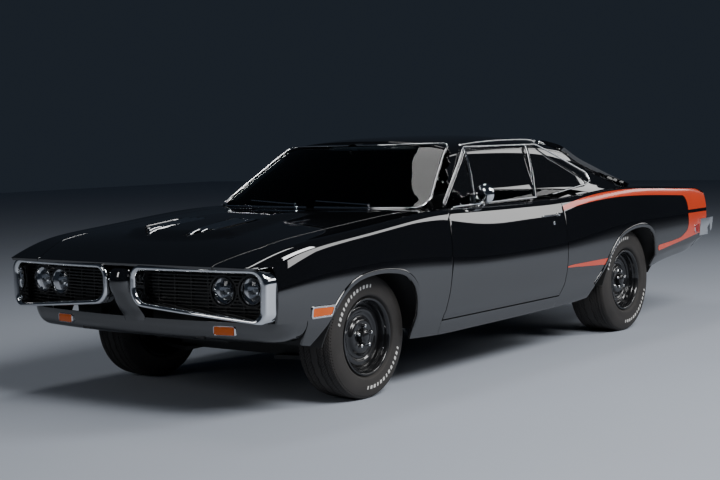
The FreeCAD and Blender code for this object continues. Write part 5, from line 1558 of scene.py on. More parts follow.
@dataclass
class BodyPanels:
    """Painted panels of the lower body."""

    finishes: Finishes
    surface: BodySurface
    house: HouseSurface
    cuts: Cuts
    door_shell: float = 0.006
    door_zone: tuple[float, float] = (-0.5, 1.2)
    rocker_lift: float = 0.0008
    skin_match: float = 0.004
    pillar_rise: float = 0.010
    bulge_height: float = 0.026
    bulge_places: tuple[float, ...] = (1.10, 1.67, 2.17, 2.36)
    bulge_half_widths: tuple[float, ...] = (0.250, 0.290, 0.385, 0.250)
    bulge_side_run: float = 0.055
    bulge_nose_bow: float = 0.5
    bulge_nose_run: float = 0.16
    bulge_rear_x: float = 1.17
    bulge_rear_run: float = 0.5
    vent_corners: tuple[tuple[float, float], ...] = (
        (2.295, 0.135), (1.852, 0.095), (1.852, 0.300), (2.130, 0.312))
    vent_rounds: tuple[float, ...] = (0.012, 0.015, 0.015, 0.030)

    def fender(self) -> Sheet:
        """Left front fender.

        Returns:
            Its sheet.
        """
        cuts = self.cuts
        joint = CAR.nose_x - cuts.valance_joint_back
        return self.surface.sheet(cuts.hood_rear_x - 0.35, CAR.nose_x + 0.02).trim(
            lambda p: -cuts.hood(p, -CAR.seam / 2),
            cuts.behind_nose,
            cuts.clear_of_loops,
            lambda p: np.maximum.reduce([np.abs(p[:, 1]) - cuts.cowl_side_y,
                                         p[:, 0] - cuts.hood_rear_x - CAR.overrun, cuts.cabin_z - p[:, 2]]),
            lambda p: -cuts.behind_front_seam(p) - CAR.moving_gap,
            lambda p: -inside_outline(p[:, (0, 2)], cuts.front_arch),
            lambda p: np.maximum(joint - p[:, 0], p[:, 2] - cuts.valance_top - CAR.seam),
            lambda p: cuts.belt_top_share * CAR.height - p[:, 2],
        ).largest()

    def bulge(self, x: np.ndarray, y: np.ndarray) -> np.ndarray:
        """Height of the hood's power bulge above the plain surface.

        Args:
            x: Places along the car.
            y: Places across the car.

        Returns:
            One height for each place.
        """
        half = np.interp(x, self.bulge_places, self.bulge_half_widths)
        nose_x = self.bulge_places[-1] - self.bulge_nose_bow * np.abs(y) ** 2
        side = np.clip((half - np.abs(y)) / self.bulge_side_run + 0.5, 0, 1)
        nose = np.clip((nose_x - x) / self.bulge_nose_run, 0, 1)
        rear = np.clip((x - self.bulge_rear_x) / self.bulge_rear_run, 0, 1)
        share = side * side * (3 - 2 * side) * nose * nose * (3 - 2 * nose) * rear * rear * (3 - 2 * rear)
        return share * self.bulge_height

    def hood_z(self, x: float, y: float) -> float:
        """Height of the hood's surface, bulge included, at one place."""
        row = self.surface.outline(x)[:self.surface.top_points]
        return float(np.interp(abs(y), row[:, 0], row[:, 1]) + self.bulge(np.array([x]), np.array([y]))[0])

    def hood(self) -> Sheet:
        """Both halves of the hood, with its bulge and the vents' openings.

        Returns:
            Its sheet.
        """
        cuts = self.cuts
        vent = rounded_outline(self.vent_corners, self.vent_rounds, 6)
        left = self.surface.sheet(cuts.hood_rear_x - 0.05, CAR.nose_x + 0.02, 0.010).trim(
            lambda p: cuts.hood(p, CAR.seam / 2),
            cuts.behind_nose,
            lambda p: p[:, 2] - cuts.loop_top - CAR.moving_gap,
            lambda p: -inside_outline(p[:, :2], vent),
        ).largest()
        left.points[:, 2] += self.bulge(left.points[:, 0], left.points[:, 1])
        return self.whole(left)

    def cowl(self) -> Sheet:
        """Both halves of the cowl.

        Returns:
            Its sheet.
        """
        cuts = self.cuts
        left = self.surface.sheet(cuts.hood_rear_x - 0.5, cuts.hood_rear_x + 0.08).trim(
            lambda p: -cuts.hood(p, -CAR.seam / 2),
            lambda p: cuts.cowl_side_y - CAR.seam - np.abs(p[:, 1]),
            lambda p: p[:, 2] - cuts.cabin_z,
            cuts.outside_cabin,
        ).largest()
        return self.whole(left)

    def door(self) -> Sheet:
        """Left door's outer skin.

        Returns:
            Its sheet.
        """
        cuts = self.cuts
        return self.surface.sheet(*self.door_zone).trim(
            cuts.behind_front_seam,
            cuts.ahead_of_rear_seam,
            lambda p: p[:, 2] - cuts.door_bottom,
            lambda p: p[:, 1] - cuts.door_inner_y,
        ).largest()

    def rocker(self) -> Sheet:
        """Left rocker below the door.

        Returns:
            Its sheet.
        """
        cuts = self.cuts
        return self.surface.sheet(*self.door_zone).trim(
            lambda p: cuts.behind_front_seam(p) + CAR.moving_gap,
            lambda p: cuts.ahead_of_rear_seam(p) + CAR.moving_gap,
            lambda p: cuts.door_bottom - CAR.moving_gap - p[:, 2],
        ).largest()

    def quarter(self) -> Sheet:
        """Left quarter panel.

        Returns:
            Its sheet.
        """
        cuts = self.cuts
        return self.surface.sheet(CAR.tail_x - 0.01, 0.1).trim(
            lambda p: -cuts.ahead_of_rear_seam(p) - CAR.moving_gap,
            lambda p: -inside_outline(p[:, (0, 2)], cuts.rear_arch),
            cuts.outside_cabin,
            lambda p: -cuts.deck_box(p),
            lambda p: -cuts.lid(p, -CAR.seam / 2),
            cuts.ahead_of_tail,
            lambda p: p[:, 1] - CAR.seam,
        ).largest()

    def deck_filler(self) -> Sheet:
        """Both halves of the panel between the rear window and the deck lid.

        Returns:
            Its sheet.
        """
        cuts = self.cuts
        left = self.surface.sheet(cuts.lid_front_x - 0.05, cuts.deck_front_share * CAR.length).trim(
            cuts.deck_box,
            lambda p: -cuts.lid(p, -CAR.seam / 2),
            cuts.outside_cabin,
        ).largest()
        return self.whole(left)

    def deck_lid(self) -> Sheet:
        """Both halves of the deck lid.

        Returns:
            Its sheet.
        """
        cuts = self.cuts
        left = self.surface.sheet(CAR.tail_x - 0.01, cuts.lid_front_x + 0.2).trim(
            lambda p: cuts.lid(p, CAR.seam / 2),
            cuts.ahead_of_tail,
        ).largest()
        return self.whole(left)

    def whole(self, left: Sheet) -> Sheet:
        """A left half and its mirror image, welded on the centre line.

        Args:
            left: The left half.

        Returns:
            The whole.
        """
        both = left.on_both()
        keys: dict[tuple[int, ...], int] = {}
        place = []
        for i, point in enumerate(both.points):
            on_centre = abs(point[1]) < 1e-6
            key = tuple(np.round(point * 1e6).astype(int)) if on_centre else (i, 0, 0, 0)
            place.append(keys.setdefault(key, i))
        return Sheet(both.points, [tuple(place[i] for i in face) for face in both.faces]).compact()

    def build(self) -> None:
        """Make every painted panel."""
        paint = self.finishes.get(BLACK_PAINT)
        for name, sheet in (("hood", self.hood()), ("deck_lid", self.deck_lid())):
            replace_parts(sheet.shell(CAR.skin).build(f"{name}_panel", paint, name, Slot.PAINT), name)
        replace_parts(self.cowl().shell(CAR.skin).build("cowl_panel", paint, "root", Slot.PAINT), "cowl")
        for side in Side:
            for name, sheet, body in (("fender", self.fender(), "root"), ("quarter", self.quarter(), "root"),
                                      ("door", self.door(), f"door_{side.word}")):
                node = f"{name}_{side.word}"
                panel = sheet.on(side).shell(self.door_shell if name == "door" else CAR.skin)
                if name != "fender":
                    panel = panel.joined(self.inner_faces(node))
                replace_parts(panel.build(f"{node}_panel", paint, body, Slot.PAINT), node)
            rocker = self.rocker().on(side).lifted(self.rocker_lift).shell(self.door_shell)
            rocker.build(f"rocker_{side.word}", paint, "root", Slot.PAINT)
        tail = self.deck_filler().shell(CAR.skin).joined(self.inner_faces("tail_panels"))
        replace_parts(tail.build("tail_and_filler", paint, "root", Slot.PAINT), "tail_panels")

    def inner_faces(self, node: str) -> Sheet:
        """The frame's faces of a node, without those on the body's outer surface.

        Args:
            node: Name of the node.

        Returns:
            What the fine skin doesn't stand for.
        """
        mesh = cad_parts[node].data
        points = np.array([vertex.co[:] for vertex in mesh.vertices])
        rows = self.surface.spline(points[:, 0])
        near = np.empty(len(points))
        for i, row in enumerate(rows):
            place = np.array((abs(points[i, 1]), points[i, 2]))
            starts, spans = row[:-1], np.diff(row, axis=0)
            t = np.clip(((place - starts) * spans).sum(1) / np.maximum((spans ** 2).sum(1), 1e-12), 0, 1)
            near[i] = np.linalg.norm(place - starts - spans * t[:, None], axis=1).min()
        high = height_above(self.surface, points)
        faces = [tuple(polygon.vertices) for polygon in mesh.polygons
                 if max(near[i] for i in polygon.vertices) > self.skin_match
                 and not (min(high[i] for i in polygon.vertices) > -self.skin_match
                          and max(high[i] for i in polygon.vertices) > self.pillar_rise)]
        return Sheet(points, faces).compact()


def height_above(surface: BodySurface, points: np.ndarray) -> np.ndarray:
    """Height of points above the top of the lower body.

    Args:
        surface: The lower body's surface.
        points: The points.

    Returns:
        One height for each point, negative below the surface.
    """
    rows = surface.spline(points[:, 0])[:, :surface.top_points + surface.shoulder_points - 1]
    tops = np.array([np.interp(abs(point[1]), row[:, 0], row[:, 1]) for point, row in zip(points, rows)])
    return points[:, 2] - tops


@dataclass
class Greenhouse:
    """Roof skin with the windscreen pillars and the broad rear pillars."""

    finishes: Finishes
    surface: BodySurface
    house: HouseSurface
    panels: BodyPanels
    screen_start_share: float = 0.085
    back_start_share: float = -0.080
    side_reach: float = 0.42
    belt_gap: float = 0.003
    wall_depth: float = 0.028
    roof_depth: float = 0.020
    crown_inset: float = 0.0001
    crown_pitch: float = 0.016

    def belt_strip(self) -> np.ndarray:
        """Outline of the strip below the door's glass, which the roof leaves free.

        Returns:
            Its corners (x, z).
        """
        (front_x, sill_z), (end_x, end_z) = side_places(SIDE_WINDOW.corners[:2])
        lean = (front_x - end_x) / (end_z - sill_z)
        low = self.panels.cuts.cabin_z
        top = self.panels.cuts.belt_top_share * CAR.height
        rear_x = float(self.panels.cuts.rear_seam(top)) - CAR.moving_gap
        return np.array([(rear_x, low), (front_x + lean * (sill_z - low), low),
                         (front_x - lean * CAR.seam, sill_z + CAR.seam), (rear_x, sill_z + CAR.seam)])

    def walls(self) -> Sheet:
        """Left half of the pillars.

        Returns:
            Their sheet.
        """
        side, belt = SIDE_WINDOW.outline(), self.belt_strip()
        screen, back = WINDSCREEN.outline(), REAR_WINDOW.outline()
        screen_start_x, back_start_x = self.screen_start_share * CAR.length, self.back_start_share * CAR.length
        rear_seam_x = float(self.panels.cuts.rear_seam(CAR.height * self.panels.cuts.belt_top_share))
        return self.house.walls(0.0, 90).trim(
            self.house.below_crown(),
            lambda p: np.maximum(-inside_outline(p[:, (0, 2)], side), self.side_reach - p[:, 1]),
            lambda p: np.maximum(-inside_outline(p[:, (1, 2)], screen), screen_start_x - p[:, 0]),
            lambda p: np.maximum(-inside_outline(p[:, (1, 2)], back), p[:, 0] - back_start_x),
            lambda p: np.maximum(-inside_outline(p[:, (0, 2)], belt), self.side_reach - p[:, 1]),
            lambda p: (height_above(self.surface, p)
                       + np.where(p[:, 0] < rear_seam_x, self.belt_gap, -self.belt_gap)),
        ).largest()

    def build(self) -> None:
        """Make the roof with its pillars as one painted shell."""
        walls = self.panels.whole(self.walls()).shell(self.wall_depth)
        crown = self.house.crown(self.crown_inset, self.crown_pitch).trim(self.house.within_walls())
        roof = self.panels.whole(crown.largest()).shell(self.roof_depth)
        paint = self.finishes.get(BLACK_PAINT)
        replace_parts(walls.joined(roof).build("roof_and_pillars", paint, "root", Slot.PAINT), "roof")


def flank_y(surface: BodySurface, x: float, z: float) -> float:
    """Half width of the lower body's flank at one place."""
    below = surface.outline(x)[surface.top_points:]
    return float(np.interp(-z, -below[:, 1], below[:, 0]))


@dataclass
class ArchLips:
    """Rolled lips round the wheel arches."""

    finishes: Finishes
    surface: BodySurface
    cuts: Cuts
    steps: tuple[tuple[float, float], ...] = ((0.0, -0.004), (0.0, 0.001), (0.006, 0.003), (0.013, 0.0048),
                                              (0.020, 0.0060), (0.024, 0.0052), (0.027, 0.0025), (0.029, -0.001))
    front_low: float = 0.510
    sill_margin: float = 0.060
    flank_limit: float = 0.9780

    def lip(self, outline: np.ndarray, centre: tuple[float, float]) -> Sheet:
        """One lip on the left flank.

        Args:
            outline: The arch's outline (x, z), front to rear.
            centre: The wheel's centre (x, z).

        Returns:
            The lip.
        """
        sills = self.surface.lines["sill_z"](outline[:, 0]) + self.sill_margin
        ahead = outline[:, 0] > centre[0]
        low = np.where(ahead & (centre[0] > 0), self.front_low, sills)
        run = outline[outline[:, 1] > low]
        along = np.gradient(run, axis=0)
        normal = np.stack([along[:, 1], -along[:, 0]], axis=1) / np.linalg.norm(along, axis=1)[:, None]
        away = np.sign(((run - np.array(centre)) * normal).sum(1))[:, None]
        normal = normal * away
        grid = np.zeros((len(run), len(self.steps), 3))
        for k, (out, rise) in enumerate(self.steps):
            place = run + normal * out
            grid[:, k, 0], grid[:, k, 2] = place[:, 0], place[:, 1]
            grid[:, k, 1] = [min(flank_y(self.surface, x, z) + rise, self.flank_limit) for x, z in place]
        return Sheet.grid(grid[::-1])

    def build(self) -> None:
        """Make the four lips."""
        paint = self.finishes.get(BLACK_PAINT)
        for end, outline, centre in (("front", self.cuts.front_arch, (CAR.front_axle_x, CAR.front_tyre_radius)),
                                     ("rear", self.cuts.rear_arch, (CAR.rear_axle_x, CAR.rear_tyre_radius))):
            lip = self.lip(outline, centre)
            for side in Side:
                lip.on(side).build(f"arch_lip_{end}_{side.word}", paint, "root", Slot.PAINT, 60)


def lathe(profile: Sequence[tuple[float, float]], centre: tuple[float, float], steps: int = 96,
          closed: bool = True, turn: float = 0.0) -> Sheet:
    """Ring of a profile about an axle that runs across the car.

    Args:
        profile: Places (radius, y), rising in y on the outside.
        centre: The axle's x and z.
        steps: Steps round the axle.
        closed: Whether the profile's end joins its start.
        turn: Angle of the first step in radians.

    Returns:
        The ring.
    """
    rows = np.array(list(profile) + ([profile[0]] if closed else []), float)
    angles = turn + np.linspace(0, 2 * math.pi, steps, endpoint=False)
    grid = np.zeros((steps, len(rows), 3))
    grid[:, :, 0] = centre[0] + rows[None, :, 0] * np.cos(angles)[:, None]
    grid[:, :, 1] = rows[None, :, 1]
    grid[:, :, 2] = centre[1] + rows[None, :, 0] * np.sin(angles)[:, None]
    return Sheet.grid(grid, closed=True)


def softened(profile: Sequence[tuple[float, float]], radius: float, steps: int = 3) -> list[tuple[float, float]]:
    """Closed profile with each corner cut by a small curve.

    Args:
        profile: Corners of the profile.
        radius: Most that a corner is cut along its edges.
        steps: Spans of each curve.

    Returns:
        The softened profile.
    """
    points = np.asarray(profile, float)
    result = []
    for i, point in enumerate(points):
        before, after = points[i - 1] - point, points[(i + 1) % len(points)] - point
        reach = min(radius, np.linalg.norm(before) * 0.45, np.linalg.norm(after) * 0.45)
        start = point + before / max(np.linalg.norm(before), 1e-9) * reach
        end = point + after / max(np.linalg.norm(after), 1e-9) * reach
        result += [tuple(p) for p in bezier((start, point, end), np.linspace(0, 1, steps + 1))]
    return result


def tube(path: np.ndarray, radius: float, sides: int = 10, closed: bool = False, flat: float = 1.0) -> Sheet:
    """Round or flattened bar along a path.

    Args:
        path: Points along its middle.
        radius: Half thickness across.
        sides: Sides of its section.
        closed: Whether the path joins its start.
        flat: Share of the radius along the second axis.

    Returns:
        The bar, with its ends closed.
    """
    path = np.asarray(path, float)
    if closed:
        along = np.roll(path, -1, axis=0) - np.roll(path, 1, axis=0)
    else:
        along = np.gradient(path, axis=0)
    along /= np.linalg.norm(along, axis=1)[:, None]
    guide = np.array((0.0, 1.0, 0.0)) if abs(along[:, 1]).mean() < 0.8 else np.array((0.0, 0.0, 1.0))
    second = np.cross(along, guide)
    second /= np.linalg.norm(second, axis=1)[:, None]
    first = np.cross(second, along)
    angles = np.linspace(0, 2 * math.pi, sides + 1)
    ring = np.cos(angles)[None, :, None] * first[:, None] + np.sin(angles)[None, :, None] * second[:, None] * flat
    grid = path[:, None] + ring * radius
    sheet = Sheet.grid(grid, closed)
    if closed:
        return sheet.welded()
    count = sides + 1
    last = (len(path) - 1) * count
    caps = [tuple(range(sides)), tuple(last + i for i in range(sides - 1, -1, -1))]
    return Sheet(sheet.points, sheet.faces + caps).welded()


def block(low: Sequence[float], high: Sequence[float], soft: float = 0.002) -> Sheet:
    """Box with softened edges along its longest side's outline.

    Args:
        low: Lowest corner.
        high: Highest corner.
        soft: How far the corners are cut.

    Returns:
        The box.
    """
    low, high = np.asarray(low, float), np.asarray(high, float)
    axis = int(np.argmax(high - low))
    a, b = [i for i in range(3) if i != axis]
    outline = softened([(low[a], low[b]), (high[a], low[b]), (high[a], high[b]), (low[a], high[b])], soft)
    rings = []
    for place, inset in ((low[axis], soft), (low[axis] + soft, 0), (high[axis] - soft, 0), (high[axis], soft)):
        centre = (low + high) / 2
        ring = np.zeros((len(outline) + 1, 3))
        for k, (u, v) in enumerate(outline + outline[:1]):
            ring[k, a] = u - math.copysign(min(inset, abs(u - centre[a])), u - centre[a])
            ring[k, b] = v - math.copysign(min(inset, abs(v - centre[b])), v - centre[b])
            ring[k, axis] = place
        rings.append(ring)
    grid = np.array(rings)
    sheet = Sheet.grid(grid)
    count = len(outline) + 1
    last = (len(rings) - 1) * count
    faces = [face[::-1] for face in sheet.faces] if axis != 1 else sheet.faces
    first_cap, last_cap = tuple(range(len(outline))), tuple(last + i for i in range(len(outline) - 1, -1, -1))
    caps = [first_cap, last_cap] if axis == 1 else [first_cap[::-1], last_cap[::-1]]
    return Sheet(sheet.points, faces + caps).welded()


@dataclass
class Wheel:
    """One wheel: its stepped steel rim with nuts and cap, and its tyre."""

    finishes: Finishes
    side: Side
    end: str
    axle_x: float
    track: float
    radius: float
    tyre_width: float
    rim_width: float
    hub_y: float = 0.800
    rim_radius: float = 0.1905
    lip_radius: float = 0.208
    bolt_circle: float = 0.05715
    nut_count: int = 5
    tread_depth: float = 0.007
    tyre_steps: int = 480
    grooves: tuple[tuple[float, float], ...] = ((-0.56, 0.0030), (-0.20, 0.0036), (0.20, 0.0036), (0.56, 0.0030))
    groove_swing: float = 0.006
    slot_share: float = 0.13
    rib_shares: tuple[float, float] = (0.70, 0.93)
    rib_width: float = 0.0012
    rib_height: float = 0.0008
    bar_shares: tuple[float, float] = (0.785, 0.845)
    bar_starts: tuple[float, ...] = (20.0, 200.0)
    bar_count: int = 13
    bar_pitch: float = 6.2
    bar_rise: float = 0.0012

    @property
    def body(self) -> str:
        """Frame body that the wheel turns with."""
        return f"wheel_{self.end}_{self.side.word}"

    @property
    def centre(self) -> tuple[float, float]:
        """The axle's x and z."""
        return (self.axle_x, self.radius)

    def rim(self) -> Sheet:
        """Barrel and stepped disc.

        Returns:
            The left wheel's rim.
        """
        middle, half, mm = self.track / 2, self.rim_width / 2, 0.001
        lip, seat = self.lip_radius, self.rim_radius
        inside, well = seat - 0.014, seat - 0.030
        barrel = [(seat, -half + 0.012), (seat, -0.038), (well + 0.005, -0.019), (well + 0.005, 0.019),
                  (seat, 0.038), (seat, half - 0.012), (lip, half), (lip - 0.004, half + 0.005),
                  (lip - 0.013, half + 0.003), (lip - 0.020, half - 0.010), (seat - 0.006, half - 0.024),
                  (inside + 0.004, half - 0.030), (inside - 0.002, half - 0.060), (inside - 0.012, half - 0.066),
                  (well, 0.024), (well, -0.024), (inside, -0.038), (inside, -half + 0.012),
                  (lip - 0.005, -half - 0.005), (lip, -half)]
        ring = lathe([(r, middle + y) for r, y in softened(barrel, 0.004)], self.centre)
        disc = [(80, 18), (96, 2), (112, -2), (126, 6), (150, 6), (164, -6), (180, -8), (180, 4), (166, 6),
                (156, 18), (134, 20), (124, 12), (112, 10), (101, 14), (92, 26), (84, 30), (62, 30), (40, 30),
                (40, 18)]
        plate = lathe([(r * mm, self.hub_y + y * mm) for r, y in softened(disc, 5.0)], self.centre)
        return ring.joined(plate)

    def nuts(self) -> Sheet:
        """Bright domed hexagon nuts.

        Returns:
            All of them.
        """
        rows = [(0.0135, 0.030), (0.0135, 0.033), (0.0115, 0.036), (0.0112, 0.048), (0.0095, 0.0525),
                (0.006, 0.055), (0.0005, 0.056)]
        sheets = []
        for i in range(self.nut_count):
            angle = 2 * math.pi * i / self.nut_count
            place = (self.axle_x + self.bolt_circle * math.sin(angle),
                     self.radius + self.bolt_circle * math.cos(angle))
            sheets.append(lathe([(r, self.hub_y + y) for r, y in rows], place, 6, closed=False, turn=angle))
        return Sheet.of(sheets)

    def cap(self) -> Sheet:
        """Dark domed centre cap with its step.

        Returns:
            The cap.
        """
        rows = [(0.0395, 0.029), (0.0395, 0.050), (0.037, 0.054), (0.030, 0.0555), (0.028, 0.058), (0.020, 0.0605),
                (0.010, 0.062), (0.0005, 0.0625)]
        return lathe([(r, self.hub_y + y) for r, y in rows], self.centre, 64, closed=False)

    def tyre_profile(self) -> np.ndarray:
        """Smooth outline of the tyre from its inner bead to its outer bead.

        Returns:
            Points (radius, y).
        """
        half, bead, top = self.tyre_width / 2, self.rim_width / 2 - 0.0123, self.radius
        share = top / CAR.front_tyre_radius
        side = [(self.rim_radius + 0.0005, bead), (self.lip_radius + 0.003, bead + 0.005),
                (self.lip_radius + 0.014 * share, bead + (half - bead) * 0.80), (top * 0.745, half * 0.985),
                (top * 0.800, half * 0.995), (top * 0.860, half * 0.985), (top * 0.915, half * 0.950),
                (top * 0.948, half * 0.915), (top * 0.972, half * 0.880), (top * 0.986, half * 0.835)]
        crown = [(top * 0.9945, half * 0.70), (top * 0.9985, half * 0.40)]
        points = np.array([(r, -y) for r, y in side] + [(r, -y) for r, y in crown] + [(top * 0.9999, 0.0)]
                          + [(r, y) for r, y in reversed(crown)] + [(r, y) for r, y in reversed(side)])
        return smooth_through(points, 5)

    def tyre(self) -> Sheet:
        """Tyre with its tread blocks, shoulder lugs and sidewall ribs.

        Returns:
            The left wheel's tyre.
        """
        profile = self.tyre_profile()
        half = self.tyre_width / 2
        lengths = np.concatenate([[0], np.cumsum(np.linalg.norm(np.diff(profile, axis=0), axis=1))])
        tread = (np.abs(profile[:, 1]) < half * 0.90) & (profile[:, 0] > self.radius * 0.93)
        first, last = lengths[tread][0], lengths[tread][-1]
        marks = np.unique(np.concatenate([np.linspace(0, first, 26), np.linspace(first, last, 76),
                                          np.linspace(last, lengths[-1], 26)]))
        rows = np.stack([np.interp(marks, lengths, profile[:, k]) for k in range(2)], axis=1)
        angles = np.linspace(0, 2 * math.pi, self.tyre_steps, endpoint=False)
        radius, y = rows[None, :, 0], rows[None, :, 1]
        wave = np.abs((angles[:, None] * 30 / math.pi) % 2 - 1) * self.groove_swing
        depth = np.zeros((self.tyre_steps, len(rows)))
        for groove, width in self.grooves:
            depth = np.maximum(depth, np.abs(y - groove * half - wave + self.groove_swing / 2) < width)
        slot = ((angles[:, None] * 60 / math.pi + y * 60 * np.sign(y)) % 1) < self.slot_share
        depth = np.maximum(depth, slot * (np.abs(y) > half * 0.24) * (np.abs(y) < half * 0.94))
        zone = (radius > self.radius * 0.945)
        shown = np.where(zone, radius - depth * self.tread_depth, radius)
        across = np.where(zone & (depth > 0), y * (1 - 0.03 * (np.abs(y) > half * 0.80)), y)
        low_rib, high_rib = (np.exp(-((radius - self.radius * share) / self.rib_width) ** 2)
                             for share in self.rib_shares)
        across = across - np.sign(y) * self.rib_height * (low_rib + high_rib)
        grid = np.zeros((self.tyre_steps, len(rows), 3))
        grid[:, :, 0] = self.axle_x + shown * np.cos(angles)[:, None]
        grid[:, :, 1] = self.track / 2 + across
        grid[:, :, 2] = self.radius + shown * np.sin(angles)[:, None]
        return Sheet.grid(grid, closed=True)

    def bars(self) -> Sheet:
        """Plain raised white bars on the sidewall.

        Returns:
            The left wheel's bars.
        """
        profile = self.tyre_profile()
        outer = profile[profile[:, 1] > 0]
        order = np.argsort(outer[:, 0])
        low, high = (self.radius * share for share in self.bar_shares)
        us, vs = np.linspace(-1, 1, 7), np.linspace(0, 1, 5)
        sheets = []
        for start in self.bar_starts:
            for i in range(self.bar_count):
                angle = math.radians(start) + i * math.radians(self.bar_pitch)
                span = math.radians(2.0 if i % 3 else 1.3)
                grid = np.zeros((len(us), len(vs), 3))
                for a, u in enumerate(us):
                    for b, v in enumerate(vs):
                        r = low + (high - low) * v
                        y = np.interp(r, outer[order, 0], outer[order, 1])
                        rise = self.bar_rise * min(1, (1 - abs(u)) * 6, v * 8, (1 - v) * 8)
                        turn = angle + span * u + (v - 0.5) * math.radians(1.2)
                        grid[a, b] = (self.axle_x + r * math.cos(turn), self.track / 2 + y + rise - 0.0002,
                                      self.radius + r * math.sin(turn))
                sheets.append(Sheet.grid(grid[::-1]))
        return Sheet.of(sheets)

    def build(self) -> None:
        """Make the wheel's pieces."""
        name = f"{self.end}_{self.side.word}"
        for part, sheet, finish, slot, sharp, node in (
                ("rim", self.rim(), RIM_PAINT, Slot.RIM, 50, f"rim_{name}"),
                ("nuts", self.nuts(), CHROME, Slot.RIM, 30, None),
                ("cap", self.cap(), RIM_PAINT, Slot.RIM, 40, None),
                ("tyre", self.tyre(), RUBBER, Slot.TYRE, 30, f"tyre_{name}"),
                ("bars", self.bars(), WHITE_RUBBER, Slot.TYRE, 60, None)):
            look = self.finishes.get(finish)
            piece = sheet.on(self.side).build(f"wheel_{name}_{part}", look, self.body, slot, sharp)
            if node:
                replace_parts(piece, node)


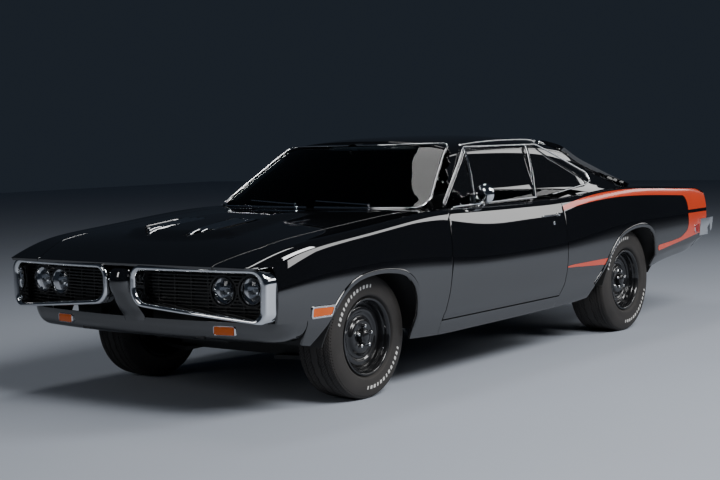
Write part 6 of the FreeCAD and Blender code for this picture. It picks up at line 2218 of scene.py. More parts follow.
@dataclass
class FrontEnd:
    """Bumper loops, headlamps, parking lamps, hood latch and the front valance."""

    finishes: Finishes
    surface: BodySurface
    cuts: Cuts
    loop_outer_y: float = 0.934
    loop_outer_bottom: float = 0.493
    loop_inner_bottom: float = 0.560
    loop_inner_y: float = 0.084
    loop_lean: float = 0.008
    faces: tuple[float, float, float] = (0.024, 0.046, 0.034)
    rounds: tuple[float, ...] = (0.070, 0.052, 0.090, 0.060)
    hole_rounds: tuple[float, ...] = (0.056, 0.044, 0.076, 0.046)
    lamp_places: tuple[tuple[float, float], ...] = ((0.600, 0.643), (0.767, 0.647))
    lamp_back: float = 0.175
    lamp_dome: float = 0.014
    lens_radius: float = 0.0640
    bowl_depth: float = 0.050
    valance_back: float = 0.140
    valance_sweep: float = 0.118
    valance_corner: float = 0.085
    park_centre: tuple[float, float] = (0.585, 0.443)
    park_half: tuple[float, float] = (0.065, 0.023)
    divider_half: float = 0.070
    divider_round: float = 0.045
    divider_back_x: float = 2.46

    def loop_outline(self, face: float, outer: float, inner: float, rounds: Sequence[float]) -> np.ndarray:
        """Outline of the left loop, set in by its face widths.

        Args:
            face: Width of the upper and the lower face.
            outer: Width of the outer face.
            inner: Width of the inner face.
            rounds: Radius at each corner.

        Returns:
            Points (y, z) along the outline.
        """
        corners = [(self.loop_outer_y - outer, self.cuts.loop_top - face),
                   (self.loop_outer_y - outer - self.loop_lean, self.loop_outer_bottom + face),
                   (self.loop_inner_y + inner, self.loop_inner_bottom + face),
                   (self.loop_inner_y + inner, self.cuts.loop_top - face)]
        return rounded_outline(corners, rounds)

    def loop(self) -> Sheet:
        """Left chrome loop with its crowned face.

        Returns:
            The loop.
        """
        outer = self.filled(self.loop_outline(0, 0, 0, self.rounds))
        inner = self.filled(self.loop_outline(*self.faces, self.hole_rounds))
        depth = self.cuts.loop_depth
        steps = [(0.0, depth), (0.0, 0.020), (0.03, 0.010), (0.14, 0.003), (0.35, 0.0), (0.65, 0.0015),
                 (0.88, 0.006), (0.97, 0.014), (1.0, 0.024), (1.0, depth), (0.90, depth), (0.10, depth),
                 (0.0, depth)]
        grid = np.zeros((len(outer), len(steps), 3))
        for k, (share, back) in enumerate(steps):
            place = outer * (1 - share) + inner * share
            x = self.cuts.loop_front_x - arc_sag(self.cuts.loop_sweep, place[:, 0], CAR.half_width) - back
            grid[:, k, 0], grid[:, k, 1:] = x, place
        return Sheet.grid(grid, closed=True).welded()

    def filled(self, outline: np.ndarray, per_side: int = 14) -> np.ndarray:
        """Outline with its straight runs divided, in the same number of points for any outline.

        Args:
            outline: Closed outline of four rounded corners.
            per_side: Parts that each straight run is divided into.

        Returns:
            Points along the outline.
        """
        steps = len(outline) // 4
        points = []
        for side in range(4):
            points += list(outline[side * steps:(side + 1) * steps])
            a, b = outline[(side + 1) * steps - 1], outline[(side + 1) * steps % len(outline)]
            points += [a + (b - a) * k / per_side for k in range(1, per_side)]
        return np.array(points)

    def headlamp(self, y: float, z: float) -> dict[str, Sheet]:
        """One headlamp: ring, bowl, bulb shield and domed lens.

        Args:
            y: Its place across the car.
            z: Its height.

        Returns:
            Its parts by name.
        """
        x = CAR.nose_x - self.lamp_back - (y / CAR.half_width) ** 2 * self.cuts.loop_sweep + self.cuts.loop_sweep / 2

        def turned(rows: Sequence[tuple[float, float]]) -> Sheet:
            """A profile turned about the lamp's own axis.

            Args:
                rows: Places (radius, forward).

            Returns:
                The part.
            """
            sheet = lathe(rows, (0, 0), 64, closed=False)
            points = sheet.points
            return Sheet(np.stack([x + points[:, 1], y + points[:, 0], z + points[:, 2]], axis=1), sheet.faces)

        lens = [(self.lens_radius * k / 8, self.lamp_dome * (1 - (k / 8) ** 2) - 0.001) for k in range(8, 0, -1)]
        lens.append((0.0004, self.lamp_dome - 0.001))
        bowl = [(self.lens_radius * (k / 8), -self.bowl_depth * (1 - (k / 8) ** 2)) for k in range(8, 0, -1)]
        bowl.append((0.0004, -self.bowl_depth))
        ring = [(0.0730, -0.058), (0.0730, -0.002), (0.0715, 0.002), (0.0680, 0.0035), (0.0650, 0.001),
                (self.lens_radius, -0.003)]
        bulb = [(0.009, -0.047), (0.009, -0.022), (0.006, -0.017), (0.0004, -0.015)]
        return {"lens": turned(lens), "bowl": turned(bowl), "ring": turned(ring), "bulb": turned(bulb)}

    def latch(self) -> Sheet:
        """Thin bright lever of the hood latch below the hood's beak.

        Returns:
            The lever.
        """
        path = [(CAR.nose_x - 0.030, -0.062, 0.690), (CAR.nose_x - 0.012, -0.050, 0.690),
                (CAR.nose_x - 0.008, 0.0, 0.689), (CAR.nose_x - 0.012, 0.020, 0.688)]
        return tube(smooth_through(path, 6), 0.0035, 8)

    def build(self) -> None:
        """Make the front end's pieces."""
        chrome = self.finishes.get(CHROME)
        loops = self.loop().on_both().build("chrome_loops", chrome, "root", Slot.CHROME, 50)
        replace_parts(loops, "bumper_loops")
        parts: dict[str, list[Sheet]] = {}
        for y, z in self.lamp_places:
            for name, sheet in self.headlamp(y, z).items():
                parts.setdefault(name, []).append(sheet.on_both())
        # The bowls take the dimmed silver, which is painted shade inside the lamps.
        looks = {"lens": CLEAR_LENS, "bowl": SHADED_BOWL_SILVER, "ring": RIM_PAINT, "bulb": FROSTED}
        for name, sheets in parts.items():
            look = self.finishes.get(looks[name])
            piece = Sheet.of(sheets).build(f"headlamp_{name}", look, "root", Slot.CLEAR, 60)
            if name == "lens":
                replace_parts(piece, "front_lamps")
        self.latch().build("hood_latch_lever", chrome, "root", Slot.CHROME)
        self.valance()
        self.park_lamps()

    def valance(self) -> None:
        """Smooth painted panel below and between the loops, rolled under and wrapped round the corners."""
        front, sweep, corner = CAR.nose_x - self.valance_back, self.valance_sweep, self.valance_corner
        joint = CAR.nose_x - self.cuts.valance_joint_back + CAR.seam
        top, side_top = self.loop_inner_bottom + 0.012, self.cuts.valance_top
        levels = [(top, 0.0), (0.530, 0.0), (0.505, 0.0), (side_top, 0.0), (0.466, 0.0005), (0.448, 0.002),
                  (0.432, 0.005), (0.418, 0.010), (0.406, 0.017), (0.396, 0.027), (0.389, 0.039), (0.385, 0.054)]
        rows = []
        for z, inset in levels:
            reach = flank_y(self.surface, 2.40, min(z, side_top)) - inset
            front_x = front - inset
            ys = np.linspace(0, reach - corner, 22)
            plan = [(front_x - arc_sag(sweep, np.array([y]), CAR.half_width)[0], y) for y in ys]
            last = plan[-1]
            ahead = [(x, flank_y(self.surface, x, min(z, side_top)) - inset)
                     for x in np.linspace(last[0] - corner * 1.25, joint, 10)]
            turn = bezier((last, (last[0] - corner * 0.10, ahead[0][1]), ahead[0]), np.linspace(0, 1, 12))
            plan += [tuple(place) for place in turn[1:]] + ahead[1:]
            rows.append([(x, y, z) for x, y in plan])
        sheet = Sheet.grid(np.array(rows)[::-1])
        hole = self.loop_outline(-0.002, -0.002, -0.002, self.rounds)
        lamp = self.park_outline()
        behind = CAR.nose_x - 0.36
        sheet = sheet.trim(lambda p: np.maximum(-inside_outline(p[:, (1, 2)], hole), behind - p[:, 0]),
                           lambda p: np.maximum(-inside_outline(p[:, (1, 2)], lamp), behind - p[:, 0]),
                           lambda p: np.maximum(joint + 0.16 - p[:, 0], side_top - p[:, 2])).largest()
        panel = sheet.on_both().welded().shell(0.006).joined(self.divider())
        paint = self.finishes.get(BLACK_PAINT)
        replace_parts(panel.build("front_valance_panel", paint, "root", Slot.PAINT), "front_valance")

    def divider(self) -> Sheet:
        """Rounded beak between the loops, which carries the nose line down to the valance.

        Returns:
            Its front and its two sides.
        """
        half, back_x = self.divider_half, self.divider_back_x
        profile = smooth_through([(2.470, 0.762), (2.600, 0.756), (2.645, 0.742), (2.658, 0.715), (2.663, 0.680),
                                  (2.657, 0.640), (2.636, 0.597), (2.606, 0.540), (2.574, 0.500), (2.560, 0.470)], 5)
        ys = half * np.sin(np.linspace(-1, 1, 17) * math.pi / 2)
        grid = np.array([[(x - self.divider_round * (abs(y) / half) ** 3.2, y, z) for y in ys] for x, z in profile])
        right, left = (np.stack([grid[:, column], [(back_x, y, z) for _, z in profile]], axis=1)
                       for column, y in ((0, -half), (-1, half)))
        return Sheet.grid(grid[::-1]).joined(Sheet.grid(right), Sheet.grid(left[::-1]))

    def park_outline(self) -> np.ndarray:
        """Outline of the left parking lamp.

        Returns:
            Points (y, z) along the outline.
        """
        (y, z), (a, b) = self.park_centre, self.park_half
        return rounded_outline([(y - a, z - b), (y + a, z - b), (y + a, z + b), (y - a, z + b)], (0.011,) * 4)

    def park_lamps(self) -> None:
        """Amber parking lamps with their bright frames."""
        front = CAR.nose_x - self.valance_back + 0.004
        middle = np.array(self.park_centre)
        outline = self.filled(self.park_outline(), 6)

        def ring(inset: float, back: float) -> np.ndarray:
            """One row of points round the lamp.

            Args:
                inset: How far its ends are set in.
                back: How far it lies behind the lamp's front.

            Returns:
                The points.
            """
            place = middle + (outline - middle) * (1 - inset / np.abs(outline - middle).max())
            x = front - arc_sag(self.valance_sweep, place[:, 0], CAR.half_width) - back
            return np.column_stack([x, place])

        lens = ((0.004, 0.030), (0.004, 0.004), (0.006, 0.0005), (0.012, -0.001), (0.030, -0.0015), (0.064, -0.0015))
        bezel = ((0.0, 0.028), (0.0, 0.0), (0.0015, -0.002), (0.004, -0.0015), (0.005, 0.004))
        for name, rows, look in (("lens", lens, AMBER), ("frame", bezel, CHROME)):
            sheet = Sheet.grid(np.stack([ring(*row) for row in rows], axis=1), closed=True)
            sheet.on_both().build(f"parking_lamp_{name}", self.finishes.get(look), "root", Slot.CLEAR, 50)


@dataclass
class SideDetail:
    """Stripes, handles, markers, mirror and mouldings on the flanks."""

    finishes: Finishes
    surface: BodySurface
    house: HouseSurface
    cuts: Cuts
    stripe_lift: float = 0.0011
    stripe_split: float = 0.780
    stripe_split_half: float = 0.0125
    front_marker: tuple[tuple[float, float], ...] = (
        (0.4215, 0.4000), (0.3880, 0.3950), (0.3931, 0.3560), (0.4218, 0.3580))
    rear_marker: tuple[tuple[float, float], ...] = (
        (-0.4370, 0.4850), (-0.4490, 0.4850), (-0.4490, 0.4450), (-0.4370, 0.4450))
    marker_bezel: float = 0.006
    handle_place: tuple[float, float] = (-0.0270, 0.6270)
    handle_half: float = 0.088
    handle_out: float = 0.0125
    lock_place: tuple[float, float] = (-0.028, -0.052)
    vent_post: tuple[tuple[float, float], ...] = ((0.1160, 0.7050), (0.0810, 0.9300))
    vent_top: float = 0.9385
    vent_bar: float = 0.0085
    mirror_place: tuple[float, float, float] = (0.1040, 0.932, 0.7460)
    mirror_radius: float = 0.062
    mirror_depth: float = 0.038

    def stripe_outline(self) -> list[np.ndarray]:
        """Pieces of the side stripe in side view.

        Returns:
            The wrap round the rear end and the band behind the door, as closed outlines (x, z).
        """
        top = smooth_through([(-0.269, 0.911), (-0.543, 0.949), (-0.790, 0.972), (-1.049, 0.984), (-1.318, 0.985),
                              (-1.693, 0.971), (-2.367, 0.943), (-2.640, 0.930)], 6)
        under = smooth_through([(-2.131, 0.904), (-2.098, 0.906), (-1.447, 0.936), (-1.038, 0.942),
                                (-0.630, 0.922), (-0.271, 0.883)], 6)
        band = smooth_through([(-1.657, 0.569), (-2.070, 0.600), (-2.126, 0.620), (-2.180, 0.645),
                               (-2.205, 0.690), (-2.200, 0.760), (-2.194, 0.842), (-2.160, 0.890),
                               (-2.131, 0.904)], 6)
        low = smooth_through([(-2.660, 0.640), (-2.448, 0.612), (-1.670, 0.530)], 4)
        reverse_c = np.concatenate([top, [(-2.660, 0.930)], low, band, under])
        ahead = smooth_through([(-0.305, 0.540), (-0.894, 0.543)], 4)
        ahead_low = smooth_through([(-0.893, 0.500), (-0.305, 0.528)], 4)
        return [reverse_c, np.concatenate([ahead, ahead_low])]

    def build(self) -> None:
        """Make the flanks' pieces."""
        self.stripes()
        for name, shares, look, slot in (("front", self.front_marker, AMBER, Slot.CLEAR),
                                         ("rear", self.rear_marker, RED_LENS, Slot.RED)):
            self.marker(name, rounded_outline(side_places(shares), (0.006,) * 4, 4), look, slot)
        for side in Side:
            self.handle(side)
            self.vent_frame(side)
        self.mirror()

    def marker(self, name: str, outline: np.ndarray, look: Moulded, slot: Slot) -> None:
        """Side marker lamps on both sides, each a lens in a bright bezel.

        Args:
            name: End of the car.
            outline: The lamp's outline (x, z).
            look: The lens's finish.
            slot: The lamp's material slot.
        """
        low, high = outline[:, 0].min() - 0.03, outline[:, 0].max() + 0.03
        flank = self.surface.sheet(low, high, 0.004).trim(
            lambda p: p[:, 1] - 0.6,
            lambda p: inside_outline(p[:, (0, 2)], outline))
        lens = flank.trim(lambda p: inside_outline(p[:, (0, 2)], outline) - self.marker_bezel)
        rim = flank.trim(lambda p: self.marker_bezel - inside_outline(p[:, (0, 2)], outline))
        for part, sheet, finish in (("lens", lens.lifted(0.0052).shell(0.005, 0.0015), look),
                                    ("bezel", rim.lifted(0.0072).shell(0.007, 0.002), CHROME)):
            sheet.on_both().build(f"marker_{name}_{part}", self.finishes.get(finish), "root", slot, 50)

    def handle(self, side: Side) -> None:
        """Bright door handle: a curved grip and a push button, with the lock below it.

        Args:
            side: Side of the door.
        """
        ((x, z),) = side_places([self.handle_place])
        skin_y, half, out = flank_y(self.surface, x, z), self.handle_half, self.handle_out
        path = smooth_through([(x - half, skin_y + 0.001, z), (x - half * 0.8, skin_y + out * 0.8, z),
                               (x, skin_y + out, z + 0.001), (x + half * 0.6, skin_y + out * 0.9, z),
                               (x + half, skin_y + 0.001, z)], 6)
        grip = tube(path, 0.0085, 12, flat=0.42)
        button = [(0.0105, 0.0), (0.0105, 0.010), (0.009, 0.0125), (0.0004, 0.0135)]
        push = lathe([(r, skin_y + y) for r, y in button], (x - half - 0.012, z), 32, closed=False)
        lock_x, lock_z = x + self.lock_place[0], z + self.lock_place[1]
        lock_y = flank_y(self.surface, x, lock_z)
        barrel = [(0.0115, -0.003), (0.0115, 0.002), (0.008, 0.0035), (0.0004, 0.003)]
        lock = lathe([(r, lock_y + y) for r, y in barrel], (lock_x, lock_z), 32, closed=False)
        chrome, body = self.finishes.get(CHROME), f"door_{side.word}"
        grip.joined(push, lock).on(side).build(f"door_handle_{side.word}", chrome, body, Slot.CHROME, 50)

    def vent_frame(self, side: Side) -> None:
        """Bright frame and post of the vent window.

        Args:
            side: Side of the door.
        """
        (low_x, low_z), (high_x, high_z) = SIDE_WINDOW.corners[:2]
        gap, top = CAR.moving_gap + self.vent_bar, self.vent_top
        front = [(low_x * CAR.length - gap + (high_x - low_x) * CAR.length * t,
                  (low_z + (high_z - low_z) * t) * CAR.height)
                 for t in np.linspace(-0.02, (top - low_z) / (high_z - low_z), 12)]
        (x0, z0), (x1, z1) = self.vent_post
        post = [((x0 + (x1 - x0) * t) * CAR.length - self.vent_bar, (z0 + (z1 - z0) * t) * CAR.height)
                for t in np.linspace(0.02, (top - z0) / (z1 - z0), 12)]
        sheets = [tube(np.array([(x, self.house.side_y(x, z) - 0.0065, z) for x, z in run]), self.vent_bar, 12,
                       flat=0.8) for run in (front, post)]
        chrome, body = self.finishes.get(CHROME), f"door_{side.word}"
        piece = Sheet.of(sheets).on(side).build(f"vent_frame_{side.word}", chrome, body, Slot.CHROME, 50)
        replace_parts(piece, f"door_trim_{side.word}")

    def mirror(self) -> None:
        """Round mirror on the driver's door, on a curved stalk with its foot."""
        x_share, y_share, z_share = self.mirror_place
        x, y, z = x_share * CAR.length, y_share * CAR.half_width, z_share * CAR.height
        depth, radius = self.mirror_depth, self.mirror_radius
        rows = [(0.0004, depth), (radius * 0.5, depth * 0.97), (radius * 0.85, depth * 0.72),
                (radius * 0.98, depth * 0.40), (radius, depth * 0.12), (radius * 0.97, 0.0),
                (radius * 0.93, -0.001), (radius * 0.92, 0.004)]
        profile = smooth_through(rows, 4)
        angles = np.linspace(0, 2 * math.pi, 65)[:-1]
        grid = np.zeros((len(angles), len(profile), 3))
        glass = np.zeros((len(angles), 2, 3))
        for i, angle in enumerate(angles):
            across, up = math.cos(angle), math.sin(angle)
            grid[i] = np.stack([x + profile[:, 1], y + profile[:, 0] * across, z + profile[:, 0] * up], axis=1)
            glass[i] = [(x + 0.003, y + r * across, z + r * up) for r in (0.0004, radius * 0.925)]
        head = Sheet.grid(grid[::-1], closed=True)
        middle_x, foot_y = x + depth / 2, y - radius / 2
        shoulder = float(self.surface.lines["shoulder_z"](x))
        bend = [(middle_x, foot_y, shoulder + 0.002), (middle_x, foot_y + 0.004, shoulder + 0.012),
                (middle_x, y - 0.012, shoulder + 0.024), (middle_x, y, z - radius * 0.40)]
        stalk = tube(smooth_through(bend, 6), 0.0085, 14)
        base = [(-0.030, -0.004), (-0.026, 0.004), (-0.014, 0.0095), (0.0, 0.011), (0.014, 0.0095),
                (0.026, 0.004), (0.030, -0.004)]
        foot = tube(np.array([(middle_x + a, foot_y + 0.002, shoulder - 0.002 + b) for a, b in base]), 0.016, 14,
                    flat=0.45)
        chrome = self.finishes.get(CHROME)
        head.joined(stalk, foot).build("door_mirror", chrome, "door_left", Slot.CHROME, 60)
        Sheet.grid(glass, closed=True).build("door_mirror_glass", chrome, "door_left", Slot.CHROME)

    def stripes(self) -> None:
        """Painted bands that follow the body's surface."""
        paint = self.finishes.get(ORANGE_STRIPE)
        reverse_c, ahead = self.stripe_outline()
        flank = self.surface.sheet(CAR.tail_x, 0.0, 0.010).trim(lambda p: p[:, 1] - 0.55)
        keep_rear = (lambda p: -self.cuts.ahead_of_rear_seam(p) - CAR.moving_gap - 0.001,
                     lambda p: -inside_outline(p[:, (0, 2)], self.cuts.rear_arch) - 0.004,
                     lambda p: self.cuts.ahead_of_tail(p) - 0.002)
        wrap = flank.trim(lambda p: inside_outline(p[:, (0, 2)], reverse_c), *keep_rear,
                          lambda p: np.abs(p[:, 2] - self.stripe_split) - self.stripe_split_half)
        band = flank.trim(lambda p: inside_outline(p[:, (0, 2)], ahead), *keep_rear)
        stripe = wrap.joined(band).lifted(self.stripe_lift)
        for side in Side:
            stripe.on(side).build(f"stripe_quarter_{side.word}", paint, "root", Slot.PAINT)


@dataclass
class WindowTrims:
    """Bright trims round the glass, wipers and the inside mirror."""

    finishes: Finishes
    house: HouseSurface
    end_grow: float = 0.008
    side_grow: float = 0.0045
    side_middle: tuple[float, float] = (-0.05, 1.13)
    path_pitch: float = 0.03
    post_low: tuple[float, float] = (-0.0120, 0.7080)
    post_high: tuple[float, float] = (-0.0530, 0.9390)
    post_back: float = 0.012
    drip_places: tuple[tuple[float, float, float], ...] = (
        (0.424, 0.652, 1.326), (0.180, 0.641, 1.340), (-0.072, 0.638, 1.346), (-0.437, 0.641, 1.339),
        (-0.466, 0.648, 1.327))
    belt_places: tuple[tuple[float, float, float], ...] = (
        (0.880, 0.888, 0.974), (0.660, 0.893, 0.980), (0.461, 0.896, 0.984), (0.200, 0.897, 0.987),
        (-0.050, 0.896, 0.988))
    wiper_reaches: tuple[tuple[float, float], ...] = ((0.42, 0.02), (-0.12, -0.52))
    mirror_share: float = 0.905
    mirror_half_width: float = 0.11

    def divided(self, starts: np.ndarray, ends: np.ndarray) -> list[np.ndarray]:
        """Points along straight runs, no further apart than twice the pitch.

        Args:
            starts: Start of each run.
            ends: End of each run.

        Returns:
            The points, without the last run's end.
        """
        points = []
        for a, b in zip(starts, ends):
            count = max(int(np.linalg.norm(b - a) / self.path_pitch), 1)
            points += [a + (b - a) * k / count for k in range(count)]
        return points

    def across(self, window: EndWindow, surface_x: Callable[[float, float], float]) -> Sheet:
        """Trim round a window that faces along the car.

        Args:
            window: The window's opening.
            surface_x: The glass's place from a place across the car and a height.

        Returns:
            The trim.
        """
        outline = window.outline(self.end_grow)
        path = [(surface_x(y, z), y, z) for y, z in self.divided(outline, np.roll(outline, -1, axis=0))]
        return tube(np.array(path), 0.0075, closed=True, flat=0.75)

    def side_rail(self) -> Sheet:
        """Rail over the left side windows, from the pillar's foot to the rear corner.

        Returns:
            The rail.
        """
        outline = SIDE_WINDOW.outline()
        spokes = outline - self.side_middle
        grown = outline + spokes / np.linalg.norm(spokes, axis=1)[:, None] * self.side_grow
        low = SIDE_WINDOW.corners[0][1] * CAR.height + 0.004
        path = np.array([(x, self.house.side_y(x, z) + 0.001, z)
                         for x, z in self.divided(grown[:-1], grown[1:]) if z > low])
        return tube(np.roll(path, -int(np.argmax(path[:, 0])), axis=0), 0.0065, flat=0.8)

    def post(self) -> Sheet:
        """Bright strip on the front edge of the left quarter glass.

        Returns:
            The strip.
        """
        (low_x, low_z), (high_x, high_z) = self.post_low, self.post_high
        run = [(x - self.post_back, z) for x, z in side_places(
            [(low_x + (high_x - low_x) * t, low_z + (high_z - low_z) * t) for t in np.linspace(0, 1, 12)])]
        return tube(np.array([(x, self.house.side_y(x, z) - 0.0045, z) for x, z in run]), 0.0095, 12, flat=0.9)

    def build(self) -> None:
        """Make the trims."""
        chrome = self.finishes.get(CHROME)
        trim = self.across(WINDSCREEN, self.house.front_x).joined(self.across(REAR_WINDOW, self.house.rear_x))
        drip = tube(smooth_through(self.drip_places), 0.0085, 12, flat=0.7)
        sides = [sheet for part in (self.side_rail(), self.post(), drip) for sheet in (part, part.mirrored())]
        piece = trim.joined(*sides).build("window_mouldings", chrome, "root", Slot.CHROME, 60)
        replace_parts(piece, "window_trims")
        self.belt_mouldings()
        self.wipers()
        self.inside_mirror()

    def belt_mouldings(self) -> None:
        """Bright mouldings along the doors' upper edges, below the glass."""
        strip = tube(smooth_through(self.belt_places), 0.0070, 12, flat=0.8)
        for side in Side:
            strip.on(side).build(f"belt_moulding_{side.word}", self.finishes.get(CHROME), f"door_{side.word}",
                                 Slot.CHROME, 60)

    def wipers(self) -> None:
        """Two wipers parked at the foot of the windscreen."""
        sheets = []
        z = WINDSCREEN.low[1] * CAR.height - 0.006
        for pivot_y, tip_y in self.wiper_reaches:
            points = []
            for t in np.linspace(0, 1, 9):
                y = pivot_y + (tip_y - pivot_y) * t
                up = z + 0.016 + 0.018 * t
                points.append((self.house.front_x(y, up) + 0.016 - 0.004 * t, y, up))
            sheets.append(tube(np.array(points), 0.0042, 8, flat=0.7))
            pivot = np.array(points[0])
            sheets.append(tube(np.array([pivot + (0.0, 0.0, -0.030), pivot + (0.0, 0.0, 0.006)]), 0.009, 14))
        Sheet.of(sheets).build("wipers", self.finishes.get(CHROME), "root", Slot.CHROME, 50)

    def inside_mirror(self) -> None:
        """Mirror inside the windscreen's header."""
        z, top = self.mirror_share * CAR.height, 0.950 * CAR.height
        x = self.house.front_x(0.0, z) - 0.085
        path = np.array([(x - 0.006 * abs(t), self.mirror_half_width * t, z) for t in np.linspace(-1, 1, 13)])
        arm = tube(np.array([(x + 0.006, 0, z + 0.016), (x + 0.012, 0, z + 0.036),
                             (self.house.front_x(0.0, top) - 0.030, 0, top - 0.012)]), 0.006)
        shell = tube(path, 0.026, 14, flat=0.42).joined(arm)
        shell.build("inside_mirror", self.finishes.get(BLACK_PLASTIC), "root", Slot.DASH, 60)


@dataclass
class Cabin:
    """Padded seats and the dashboard's instruments."""

    finishes: Finishes
    front_seat: tuple[float, float, float] = (0.318, 0.396, 0.375)
    front_cushion: tuple[float, float, float] = (0.50, 0.49, 0.150)
    front_back: tuple[float, float, float] = (0.58, 0.47, 0.125)
    rear_cushion: tuple[float, float, float] = (0.44, 1.12, 0.120)
    rear_back: tuple[float, float, float] = (0.44, 1.12, 0.105)
    back_lean: float = 16
    pad_fill: float = 0.8
    dial_face: tuple[float, float] = (0.905, 0.838)
    dial_places: tuple[tuple[float, float], ...] = (
        (0.255, 0.040), (0.372, 0.052), (0.490, 0.040), (0.160, 0.030), (0.585, 0.030))

    def pad(self, size: Sequence[float], crown: float, channels: int, pinch: float = 0.05) -> Sheet:
        """Stuffed pad: crowned faces, pulled-in edges, a welt and sewn channels.

        Args:
            size: Its length, width and depth.
            crown: How far its top stands proud.
            channels: Sewn channels across its width.
            pinch: Share that its sides pull in between the corners.

        Returns:
            The pad round its own centre, with its top towards +Z.
        """
        rows, columns, layers = 56, 72, 9
        half = np.array(size) / 2
        points, index = [], {}
        faces = []

        def corner(u: float, v: float, w: float) -> int:
            """Point of the pad for a point of a cube.

            Args:
                u: Place along the length, from -1 to 1.
                v: Place along the width.
                w: Place along the depth.

            Returns:
                The point's number.
            """
            key = (round(u, 5), round(v, 5), round(w, 5))
            if key not in index:
                power = 3.6
                length = max((abs(u) ** power + abs(v) ** power + abs(w) ** power) ** (1 / power), 1e-9)
                biggest = max(abs(u), abs(v), abs(w))
                p = np.array((u, v, w)) * biggest / length * (1 + 0.16 * (1 - biggest / length))
                waist = 1 - pinch * (1 - p[1] ** 2) * abs(p[0]) ** 3
                place = p * half
                place[0] *= waist
                place[1] *= 1 - pinch * (1 - p[0] ** 2) * abs(p[1]) ** 3
                if w > 0.5:
                    inner = (1 - p[0] ** 4) * (1 - p[1] ** 4)
                    place[2] += crown * inner
                    if abs(p[1]) < 0.80 and abs(p[0]) < 0.80:
                        seam = abs(((p[1] + 0.8) / 1.6 * channels) % 1 - 0.5) * 2
                        place[2] -= 0.011 * seam ** 6
                    edge = max(abs(p[0]), abs(p[1]))
                    place[2] -= 0.010 * math.exp(-((edge - 0.82) / 0.018) ** 2)
                index[key] = len(points)
                points.append(place)
            return index[key]

        def side(axis: int, sign: int, m: int, n: int) -> None:
            """Faces of one side of the cube.

            Args:
                axis: Axis that the side faces along.
                sign: Its end of the axis.
                m: Faces along the first other axis.
                n: Faces along the second.
            """
            us, vs = np.linspace(-1, 1, m + 1), np.linspace(-1, 1, n + 1)
            a, b = [i for i in range(3) if i != axis]
            for i in range(m):
                for j in range(n):
                    ring = []
                    for u, v in ((us[i], vs[j]), (us[i + 1], vs[j]), (us[i + 1], vs[j + 1]), (us[i], vs[j + 1])):
                        place = [0.0, 0.0, 0.0]
                        place[axis], place[a], place[b] = float(sign), u, v
                        ring.append(corner(*place))
                    flip = (sign > 0) != (axis != 1)
                    faces.append(tuple(ring[::-1] if flip else ring))

        side(2, 1, rows, columns)
        side(2, -1, rows, columns)
        side(0, 1, columns, layers)
        side(0, -1, columns, layers)
        side(1, 1, rows, layers)
        side(1, -1, rows, layers)
        return Sheet(np.array(points), faces)

    def placed(self, sheet: Sheet, place: Sequence[float], lean: float = 0.0, upright: bool = False) -> Sheet:
        """Sheet turned upright, leaned about Y and moved.

        Args:
            sheet: The sheet.
            place: Where its centre comes.
            lean: Angle that it leans back.
            upright: Whether its top turns to the front first.

        Returns:
            The sheet in its place.
        """
        x, y, z = sheet.points.T
        if upright:
            x, z = z, -x
        c, s = math.cos(math.radians(lean)), math.sin(math.radians(lean))
        return Sheet(np.stack([x * c - z * s, y, x * s + z * c], axis=1) + np.array(place), sheet.faces)

    def build(self) -> None:
        """Make the cabin's pieces."""
        vinyl = self.finishes.get(VINYL)
        seat_x, seat_y, seat_z = self.front_seat
        first = True
        for side in Side:
            y = seat_y * side.value
            cushion, back = self.pad(self.front_cushion, 0.014, 7), self.pad(self.front_back, 0.012, 7)
            cushion = self.placed(cushion, (seat_x - 0.25, y, seat_z + 0.090), -3)
            back = self.placed(back, (seat_x - 0.555, y, seat_z + 0.365), self.back_lean, True)
            for name, sheet in (("cushion", cushion), ("back", back)):
                piece = sheet.build(f"front_seat_{name}_{side.word}", vinyl, "root", Slot.SEAT, 70)
                if first:
                    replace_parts(piece, "seats")
                    first = False
            base = block((seat_x - 0.44, y - 0.20, 0.3155), (seat_x - 0.06, y + 0.20, seat_z + 0.03), 0.01)
            base.build(f"front_seat_base_{side.word}", self.finishes.get(BLACK_PLASTIC), "root", Slot.SEAT, 50)
        rear_x, rear_z = CAR.rear_axle_x + 0.640 + 0.250, 0.480
        bench, rest = self.pad(self.rear_cushion, 0.012, 12), self.pad(self.rear_back, 0.012, 12)
        bench = self.placed(bench, (rear_x - 0.225, 0, rear_z + 0.066), -2)
        rest = self.placed(rest, (rear_x - 0.515, 0, rear_z + 0.290), self.back_lean, True)
        for name, sheet in (("cushion", bench), ("back", rest)):
            piece = sheet.build(f"rear_seat_{name}", vinyl, "root", Slot.SEAT, 70)
        self.dials()

    def dials(self) -> None:
        """Round instruments with bright rings on the dashboard's face."""
        face_x, z = self.dial_face
        rings, faces = [], []
        for y, radius in self.dial_places:
            ring = [(radius, -0.004), (radius, 0.008), (radius - 0.003, 0.010), (radius - 0.006, 0.004)]
            dial = [(radius - 0.005, 0.003), (0.0004, 0.003)]
            for rows, store in ((ring, rings), (dial, faces)):
                sheet = lathe(rows, (0, 0), 48, closed=False)
                p = sheet.points
                store.append(Sheet(np.stack([face_x - p[:, 1], y - p[:, 0], z + p[:, 2]], axis=1), sheet.faces))
        Sheet.of(rings).build("dial_rings", self.finishes.get(CHROME), "root", Slot.DASH, 60)
        Sheet.of(faces).build("dial_faces", self.finishes.get(FROSTED), "root", Slot.DASH, 60)


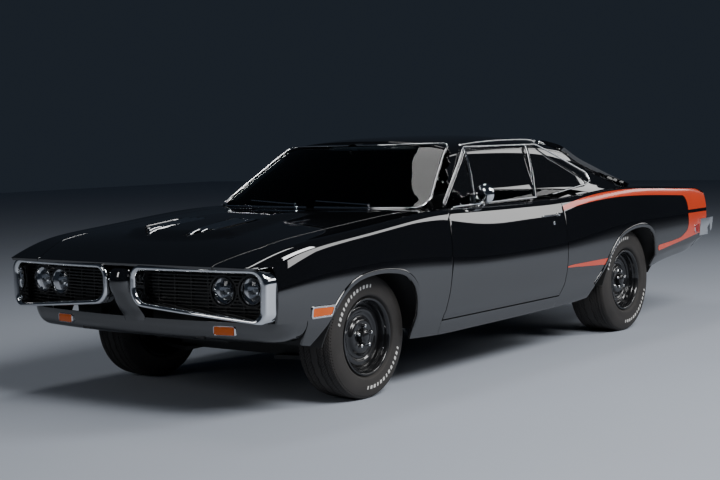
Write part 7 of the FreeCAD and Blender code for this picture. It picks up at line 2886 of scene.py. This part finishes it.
@dataclass
class HoodDetail:
    """Vents and plain bright bars on the hood's bulge."""

    finishes: Finishes
    panels: BodyPanels
    slat_ends: tuple[tuple[tuple[float, float], tuple[float, float]], ...] = (
        ((2.262, 0.150), (1.862, 0.128)), ((2.222, 0.192), (1.862, 0.186)), ((2.180, 0.234), (1.862, 0.244)))
    floor_depth: float = 0.024
    bar_places: tuple[tuple[float, float], ...] = ((1.694, 0.434), (1.800, 0.500))

    def build(self) -> None:
        """Make the hood's fittings, which ride on the hood."""
        chrome, black = self.finishes.get(CHROME), self.finishes.get(GRILLE_BLACK)
        slats, bars = [], []
        for (front_x, front_y), (rear_x, rear_y) in self.slat_ends:
            path = []
            for t in np.linspace(0, 1, 12):
                x, y = front_x + (rear_x - front_x) * t, front_y + (rear_y - front_y) * t
                path.append((x, y, self.panels.hood_z(x, y) - 0.002))
            slats.append(tube(np.array(path), 0.0185, flat=0.34))
        floor = Sheet.grid(np.array([[(x, y, self.panels.hood_z(x, y) - self.floor_depth)
                                      for y in np.linspace(0.085, 0.325, 9)] for x in np.linspace(2.31, 1.84, 14)]))
        for x, y in self.bar_places:
            path = [(x + 0.060 * t, y - 0.010 * t, self.panels.hood_z(x + 0.060 * t, y) + 0.0012)
                    for t in (-1, -0.5, 0, 0.5, 1)]
            bars.append(tube(np.array(path), 0.0075, flat=0.32))
        for name, sheets, look in (("slats", slats, chrome), ("floor", [floor], black), ("bars", bars, chrome)):
            Sheet.of(sheets).on_both().build(f"hood_vent_{name}", look, "hood", Slot.PAINT, 60)


@dataclass
class PlainNodes:
    """Frame nodes whose shape is right as it is, with their finishes."""

    finishes: Finishes

    def build(self) -> None:
        """Give each node its finish."""
        table = {
            BLACK_PAINT: ("front_valance", "roof", "hood", "deck_lid", "cowl", "tail_panels",
                          *(f"{panel}_{side.word}" for panel in ("fender", "quarter", "door") for side in Side)),
            RED_LENS: ("rear_lamps",),
            CLEAR_LENS: ("front_lamps",),
            UNDER_PAINT: ("floor_pan", "firewall", "boot_floor"),
            CHROME: ("bumper_loops", "rear_bumper", "window_trims", "door_trim_left", "door_trim_right"),
            GRILLE_BLACK: ("grille", "radiator"),
            ENGINE_PAINT: ("engine",),
            ALUMINIUM: ("gearbox",),
            STEEL: ("exhaust", "fuel_tank"),
            BLACK_PLASTIC: ("dashboard", "steering_wheel"),
            VINYL: ("seats",),
            CAST: ("front_suspension", "rear_axle", "knuckle_left", "knuckle_right"),
            WINDOW: ("fixed_glass", "door_glass_left", "door_glass_right"),
            RIM_PAINT: tuple(f"rim_{end}_{side.word}" for end in ("front", "rear") for side in Side),
            RUBBER: tuple(f"tyre_{end}_{side.word}" for end in ("front", "rear") for side in Side),
        }
        for finish, names in table.items():
            for name in names:
                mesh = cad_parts[name].data
                mesh.materials.clear()
                mesh.materials.append(self.finishes.get(finish))


def main() -> None:
    """Build the car's looks in order."""
    logging.basicConfig(level=logging.INFO, format="%(name)s %(message)s")
    finishes = Finishes()
    Studio().build()
    surface, house = BodySurface(), HouseSurface()
    cuts = Cuts(surface, house)
    PlainNodes(finishes).build()
    panels = BodyPanels(finishes, surface, house, cuts)
    panels.build()
    Greenhouse(finishes, surface, house, panels).build()
    ArchLips(finishes, surface, cuts).build()
    HoodDetail(finishes, panels).build()
    WindowTrims(finishes, house).build()
    Cabin(finishes).build()
    FrontEnd(finishes, surface, cuts).build()
    SideDetail(finishes, surface, house, cuts).build()
    for side in Side:
        Wheel(finishes, side, "front", CAR.front_axle_x, CAR.front_track, CAR.front_tyre_radius, 0.236, 0.208).build()
        Wheel(finishes, side, "rear", CAR.rear_axle_x, CAR.rear_track, CAR.rear_tyre_radius, 0.279, 0.248).build()


if __name__ == "__main__":
    main()
